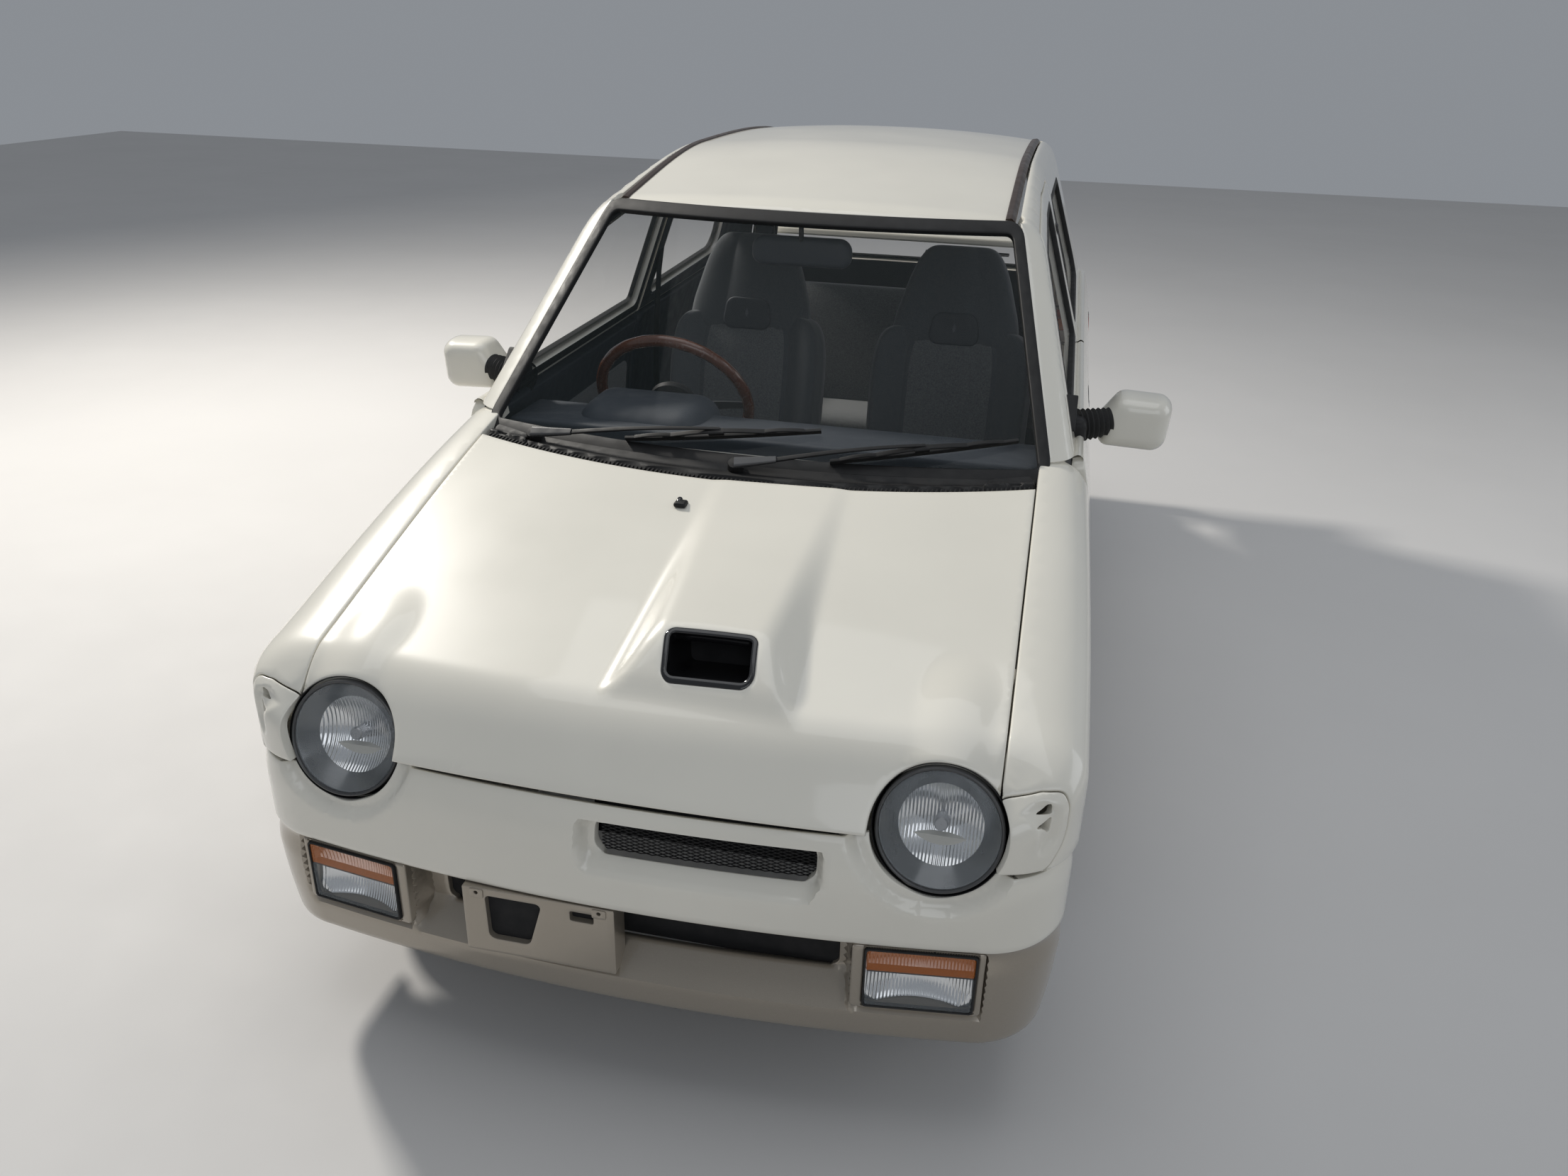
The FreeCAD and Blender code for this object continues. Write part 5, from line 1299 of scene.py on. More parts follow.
halfTop = np.vstack([[[0.0, topZ]], inner[::-1], lowLamp, outer, [[bumperArch, 541]], bumperArchLine,
                     [[bumperPlan.sOfY(frontAxle - archRadius + 2), 197]]])
bumperLoop = evenLoop(np.vstack([halfTop, (halfTop * [-1, 1])[::-1][:-1]]), 7)


# An outline in (x, z) as one in (distance round the bumper, z)
def frontLoop(corners, step=5):
    return roundLoop([(frontS(x), z, r) for x, z, r in corners], step)


bumperSet = {"slot": rect(-40, 495, 314, 559, 22, 24), "intake": rect(-334, 304, 355, 394, 14, 8),
             "plate": rect(-263, 271, -3, 401, 3), "cell": 7.5, "bolts": (-238, -28)}
lampHoles = [frontLoop(rect(sign * 394, 282, sign * 570, 396, 7)) for sign in (-1, 1)]
bumper = Build("front_bumper_skin")
openings = [frontLoop(bumperSet["slot"]), frontLoop(bumperSet["intake"])] + lampHoles
bumper.add(patch(bumperBoth, bumperLoop, openings, step=bumperSet["cell"], roll=2.2, lip=15), paint)
print("bumper skin")


# A flat plate with rounded edges from an outline in its own plane
def flatPlate(corners, place, right, up, out, thickness, holes=(), roll=1.2, step=12):
    place, right, up, out = (floats(v) for v in (place, right, up, out))

    # The place plus u to the right and v up
    def face(u, v):
        return place + u[:, None] * right + v[:, None] * up
    sign = 1 if np.cross(right, up) @ out > 0 else -1
    loops = [corners if len(corners[0]) == 2 else roundLoop(corners, 4)]
    cuts = [hole if len(hole[0]) == 2 else roundLoop(hole, 4) for hole in holes]
    return patch(face, loops[0], cuts, step=step, roll=roll, lip=thickness, outward=sign)


# A plate across the front at a y, facing forwards
def frontPlate(corners, y, thickness, holes=(), roll=1.2):
    return flatPlate(corners, unitY * y, unitX, unitZ, -unitY, thickness, holes, roll)


# Plate bracket: a box face with a leaning hole, a small slot and two bolt holes
plateHoles = [[(-222, 300, 12), (-151, 300, 14), (-126, 387, 8), (-224, 387, 8)], rect(-78, 367, -38, 386, 3)]
bolts = [ringAt(3.4, 16, x, 392) for x in bumperSet["bolts"]]
bumper.add(frontPlate(bumperSet["plate"], frontY + 2.5, 44, plateHoles + bolts), paint)
for x, bolt in zip(bumperSet["bolts"], bolts):
    pad = roundLoop(rect(x - 12, 382, x + 12, 399, 3), 3)
    bumper.add(frontPlate(pad, frontY + 0.6, 3, [bolt], roll=0.8), paint)
bumper.done("root", "bumper_paint", ["front_bumper"])

# Dark backs behind the openings, painted shade for the shadow in them, and the slot's wire mesh
backs = Build("grille_mesh")
backs.add(frontPlate(rect(-396, 290, 396, 402, 4), -1512, 2), shadeBlack)
backs.add(frontPlate(rect(-60, 488, 336, 566, 4), -1512, 2), shadeBlack)
backs.add(frontPlate(rect(-257, 277, -9, 396, 4), frontY + 14, 2), shadeBlack)
meshSet = {"rows": 11, "rise": 6.4, "swing": 3.2, "points": 39, "back": 42.0,
           "wire": boxProfile(1.6, 1.2, 0.3, 1.0)}
wireX = np.linspace(-32, 311, meshSet["points"])
wireY = frontY + meshSet["back"] + 44 * (wireX / 565)**2
for row in range(meshSet["rows"]):
    for swing in (-meshSet["swing"], meshSet["swing"]):
        zigzag = np.where(np.arange(meshSet["points"]) % 2, swing, 0)
        wireZ = np.clip(494 + meshSet["rise"] * row + zigzag, 492, 561)
        backs.add(sweep(columns(wireX, wireY, wireZ), meshSet["wire"], up=(0, 1, 0)), black)
backs.done("root", "black_trim", ["grille"])
print("grille ready")

# Lamps
lens = ribbedMaterial("lamp_lens", (0.55, 0.60, 0.63), 0.04, 70.0, 0.55, 0.0012, alpha=0.17, coat=0.5)
chrome = ribbedMaterial("lamp_reflector", (0.86, 0.87, 0.88), 0.12, 58.0, 0.5, 0.0016, metal=1.0)
bezel = surfaceMaterial("lamp_bezel", (0.075, 0.076, 0.078), 0.34, 0.3, grain=500, relief=0.1)
# Dark metal for the reflector's outer zone: painted shade round the bright chrome middle
reflectorShade = surfaceMaterial("lamp_reflector_shade", (0.13, 0.135, 0.14), 0.22, 0.9, grain=300, relief=0.1)


# The lamp's glass: a sphere of radius 260, less the steps of its optic zones
def zoned(u, v):
    r = np.hypot(u, v)
    dome = np.sqrt(np.maximum(260.0**2 - r * r, 1)) - math.sqrt(260.0**2 - 89.0**2)
    middle = (1 - ramp(np.abs(u), 26, 29)) * ramp(v, -58, -55) * (1 - ramp(v, 40, 43))
    wedge = (1 - ramp(np.abs(u) + 0.55 * (v + 30), 60, 63)) * ramp(v, -34, -31) * (1 - ramp(v, 50, 53))
    rim = ramp(r, 70, 73)
    steps = 1.5 * middle + 1.3 * wedge * (1 - middle) + 1.1 * rim
    return lampPlace + u[:, None] * unitX + v[:, None] * lampUp + (dome - steps)[:, None] * lampOut


disc = ringAt(lampSet["glassRadius"], 120)
headlampParts = [
    (patch(zoned, disc, step=2.6, roll=0.6, lip=5), lens),
    # The lamp well's wall in near-black: painted shade for the gap round the bezel
    (turned([(-46, 103.2), (-4, 103.2), (-4, 101.8), (-40, 101.8), (-42, 60)], lampPlace, lampOut), shadeBlack),
    (turned([(-30, 98), (-4, 98), (0.5, 97), (1.5, 95), (0.4, 92.8), (-3.5, 91.3), (-10, 91)], lampPlace,
            lampOut), bezel),
    # Outer zone of the reflector, darkened as painted shade; the chrome starts further in
    (turned([(-5, 91.4), (-9, 87), (-24, 72), (-31, 65)], lampPlace, lampOut), reflectorShade),
    (turned([(-31, 65), (-40, 56), (-52, 38), (-60, 18), (-62, 1)], lampPlace, lampOut), chrome),
    (turned([(-62, 1), (-62, 11), (-34, 11), (-32, 9), (-32, 0.5)], lampPlace, lampOut, 40), steel)]
headlamps = Build("headlamp_parts")
headlamps.addBoth(headlampParts)
headlamps.done("root", "lamp_glass", ["headlamps"])

amber = ribbedMaterial("amber_lens", (0.62, 0.17, 0.02), 0.08, 88.0, 0.6, 0.001, alpha=0.58, coat=0.6)
frontLampMid = np.array([482.0, -1563.0, 339.0])
tilt = math.radians(7.5)
lampRight = np.array([math.cos(tilt), math.sin(tilt), 0])
lampFacing = np.array([math.sin(tilt), -math.cos(tilt), 0])
lampParts = {"clear": rect(-84, -55, 84, 14, 5, 3), "amber": rect(-84, 15, 84, 55, 3, 5),
             "frame": rect(-87, -58, 87, 58, 6), "opening": rect(-84, -55, 84, 55, 5),
             "pocket": rect(-107, -64, 99, 62, 8, 6),
             "divider": rect(-82, 13, 82, 17, 1)}
frontLamps = Build("front_lamp_parts")


# A plate of a front lamp, a distance out from its face
def lampPlate(corners, out, thickness, holes=(), roll=1.2):
    place = frontLampMid + lampFacing * out
    return flatPlate(corners, place, lampRight, unitZ, lampFacing, thickness, holes, roll)


# The reflector of a front lamp: a bowl whose depth falls with u squared and v squared
def bowl(u, v):
    depth = 34 * (1 - np.clip((u / 96)**2 + (v / 74)**2, 0, 1))
    return frontLampMid + u[:, None] * lampRight + v[:, None] * unitZ - lampFacing * (12 + depth)[:, None]


frontParts = [
    (lampPlate(lampParts["clear"], 0, 5, roll=2), lens),
    (lampPlate(lampParts["amber"], -0.5, 5, roll=2), amber),
    (lampPlate(lampParts["frame"], 1.5, 9, [lampParts["opening"]], roll=1.2), rubber),
    (lampPlate(lampParts["pocket"], -3, 46, [lampParts["frame"]], roll=4), paint),
    (patch(bowl, roundLoop(lampParts["opening"], 5), step=6, roll=0.5, lip=1, outward=1), chrome),
    (lampPlate(lampParts["divider"], -1, 14, roll=0.5), bezel)]
frontLamps.addBoth(frontParts)
frontLamps.done("root", "fog_glass", ["front_lamps"])
print("lamps ready")


# Windows
# The windscreen's y over x and z
def screen(x, z):
    return columns(x, screenY(x, z), z)


# The glasshouse moved in along its normal
def inwardHouse(depth):
    # Each place less its normal times the depth
    def surface(u, z):
        return house(u, z) - surfaceNormal(house, u, z, 1.5) * depth
    return surface


screenSet = {"outline": [(-604, 866, 30), (604, 866, 30), (476, 1288, 42), (-476, 1288, 42)],
             "rubberWidth": 23, "paneSink": 5}
screenLoop = roundLoop(screenSet["outline"], 8)
screenPane = patch(screen, inset(screenLoop, 3), step=40, roll=1, lip=5, sink=screenSet["paneSink"])
Build("windscreen_pane").add(screenPane, glass).done("root", "glass", ["windscreen"])
surround = patch(screen, screenLoop, [inset(screenLoop, screenSet["rubberWidth"])], step=9, roll=3, lip=9,
                 sink=-1.5)
Build("windscreen_rubber").add(surround, black).done("root", "black_trim")

rearPane = patch(tail, inset(tailWindow, -2), step=40, roll=1, lip=4, outward=-1, sink=7)
Build("rear_pane").add(rearPane, glass).done("tailgate_lid", "glass", ["rear_glass"])
rearSeal = patch(tail, inset(tailWindow, -4), [inset(tailWindow, 12)], step=9, roll=2.4, lip=9, outward=-1,
                 sink=-1)
Build("rear_seal").add(rearSeal, rubber).done("tailgate_lid", "rubber_black")
for label, loop, side, paneNode in (("door", doorWindow, "{}_door", "door_glass_{}"),
                                    ("quarter", quarterLoop, "root", "quarter_glass")):
    ring = anticlockwise(loop)
    pane = patch(inwardHouse(8), inset(ring, -3), step=40, roll=1, lip=4)
    bothSides(label + "_pane_", [(pane, glass)], side, "glass", [paneNode])
    sealStrip = patch(house, inset(ring, -6), [inset(ring, 11)], step=9, roll=2.5, lip=11, sink=-0.6)
    bothSides(label + "_seal_", [(sealStrip, rubber)], side, "rubber_black")
print("windows ready")

# Roof drip mouldings
drip = surfaceMaterial("drip_moulding", (0.035, 0.022, 0.017), 0.36, grain=500, relief=0.1)
ys = np.linspace(-205, 1322, 90)
path = columns(np.full(len(ys), 447.0), ys, roofZ(np.full(len(ys), 447.0), ys) + 1.5)
moulding = sweep(path, roundLoop([(-11, -8, 1), (13, -12, 2), (13, -4, 4), (4, 4.5, 4), (-9, 3, 3)], 2))
bothSides("drip_moulding_", [(moulding, drip)], "root", "black_trim")

# Cowl, with the comb along the bonnet's edge
# The bonnet's rear edge, an arc
def bonnetEdge(x):
    return rearCentre - np.sqrt(rearRadius**2 - x * x)


# From 7 under the bonnet's line to the windscreen's foot, with a trough 15 deep in front
def cowl(x, y):
    front = bonnetEdge(x)
    back = screenY(x, 870)
    t = np.clip((y - front) / (back - front), 0, 1)
    base = np.polyval(seamFit, y) + np.polyval(crownFit, y) * (1 - (x / seamX)**2) - 7
    base = base * (1 - ramp(t, 0.5, 1)) + (screenZ(x, y) + 5) * ramp(t, 0.5, 1)
    return columns(x, y, base - 15 * (1 - ramp(t, 0.32, 0.46)) - 3 * np.sin(math.pi * t))


xs = np.linspace(-568, 568, 110)
cowlLoop = np.vstack([columns(xs, bonnetEdge(xs) + 3.5), columns(xs, screenY(xs, np.full(110, 871.0)))[::-1]])
cowlParts = Build("cowl_panel")
cowlParts.add(patch(cowl, evenLoop(cowlLoop, 10), step=9, roll=1.5, lip=14), black)
combSet = {"pitch": 8.6, "halfTooth": 1.7, "length": 20}
teeth = []
for x in np.arange(-560, 561, combSet["pitch"]):
    y = bonnetEdge(x)
    height = np.polyval(seamFit, y) + np.polyval(crownFit, y) * (1 - (x / seamX)**2) - 4
    half = combSet["halfTooth"]
    teeth.append(block((x - half, y + 5, height - 18), (x + half, y + 5 + combSet["length"], height - 0.5)))
cowlParts.add(joined(*teeth), black)
for sign in (-1, 1):
    foot = roundLoop([(sign * 470, -800, 6), (sign * 566, -772, 8), (sign * 566, -722, 8),
                      (sign * 480, -752, 6)][::sign], 4)
    hole = roundLoop([(sign * 520, -774, 5), (sign * 545, -766, 5), (sign * 545, -748, 5),
                      (sign * 520, -756, 5)], 3)
    cowlParts.add(patch(lambda x, y: cowl(x, y) + [0, 0, 6], foot, [hole], step=8, roll=3, lip=9), black)
cowlParts.done("root", "black_trim", ["cowl"])


# Wipers, standing off the glass
# A place on the windscreen, moved out along the normal
def onScreen(x, z, off):
    x, z = floats(x), floats(z)
    return screen(x, z) + surfaceNormal(screen, x, z) * floats(off)[..., None]


wiperSet = {"lines": ((-462, 870, 140, 933), (-14, 868, 525, 930)), "bladeStart": 0.34, "bladeMiddle": 0.66}
wipers = Build("wiper_arms")
for x0, z0, x1, z1 in wiperSet["lines"]:
    # A place at a share of the wiper's line
    def onLine(share, off, drop=0.0):
        share = floats(share)
        return onScreen(x0 + (x1 - x0) * share, z0 + (z1 - z0) * share - drop, np.full(len(share), 1.0) * off)
    pivot = onLine([0.0], 8)[0]
    out = surfaceNormal(screen, np.array([x0 * 1.0]), np.array([z0 * 1.0]))[0]
    wipers.add(turned([(-16, 16), (2, 16), (6, 14.5), (12, 14), (15, 12), (16, 0.5)], pivot, out, 28), black)
    t = np.linspace(0, 0.15, 8)
    wipers.add(sweep(onLine(t, 21 + 20 * t), boxProfile(21, 11, 4), up=out, scale=1.15 - 3.2 * t), bezel)
    t = np.linspace(0.13, 0.67, 24)
    wipers.add(sweep(onLine(t, 22 + 14 * np.sin((t - 0.13) * 5)), boxProfile(10.5, 5, 1.8), up=out,
                     scale=1 - 0.35 * (t - 0.13) / 0.54), black)
    mid = wiperSet["bladeMiddle"]
    t = np.linspace(wiperSet["bladeStart"], 1.0, 40)
    wipers.add(sweep(onLine(t, 6, 3), boxProfile(4.2, 10, 1), up=out), rubber)
    wipers.add(sweep(onLine(t, 12, 3), boxProfile(7, 2.2, 1), up=out), black)
    t = np.linspace(mid - 0.19, mid + 0.19, 21)
    wipers.add(sweep(onLine(t, 14 + 13 * np.cos((t - mid) / 0.19 * math.pi / 2), 3),
                     boxProfile(11, 3.4, 1.4), up=out), black)
    for centre in (mid - 0.2, mid + 0.2):
        t = np.linspace(centre - 0.085, centre + 0.085, 13)
        wipers.add(sweep(onLine(t, 13 + 7 * np.cos((t - centre) / 0.085 * math.pi / 2), 3),
                         boxProfile(9, 2.6, 1.2), up=out), black)
    wipers.add(sweep(onLine([mid - 0.025, mid + 0.025], 24, 3), boxProfile(15, 9, 3), up=out), black)
wipers.done("root", "black_trim", ["wipers"])

# Washer nozzle and the duct's mouth
nozzle = Build("washer_nozzle")
top = bonnetZ(np.array([-76.0]), np.array([-983.0]))[0]
nozzle.add(roundedBox((-88, -994, top - 2), (-64, -970, top + 9), 5, 3), black)
nozzle.add(turned([(-6, 5.5), (3, 5.5), (5.5, 3.5), (6, 0.4)], (-80, -976, top + 8), (0.15, 0.8, 0.5), 20),
           gloss)
nozzle.done("bonnet_lid", "black_trim")
mouthIn = inset(anticlockwise(mouth), 1)
duct = Build("duct_mouth")
duct.add(patch(bonnetSurface, inset(mouthIn, -2.5), [inset(mouthIn, 7.5)], step=5, roll=3, lip=18,
               sink=-1.4), gloss)
rim = inset(mouthIn, 6)
rimTop = bonnetSurface(rim[:, 0], rim[:, 1])
centre = rimTop.mean(0)
rows = []
for depth in np.linspace(0, 1, 8):
    back = centre + [0, 105 * depth, -34 * depth]
    rows.append(back + (rimTop - centre) * [1 - 0.1 * depth, 0.9 - 0.4 * depth, 1 - 0.1 * depth] + [0, 0, -4])
duct.add(gridShape(np.array(rows), wrapCols=True, flip=False), gloss)
# The duct's far end closed by a near-black face: painted shade deep in the mouth
duct.add((rows[-1], [list(range(len(rim)))]), shadeBlack)
duct.done("bonnet_lid", "black_trim")
print("cowl and wipers ready")

# Door mirrors
mirrorGlass = surfaceMaterial("mirror_glass", (0.75, 0.79, 0.82), 0.05, 1.0, vary=0.01, relief=0.0,
                              spread=0.01)
doorMirrorSet = {"face": [(688, 862, 16), (830, 857, 32), (838, 972, 30), (724, 977, 30), (688, 926, 24)],
                 "y": -373.5, "depth": 80}
face = roundLoop(doorMirrorSet["face"], 6)
faceMid = np.array([764.0, 916.0])
headRows = []
for depth, share in [(9, 0.93), (3, 0.935), (0.6, 0.955), (0, 0.975)]:
    headRows.append(columns(faceMid + (face - faceMid) * share,
                            np.full(len(face), doorMirrorSet["y"] - depth)))
for angle in np.linspace(0.06, math.pi / 2, 16):
    share = max(math.cos(angle), 0.0)**0.4
    ring = faceMid + [-4 * (1 - share), -3 * (1 - share)] + (face - faceMid) * share
    y = doorMirrorSet["y"] - doorMirrorSet["depth"] * math.sin(angle)**0.62
    headRows.append(columns(ring, np.full(len(face), y)))
headRows = np.array(headRows)[:, :, [0, 2, 1]]
head = gridShape(headRows, wrapCols=True, flip=signedArea(face) > 0)
glassRing = faceMid + (face - faceMid) * 0.94
glassPlate = columns(glassRing[:, 0], np.full(len(face), -380.0), glassRing[:, 1])
stalkAxis = unit(np.array([104.5, 32.0, 13.0]))
ribs = [(-14, 38), (4, 38), (9, 35)]
for k in range(7):
    ribs += [(16 + 11 * k, 30 - 0.5 * k), (21.5 + 11 * k, 35.5 - 0.8 * k)]
ribs += [(96, 20), (106, 19)]
glassFace = [list(range(len(face)))[::-1 if signedArea(face) > 0 else 1]]
bothSides("door_mirror_", [
    (head, paint),
    ((glassPlate, glassFace), mirrorGlass),
    (turned(ribs, (625.5, -449.5, 905), stalkAxis, 40), rubber),
    (roundedBox((612, -505, 880), (662, -402, 934), 16, 4, 3), black),
    (bar(roundLoop([(-560, 924, 5), (-452, 924, 5), (-462, 968, 8), (-486, 986, 8)], 4), 596, 636, 0, 3),
     black)],
          "{}_door", "body_paint")
print("mirrors ready")

# Tailgate spoiler, latch button and rear wiper
spoiler = Build("tailgate_spoiler")
spoilerSet = {"blade": [(1470, 948, 4), (1560, 962, 9), (1560, 984, 8), (1474, 976, 12)], "halfSpan": 530}
blade = roundLoop(spoilerSet["blade"], 4)
spoiler.add(bar(blade, -spoilerSet["halfSpan"], spoilerSet["halfSpan"], 0, 7), paint)
for sign in (-1, 1):
    post = roundLoop([(1452, 884, 6), (1520, 884, 10), (1548, 958, 10), (1470, 958, 10)], 5)
    ends = sorted((sign * 488, sign * 528))
    spoiler.add(bar(post, ends[0], ends[1], 0, 8), paint)
spoiler.done("tailgate_lid", "body_paint")


# A place on the tail, moved out along the normal
def onTail(x, z, off):
    x, z = floats(x), floats(z)
    return tail(x, z) - surfaceNormal(tail, x, z) * floats(off)[..., None]


rearWiper = Build("rear_wiper")
pivot = onTail([70.0], [862.0], [0.0])[0]
out = -surfaceNormal(tail, np.array([70.0]), np.array([862.0]))[0]
rearWiper.add(turned([(-3, 22), (6, 22), (13, 18), (24, 15), (26, 0.5)], pivot, out, 32), black)
t = np.linspace(0, 1, 24)
rearWiper.add(sweep(onTail(70 + 170 * t, 862 + 56 * t, 24 - 4 * t), boxProfile(11, 6, 2), up=out,
                    scale=1.3 - 0.6 * t), black)
t = np.linspace(0, 1, 30)
rearWiper.add(sweep(onTail(90 + 300 * t, 914 + 8 * t, 3 + 0 * t), boxProfile(4, 9, 1), up=out), rubber)
rearWiper.add(sweep(onTail(90 + 300 * t, 914 + 8 * t, 10 + 6 * np.sin(math.pi * t)), boxProfile(9, 3, 1.2),
                    up=out), black)
rearWiper.done("tailgate_lid", "black_trim")
latch = Build("tailgate_latch")
latch.add(turned([(-4, 19), (2, 19), (5, 16), (3, 13), (3.5, 0.5)], onTail([0.0], [690.0], [0.0])[0],
                 (0, 1, 0.1), 32), black)
latch.done("tailgate_lid", "black_trim")

# Rear bumper
bumperEnd = bumperPlan.s[-1]


# How far the rear bumper's face stands back: curved under at both edges, with a step and a bead
def rearBack(z):
    back = 15 * np.clip((twoToneZ - z) / 150, 0, 1)**2
    back = back + 18 * (1 - np.sqrt(1 - np.clip((268 - z) / 18, 0, 0.98)**2))
    back = back + 26 * np.clip((z - 462) / 38, 0, 1)**2
    back = back + 3.0 * np.exp(-((z - twoToneZ) / 3.2)**2)
    return back + 3 * ramp(-z, -twoToneZ + 1, -twoToneZ + 4) * ramp(z, 352, 398)


# The rear bumper, with r the distance round from the middle of the back
def rearBumper(r, v):
    r = floats(r)
    x, y = bumperPlan.at(bumperEnd - np.abs(r), rearBack(v) + 2)
    return columns(np.sign(r + 1e-9) * x, y, v)


archEnd = bumperEnd - bumperPlan.sOfY(rearAxle + 297)
rearLoop = evenLoop(np.array([(-archEnd, 262.0), (archEnd, 262.0), (archEnd - 8, 499.0),
                              (-archEnd + 8, 499.0)]), 8)
rearSkin = Build("rear_bumper_skin")
rearSkin.add(patch(rearBumper, rearLoop, step=10, roll=2.5, lip=26, outward=-1), paint)
ring = [bumperPlan.at(bumperEnd - r, 27.5) for r in np.linspace(0, archEnd - 10, 60)]
outerEdge = np.array([(x, y) for x, y in ring])
innerEdge = columns(outerEdge[:, 0] * 0.955, outerEdge[:, 1] - 58)
shelf = evenLoop(np.vstack([outerEdge[::-1], outerEdge[1:] * [-1, 1], (innerEdge * [-1, 1])[::-1],
                            innerEdge[1:]]), 10)
rearSkin.add(patch(lambda x, y: columns(x, y, np.full(len(x), 497.0)), shelf, step=16, roll=1, lip=4), paint)
rearSkin.done("root", "bumper_paint", ["rear_bumper"])

# Rear lamps: three zones under one gasket
red = ribbedMaterial("red_lens", (0.42, 0.012, 0.010), 0.10, 75.0, 0.5, 0.001, coat=0.7, across="Z")
whiteLens = surfaceMaterial("clear_lens", (0.72, 0.74, 0.74), 0.12, grain=180, relief=0.4, coat=0.6)
tailAmber = surfaceMaterial("tail_amber", (0.66, 0.16, 0.015), 0.12, grain=180, relief=0.4, coat=0.6)
lampRing = anticlockwise(lampHole)
tailLamps = Build("rear_lamp_lenses")
for low, high, stuff in ((600, 657.5, whiteLens), (658.5, 703.5, tailAmber), (704.5, 760, red)):
    zone = clipAt(clipAt(inset(lampRing, 5.0), low, 1, 5), high, -1, 5)
    tailLamps.addBoth([(patch(tailSide, zone, step=12, roll=2.2, lip=6, sink=-2.0), stuff)])
gasket = patch(tailSide, inset(lampRing, -4), [inset(lampRing, 5)], step=6, roll=2, lip=14, sink=-0.8)
tailLamps.addBoth([(gasket, rubber)])
tailLamps.done("root", "tail_lens", ["rear_lamps"])
print("rear ready")

# Cabin materials
# Woven cloth: a fine weave over a mottled colour
def clothMaterial(name, colour, second, scale=1.0):
    made, tree, shader = material(name)
    vector = coords(tree)
    mottle = noise(tree, vector, 420 * scale, 3, 0.7)
    colourOut = stops(tree, mottle, 0.32, 0.68, (toned(colour, 1), toned(second, 1)))
    tree.links.new(colourOut, shader.inputs["Base Color"])
    setInputs(shader, {"Roughness": 0.92, "Sheen Weight": 0.35, "Specular IOR Level": 0.25})
    weave = node(tree, "ShaderNodeTexVoronoi", Scale=900.0 * scale)
    tree.links.new(vector, weave.inputs["Vector"])
    broad = bump(tree, shader, noise(tree, vector, 26, 3), 0.25, 0.004)
    bump(tree, shader, weave.outputs["Distance"], 0.35, 0.0008, broad)
    return made


clothSide = clothMaterial("seat_cloth_side", (0.056, 0.063, 0.072), (0.120, 0.131, 0.143))
clothMid = clothMaterial("seat_cloth_middle", (0.090, 0.099, 0.107), (0.195, 0.205, 0.21), 0.8)
carpet = clothMaterial("carpet", (0.016, 0.018, 0.022), (0.036, 0.040, 0.046), 0.6)
trim = surfaceMaterial("cabin_plastic", (0.030, 0.036, 0.046), 0.55, grain=800, relief=0.35, vary=0.06)
trimTop = surfaceMaterial("dash_top", (0.034, 0.042, 0.054), 0.62, grain=520, relief=0.5, vary=0.05)
lining = clothMaterial("roof_lining", (0.26, 0.26, 0.25), (0.34, 0.34, 0.33), 0.9)
cast = surfaceMaterial("cast_iron", (0.09, 0.088, 0.085), 0.62, 0.7, vary=0.2, grain=260, relief=0.5,
                       distance=0.001)
castAlloy = surfaceMaterial("cast_alloy", (0.36, 0.36, 0.355), 0.5, 0.85, vary=0.14, grain=320, relief=0.45,
                            distance=0.001)
pipeSteel = surfaceMaterial("exhaust_steel", (0.27, 0.24, 0.21), 0.48, 0.9, vary=0.25, grain=240, relief=0.25)
tankPaint = surfaceMaterial("tank_paint", (0.030, 0.030, 0.032), 0.45, 0.2, grain=240, relief=0.3)
wood = surfaceMaterial("rim_wood", (0.100, 0.032, 0.014), 0.24, vary=0.16, grain=160, relief=0.02,
                       patchScale=12, coat=0.7)


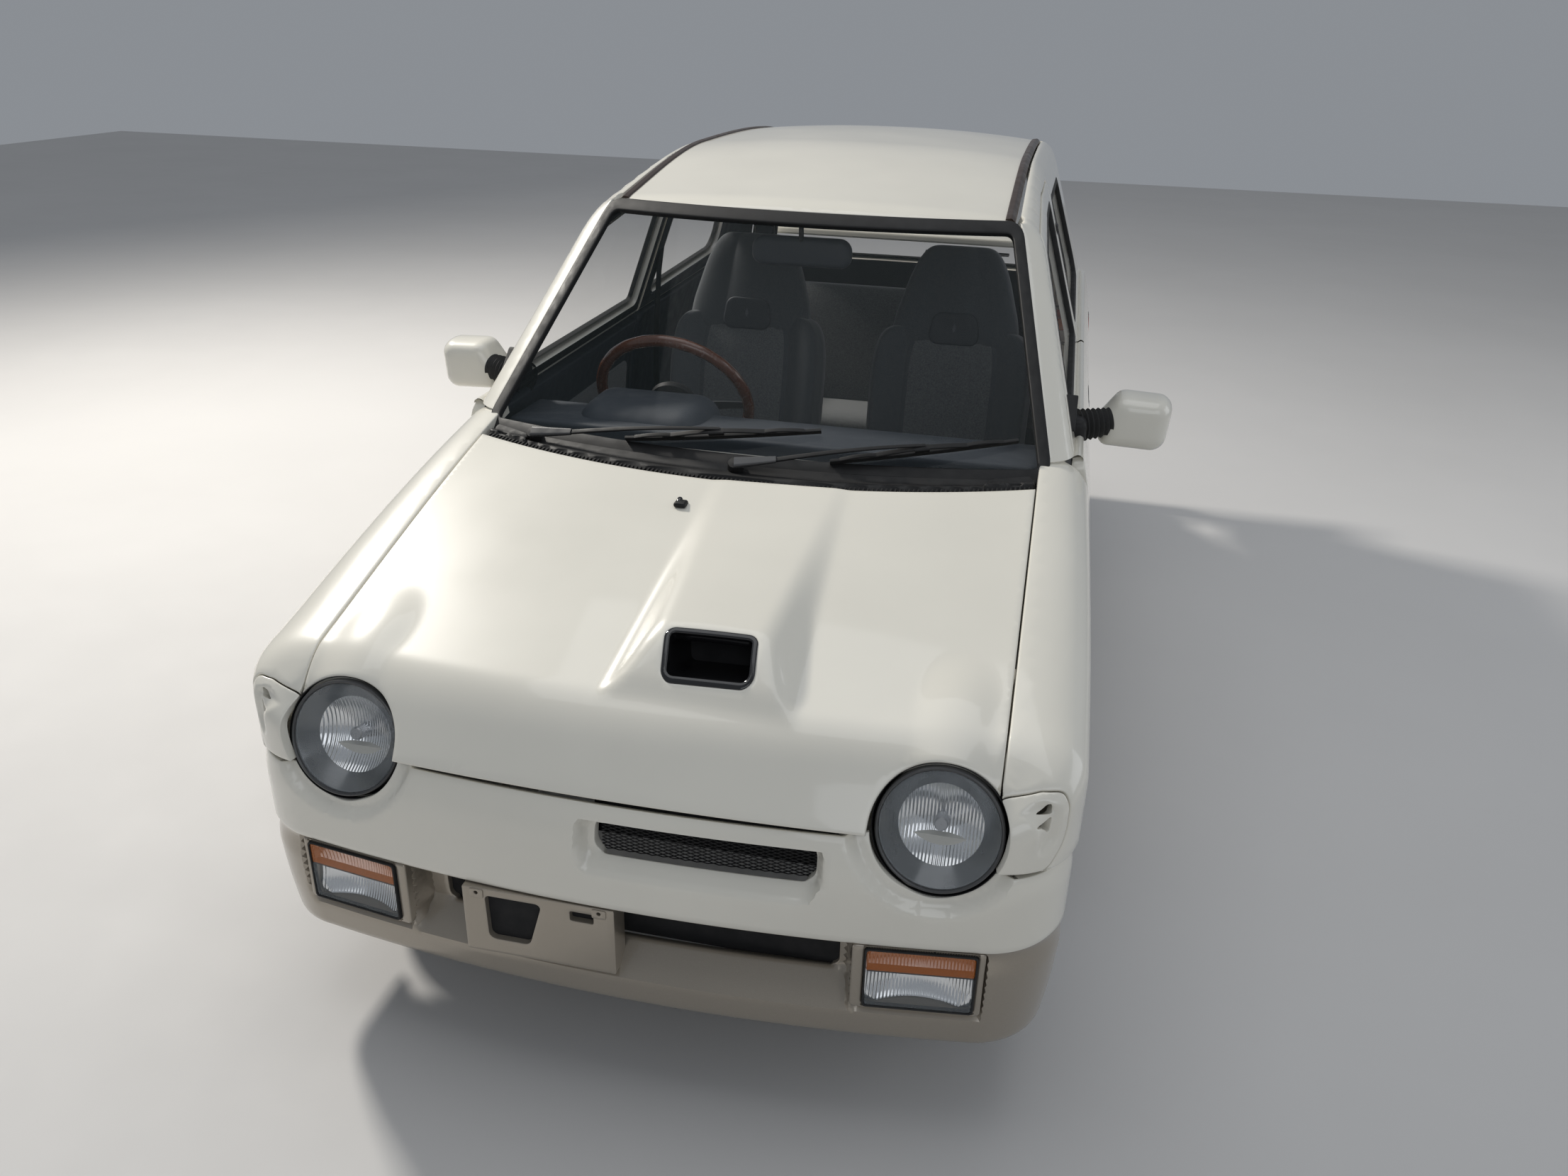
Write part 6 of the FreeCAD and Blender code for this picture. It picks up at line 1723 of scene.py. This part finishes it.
# A stuffed block, its section and ends rounded by powers of sine and cosine. width(t) and depth(t) are half
# sizes for t from -1 to 1 along it, and its front face is dished. Gives the points, the faces of its sides
# and the faces of its middle panel
def pillow(middle, along, front, length, width, depth, bolster=0.0, notch=0.0, seam=0.6, rows=44, count=96,
           power=4.0):
    middle, along, front = (floats(v) for v in (middle, along, front))
    along = unit(along)
    front = unit(front - along * (front @ along))
    phi = math.pi / 2 * np.sin(math.pi / 2 * np.linspace(-1, 1, rows))
    place = np.sign(np.sin(phi)) * np.abs(np.sin(phi))**(2 / 5.0)
    keep = np.maximum(np.cos(phi), 0)**(2 / 5.0)
    theta = np.linspace(0, 2 * math.pi, count, endpoint=False)
    across = np.sign(np.cos(theta)) * np.abs(np.cos(theta))**(2 / power)
    thick = np.sign(np.sin(theta)) * np.abs(np.sin(theta))**(2 / power)
    isFront = thick > 0
    points = np.zeros((rows, count, 3))
    for i in range(rows):
        t = place[i]
        k = keep[i]
        u = across * (0.35 + 0.65 * k)
        rise = bolster * ramp(np.abs(across), seam,
                              0.92) * (1 - 0.9 * ramp(np.abs(across), 0.93, 1.0)) * k * isFront
        groove = 5 * np.exp(-((np.abs(across) - seam) / 0.035)**2) * isFront * k
        swell = 7 * np.cos(np.clip(across / seam, -1, 1) * math.pi / 2) * isFront * k
        d = thick * depth(t) * k + rise - groove + swell
        lift = notch * ramp(np.abs(across), seam - 0.12, seam + 0.1) * ramp(t, 0.5, 1.0)
        points[i] = (middle + along * (length / 2 * t + lift)[:, None] + unitX * (width(t) * u)[:, None]
                     + front * d[:, None])
    verts, faces = gridShape(points, wrapCols=True)
    faces += [list(range(count))[::-1], [len(verts) - count + i for i in range(count)]]
    centreColumns = [j for j in range(count) if isFront[j] and abs(across[j]) < seam]
    panel = [f for f in faces if len(f) == 4 and all((v % count) in centreColumns for v in f)]
    rest = [f for f in faces if not (len(f) == 4 and all((v % count) in centreColumns for v in f))]
    return verts, rest, panel


# The sides in one cloth and the middle panel in another
def addPillow(build, made, sideStuff, middleStuff):
    verts, rest, panel = made
    build.add((verts, rest), sideStuff)
    build.add((verts, panel), middleStuff)


leanBack = np.array([0, 150.0, 672.0])
facing = np.array([0, -672.0, 150.0])
seatSet = {"places": (("left", 300.0), ("right", -300.0)), "cushionLength": 490, "backLength": 452,
           "restLength": 284, "padded": 0.75, "benchPadded": 0.7}
for name, x in seatSet["places"]:
    seat = Build("front_seat_" + name)
    addPillow(seat, pillow((x, 105, 405), (0, 1, -0.05), (0, 0, 1), seatSet["cushionLength"],
                           lambda t: 232 - 6 * t * t, lambda t: 66, 24, 0), clothSide, clothMid)
    addPillow(seat, pillow((x, 397, 650), leanBack, facing, seatSet["backLength"],
                           lambda t: 231 + 3 * t - 5 * t * t, lambda t: 62 - 9 * t, 34, 17,
                           seam=0.56), clothSide, clothMid)
    addPillow(seat, pillow((x, 466, 968), leanBack, facing, seatSet["restLength"],
                           lambda t: 158 - 42 * t - 10 * t * t, lambda t: 47 - 8 * t, 5, 0, seam=0.42,
                           power=3.4), clothSide, clothSide)
    foot = roundLoop([(-74, -46, 26), (74, -46, 26), (62, 44, 30), (-62, 44, 30)], 5)
    up = unit(leanBack)
    out = unit(facing)
    seat.add(flatPlate(foot, np.array([x, 452, 885]) + out * 62, unitX, up, out, 12, roll=5), trim)
    seat.add(roundedBox((x - 178, -96, 229), (x - 140, 330, 262), 6), black)
    seat.add(roundedBox((x + 140, -96, 229), (x + 178, 330, 262), 6), black)
    seat.add(roundedBox((x - 190, -80, 258), (x + 190, 330, 345), 14), black)
    for sign in (-1, 1):
        seat.add(turned([(-6, 30), (4, 34), (10, 30), (12, 10), (12, 0.5)], (x + sign * 226, 352, 452),
                        (sign, 0, 0), 32), black)
    made = seat.done("root", "seat_fabric", ["front_seats"] if x > 0 else [])
bench = Build("rear_bench")
addPillow(bench, pillow((0, 868, 418), (0, 1, -0.06), (0, 0, 1), 336, lambda t: 464.0, lambda t: 78.0, 6, 0,
                        seam=0.93), clothSide, clothMid)
addPillow(bench, pillow((0, 1016, 668), (0, 66, 390), (0, -390, 66), 404, lambda t: 464 - 8 * ramp(t, 0.3, 1),
                        lambda t: 52 - 6 * t, 4, 0, seam=0.93), clothSide, clothMid)
bench.done("root", "seat_fabric", ["rear_seat"])
print("seats ready")

# Dashboard
dashSet = {"gauges": ((-370, 36), (-282, 36), (-205, 24)),
           "outlets": ((60, 118, 800, 40), (470, 118, 800, 40), (60, 150, 712, 52))}
dashProfile = roundLoop([(-644, 642, 10), (-432, 604, 40), (-404, 760, 40), (-470, 866, 30),
                         (-644, 872, 10)], 7)
dash = Build("dashboard_skin")
dash.add(bar(dashProfile, -576, 576, 0, 9), trimTop)
hoodOutline = roundLoop([(-458, 792, 16), (-142, 792, 16), (-152, 896, 62), (-448, 896, 62)], 6)
hoodRows = []
for y, share, lift in ((-432, 0.93, 0), (-433, 0.99, 0), (-437, 1.0, 0), (-470, 1.0, 1), (-520, 0.985, 3),
                       (-560, 0.955, 2), (-590, 0.90, -6), (-606, 0.80, -22), (-612, 0.60, -34)):
    ring = np.array([-300, 830]) + (hoodOutline - [-300, 830]) * share
    hoodRows.append(columns(ring[:, 0], np.full(len(ring), float(y)), ring[:, 1] + lift))
dash.add(gridShape(np.array(hoodRows), wrapCols=True, flip=True), trimTop)
inner = np.array([-300, 832]) + (hoodOutline - [-300, 832]) * 0.9
dash.add((columns(inner[:, 0], np.full(len(inner), -444.0), inner[:, 1]), [list(range(len(inner)))]), gloss)
hoodFront = np.array(hoodRows)[0]
lipRows = np.array([hoodFront, columns(inner[:, 0], np.full(len(inner), -444.0), inner[:, 1])])
dash.add(gridShape(lipRows, wrapCols=True), black)
for x, radius in dashSet["gauges"]:
    dash.add(turned([(-2, radius), (3, radius), (3, radius - 3), (1, radius - 4), (1, 0.5)], (x, -444, 842),
                    (0, 1, 0), 40), alloy)
    dash.add(turned([(2, radius - 4), (2.2, 0.5)], (x, -444, 842), (0, 1, 0), 40), black)
rearSlope = unit(np.array([0, 28.0, 156.0]))
rearOut = np.array([0, rearSlope[2], -rearSlope[1]])
for x, w, z, h in dashSet["outlets"]:
    slot = rect(-w / 2, -h / 2, w / 2, h / 2, 5)
    place = np.array([x, -404 - max(z - 762, 0) * 0.62 + 5, z])
    facingDash = rearOut if z < 762 else np.array([0, 0.85, 0.53])
    upDash = rearSlope if z < 762 else np.array([0, -0.53, 0.85])
    dash.add(flatPlate(slot, place + facingDash * 2, -unitX, upDash, facingDash, 8, roll=2), black)
    if z > 762:
        for k in range(4):
            dash.add(moved(roundedBox((-w / 2 + 6, -1.5, -1.5), (w / 2 - 6, 3.5, 1.5), 1, 1),
                           Matrix.Translation(place + facingDash * 2 + upDash * (k * 9 - 13.5))), gloss)
glove = rect(-165, -52, 165, 52, 10)
dash.add(flatPlate(glove, np.array([380, -413, 690]) + rearOut * 5, -unitX, rearSlope, rearOut, 10, roll=3),
         trim)
dash.add(bar(roundLoop([(-640, 561, 4), (-450, 561, 14), (-446, 600, 4), (-452, 600, 2), (-456, 571, 4),
                        (-628, 571, 4), (-628, 640, 2), (-640, 640, 2)], 5), 44, 556, 0, 2), trim)
dash.done("root", "interior_plastic", ["dashboard"])

# Steering wheel, shroud and stalks
steeringSet = {"hub": (-290.0, -335.0, 850.0), "leanDegrees": 28, "radius": 180, "grip": 14,
               "spokes": (0, 180, 270)}
hub = np.array(steeringSet["hub"])
lean = math.radians(steeringSet["leanDegrees"])
columnDir = np.array([0, math.cos(lean), math.sin(lean)])
wheelUp = np.array([0, -math.sin(lean), math.cos(lean)])
turns = np.linspace(0, 2 * math.pi, 120, endpoint=False)
rimPath = hub + steeringSet["radius"] * (np.cos(turns)[:, None] * unitX + np.sin(turns)[:, None] * wheelUp)
steer = Build("steering_wheel_rim")
steer.add(sweep(rimPath, ringAt(steeringSet["grip"], 20), up=columnDir, closed=True,
                scale=1 - 0.05 * np.abs(np.sin(turns * 12))), wood)
for degrees in steeringSet["spokes"]:
    a = math.radians(degrees)
    outTo = math.cos(a) * unitX + math.sin(a) * wheelUp
    t = np.linspace(0, 1, 12)[:, None]
    path = hub - columnDir * 24 * (1 - t)**1.5 + outTo * (26 + 150 * t)
    steer.add(sweep(path, boxProfile(30, 6, 2.5), up=columnDir, scale=1 - 0.3 * t[:, 0]), bezel)
steer.add(turned([(-46, 34), (-24, 38), (-14, 56), (-4, 58), (4, 52), (8, 34), (9, 0.5)], hub, columnDir,
                 56), black)
steer.add(turned([(8, 24), (11, 22), (12, 0.5)], hub, columnDir, 40), gloss)
steer.done("steering", "steering_rim", ["steering_wheel"])
turnMatrix = Matrix([unitX, -wheelUp, columnDir]).transposed().to_4x4()
shroud = Build("column_shroud")
shroud.add(moved(roundedBox((-50, -38, -200), (50, 44, -54), 16, 4, 2),
                 Matrix.Translation(hub) @ turnMatrix), black)
for sign in (-1, 1):
    start = hub - columnDir * 84 + unitX * sign * 44
    path = [start, start + unitX * sign * 60 + wheelUp * 4,
            start + unitX * sign * 118 + wheelUp * 12 + columnDir * 14]
    shroud.add(sweep(path, ringAt(4.6, 12), up=columnDir), black)
    shroud.add(moved(roundedBox((-9, -9, -16), (9, 9, 16), 7, 3), Matrix.Translation(path[-1])
                     @ Matrix.Rotation(math.pi / 2, 4, "Y")), wood)
shroud.done("root", "interior_plastic", ["steering_column"])
print("dashboard ready")

# Inner mirror
cabinMirror = Build("cabin_mirror")
mirrorOutline = roundLoop([(1148, -146, 26), (1148, 92, 26), (1216, 92, 30), (1216, -146, 30)], 5)
cabinMirror.add(bar(mirrorOutline, -184, -151, 1, 13, 6), trim)
cabinMirror.add(bar(inset(anticlockwise(mirrorOutline), 4), -160, -149.5, 1, 1), mirrorGlass)
cabinMirror.add(sweep([(-27, -176, 1196), (-27, -182, 1230), (-27, -184, 1262), (-27, -178, 1284)],
                      ringAt(6, 14), up=(0, 1, 0)), black)
cabinMirror.add(roundedBox((-47, -198, 1276), (-7, -146, 1290), 6, 3), black)
cabinMirror.done("root", "interior_plastic", ["inner_mirror"])

# Inner trims: doors, sides, pillars, roof and tailgate
cardLoop = inset(anticlockwise(lowDoorLoop), 14)
frameLoop = inset(anticlockwise(highDoorLoop), 5)
pocket = toPlan(roundLoop([(-420, 300, 20), (240, 300, 20), (240, 470, 30), (-420, 440, 30)], 7))
middle = toPlan(roundLoop([(-470, 520, 20), (285, 520, 20), (290, 770, 30), (-500, 770, 30)], 7))
bothSides("door_card_", [
    (patch(tailSide, cardLoop, step=22, roll=6, lip=44, outward=-1, sink=-52), trim),
    (patch(house, frameLoop, [inset(anticlockwise(doorWindow), -3)], step=14, roll=3, lip=16, outward=-1,
           sink=-25), black),
    (patch(tailSide, middle, step=20, roll=5, lip=6, outward=-1, sink=-57), clothMid),
    (patch(tailSide, pocket, step=20, roll=5, lip=8, outward=-1, sink=-59), trim),
    (roundedBox((560, -330, 590), (632, 170, 632), 14, 4, 3), black),
    (turned([(-8, 15), (0, 15), (6, 12), (8, 0.5)], (618, -110, 700), (-1, 0, 0), 24), black),
    (sweep([(612, -110, 700), (606, -150, 672), (604, -176, 652)], boxProfile(13, 8, 3), up=unitX), black),
    (turned([(-3, 8), (16, 8), (22, 6), (23, 0.5)], (606, -176, 652), (-1, 0, 0), 20), black)],
          "{}_door", "interior_plastic")
lowerIn = [(352, 240), (640, 240), (640, 345), (880, 470), (960, 560), (1400, 600), (1400, 896), (352, 896)]
belt = np.array([(566, 404, 1168), (590, 402, 1000), (604, 402, 800), (606, 404, 560), (600, 420, 330),
                 (580, 470, 262)], float)
ts = np.linspace(0, 1, 60)
path = columns(*[np.interp(ts, np.linspace(0, 1, 6), belt[:, k]) for k in range(3)]) - [22, 0, 0]
bothSides("side_trim_", [
    (patch(house, inset(anticlockwise(upperLoop), 4), [inset(anticlockwise(quarterLoop), -4)], step=18,
           roll=3, lip=18, outward=-1, sink=-27), trim),
    (patch(tailSide, toPlan(roundLoop([(y, z, 30) for y, z in lowerIn], 9)), step=24, roll=6, lip=30,
           outward=-1, sink=-50), trim),
    (sweep(path, boxProfile(46, 1.6, 0.7, 4), up=unitX), rubber),
    (roundedBox((532, 376, 1150), (552, 432, 1196), 8, 3), black),
    (roundedBox((556, 360, 236), (592, 450, 330), 10, 3), black)],
          "root", "interior_plastic")
roofTrim = Build("roof_lining_panel")
roofTrim.add(patch(roof, inset(anticlockwise(roofLoop), 8), step=26, roll=4, lip=14,
                   outward=-1, sink=-22), lining)
for sign in (-1, 1):
    visor = roundLoop([(sign * 60, -178, 14), (sign * 400, -150, 20), (sign * 400, -40, 30),
                       (sign * 80, -60, 24)][::sign], 8)
    roofTrim.add(patch(roof, visor, step=20, roll=5, lip=8, outward=-1, sink=-36), lining)
roofTrim.done("root", "interior_plastic")
hatchTrim = Build("tailgate_trim")
tailIn = inset(anticlockwise(tailLoop), 9)
tailHole = anticlockwise(tailWindow)
hatchTrim.add(patch(tail, tailIn, [inset(tailHole, -4)], step=22, roll=4, lip=16, sink=-24), trim)
hatchTrim.done("tailgate_lid", "interior_plastic")
carpets = Build("carpets")
carpets.add(roundedBox((-556, -628, 228.4), (556, 632, 234), 2.5, 2, 6), carpet)
carpets.add(roundedBox((-450, 1090, 470.4), (450, 1470, 475), 2, 2, 6), carpet)
carpets.done("root", "interior_plastic")
print("trims ready")

# Wheels and tyres
discX = pchip([-1, 0, 22, 34, 60, 74, 104, 126, 146, 160], [37, 37, 37, 31, 28, 24, 27, 20, 12, 10])
wheelSet = {"vents": 8, "ventCircle": 104, "ventRadius": 21.5, "nuts": 4, "nutCircle": 50}


# The wheel's face: its depth read at the distance from the middle
def discFace(u, v):
    u, v = floats(u), floats(v)
    return columns(discX(np.hypot(u, v)), u, v)


ventAngles = np.linspace(0, 2 * math.pi, wheelSet["vents"], endpoint=False) + math.pi / 2
vents = [ringAt(wheelSet["ventRadius"], 30, wheelSet["ventCircle"] * math.cos(a),
                wheelSet["ventCircle"] * math.sin(a))
         for a in ventAngles]
wheelParts = [(patch(discFace, ringAt(147.5, 130), vents, step=6, roll=2.5, lip=12), alloy)]
barrelProfile = [(-60, 172), (-60, 179), (-55, 179), (-52, 166), (-34, 163), (-24, 148), (6, 147), (22, 148),
                 (30, 158),
                 (40, 163), (53, 167), (56, 178), (60, 179), (60, 174), (54, 163), (40, 157), (28, 149),
                 (14, 146.5)]
wheelParts.append((turned(barrelProfile, (0, 0, 0), unitX, 120), alloy))
wheelParts.append((turned([(31, 30), (38, 30), (43, 27), (45, 20), (45.5, 0.5)], (0, 0, 0), unitX, 48),
                   black))
wheelParts.append((turned([(-34, 92), (-6, 92), (-2, 88), (-2, 40), (4, 36), (4, 12)], (0, 0, 0), unitX, 64),
                   cast))
wheelParts.append((turned([(-12, 3.6), (16, 3.6), (18, 4.4), (26, 4.4), (27, 0.5)],
                          (8, 136 * math.sin(0.4), 136 * math.cos(0.4)), (1, 0, 0), 14), rubber))
for k in range(wheelSet["nuts"]):
    a = math.pi / 4 + k * 2 * math.pi / wheelSet["nuts"]
    place = (27, wheelSet["nutCircle"] * math.cos(a), wheelSet["nutCircle"] * math.sin(a))
    wheelParts.append((turned([(-2, 14), (1.5, 14), (2.5, 12)], place, unitX, 24), alloy))
    wheelParts.append((turned([(0, 10.2), (9, 10.2), (12, 8), (14, 6.5), (15, 0.5)], place, unitX, 6), steel))

tyreSet = {"radius": 259, "columns": 432, "blocks": 72, "grooveCentres": (-42.5, -19.5, 19.5, 42.5),
           "grooveDepth": 6.0}
sidewall = [(-51, 165), (-55, 171), (-62, 184), (-66.5, 190), (-69.5, 202), (-71, 205), (-72.5, 212),
            (-72.3, 224),
            (-70.5, 236), (-68, 240), (-66.5, 247), (-63.5, 252.5), (-60, 255)]
across = np.r_[np.linspace(-57.5, -46, 5), np.linspace(-45.2, -39.8, 5), np.linspace(-39, -23, 5),
               np.linspace(-22.2, -16.8, 5), np.linspace(-16, 16, 9), np.linspace(16.8, 22.2, 5), np.linspace(23, 39, 5),
               np.linspace(39.8, 45.2, 5), np.linspace(46, 57.5, 5)]
crownR = tyreSet["radius"] - 3.4 * (across / 57.5)**2
profile = np.array(sidewall + list(zip(across, crownR)) + [(-a, r) for a, r in sidewall[::-1]])
tyreColumns = tyreSet["columns"]
angles = np.linspace(0, 2 * math.pi, tyreColumns, endpoint=False)
aa, tt = np.meshgrid(profile[:, 0], angles, indexing="ij")
radius = np.repeat(profile[:, 1:], tyreColumns, 1)
onTread = np.abs(aa) < 58
grooves = np.zeros_like(aa)
for centre in tyreSet["grooveCentres"]:
    grooves = np.maximum(grooves, tyreSet["grooveDepth"] * (np.abs(aa - centre) < 2.4))
pitch = 2 * math.pi / tyreSet["blocks"]
phase = ((tt + 0.0045 * np.abs(aa)) % pitch) / pitch
grooves = np.maximum(grooves, 5.0 * (phase < 0.24) * (np.abs(aa) > 42.5))
phase = ((tt - 0.0055 * aa) % pitch) / pitch
grooves = np.maximum(grooves, 3.2 * (phase < 0.18) * (np.abs(aa) < 39) * (np.abs(aa) > 8))
shoulderCut = 2.2 * (phase < 0.2) * (np.abs(aa) > 58) * (np.abs(aa) < 68.5) * (radius > 238)
radius = radius - grooves * onTread - shoulderCut
tyreShape = gridShape(np.stack([aa, radius * np.cos(tt), radius * np.sin(tt)], -1), wrapCols=True)
tyreRubber = surfaceMaterial("tyre_rubber", (0.017, 0.017, 0.017), 0.80, grain=420, relief=0.3, vary=0.15,
                             patchScale=10)
for axle, y, track in (("front", frontAxle, 607.5), ("rear", rearAxle, 585.0)):
    for name, sign in (("left", 1), ("right", -1)):
        centre = np.array([sign * track, y, axleZ])
        made = Build(f"wheel_{axle}_{name}_rim")
        for shape, stuff in wheelParts:
            verts, faces = mirror(shape) if sign < 0 else shape
            made.add((np.asarray(verts) + centre, faces), stuff)
        made.done(f"{axle}_{name}_wheel", "wheel_alloy", [f"wheel_{axle}_{name}"])
        made = Build(f"tyre_{axle}_{name}_tread")
        verts, faces = mirror(tyreShape) if sign < 0 else tyreShape
        made.add((np.asarray(verts) + centre, faces), tyreRubber)
        made.done(f"{axle}_{name}_wheel", "tyre", [f"tyre_{axle}_{name}"], sharp=35)
print("wheels ready")

# Finishes of the pieces kept as they are
finishes = {"floor_pan": chassis, "engine_bay": floorPaint, "engine": castAlloy, "exhaust": pipeSteel,
            "fuel_tank": tankPaint, "front_suspension": cast, "rear_axle": cast, "knuckle_left": cast,
            "knuckle_right": cast}
for name, stuff in finishes.items():
    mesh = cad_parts[name].data
    mesh.materials.clear()
    mesh.materials.append(stuff)

# Stage, lights and camera
stageMaterial = surfaceMaterial("studio_floor", (0.62, 0.61, 0.60), 0.8, grain=60, relief=0.05, vary=0.02,
                                patchScale=1.0)
floorShape = gridShape(np.stack(np.meshgrid([-12000.0, 12000.0], [-12000.0, 12000.0], [0.0], indexing="ij"),
                                -1)[:, :, 0])
studioFloor = newObject("studio_floor", floorShape[0], [f[::-1] for f in floorShape[1]], stageMaterial)


# A rectangular lamp turned to its target
def areaLight(name, place, target, size, power, colour=(1, 1, 1)):
    lamp = bpy.data.lights.new(name, "AREA")
    lamp.shape = "RECTANGLE"
    lamp.size, lamp.size_y = size
    lamp.energy = power
    lamp.color = colour
    made = bpy.data.objects.new(name, lamp)
    made.location = place
    made.rotation_euler = (Vector(target) - Vector(place)).to_track_quat("-Z", "Y").to_euler()
    bpy.context.scene.collection.objects.link(made)


studioSet = {"lamps": (("key", (-4.2, 1.6, 4.6), (0, -0.3, 0.5), (0.6, 0.6), 330, (1.0, 0.955, 0.88)),
                       ("fill_front", (2.5, -6.5, 3.6), (0, -0.4, 0.6), (5, 3), 48, (0.93, 0.96, 1.0)),
                       ("top", (0, -0.5, 6.0), (0, -0.3, 0), (5, 5), 72, (0.97, 0.985, 1.0)),
                       ("fill_right", (5.5, 0.5, 2.6), (0, 0, 0.6), (4, 3), 40, (0.93, 0.96, 1.0))),
             "worldColour": (0.80, 0.85, 0.92, 1), "worldStrength": 0.32, "focalLength": 27.69}
for values in studioSet["lamps"]:
    areaLight(*values)
world = bpy.data.worlds.new("studio")
world.use_nodes = True
world.node_tree.nodes["Background"].inputs["Color"].default_value = studioSet["worldColour"]
world.node_tree.nodes["Background"].inputs["Strength"].default_value = studioSet["worldStrength"]
bpy.context.scene.world = world
bpy.context.scene.view_settings.view_transform = "Standard"

camera = bpy.data.cameras.new("camera")
camera.sensor_width = 36.0
camera.lens = studioSet["focalLength"]
camera.clip_start, camera.clip_end = 0.05, 60
cameraObject = bpy.data.objects.new("camera", camera)
right, up, ahead = (0.97501, 0.22073, 0.02515), (-0.11742, 0.41592, 0.90179), (-0.18859, 0.88221, -0.43144)
turn = Matrix([right, up, [-a for a in ahead]]).transposed().to_4x4()
cameraObject.matrix_world = Matrix.Translation((0.5584, -3.0025, 1.6902)) @ turn
bpy.context.scene.collection.objects.link(cameraObject)
bpy.context.scene.camera = cameraObject
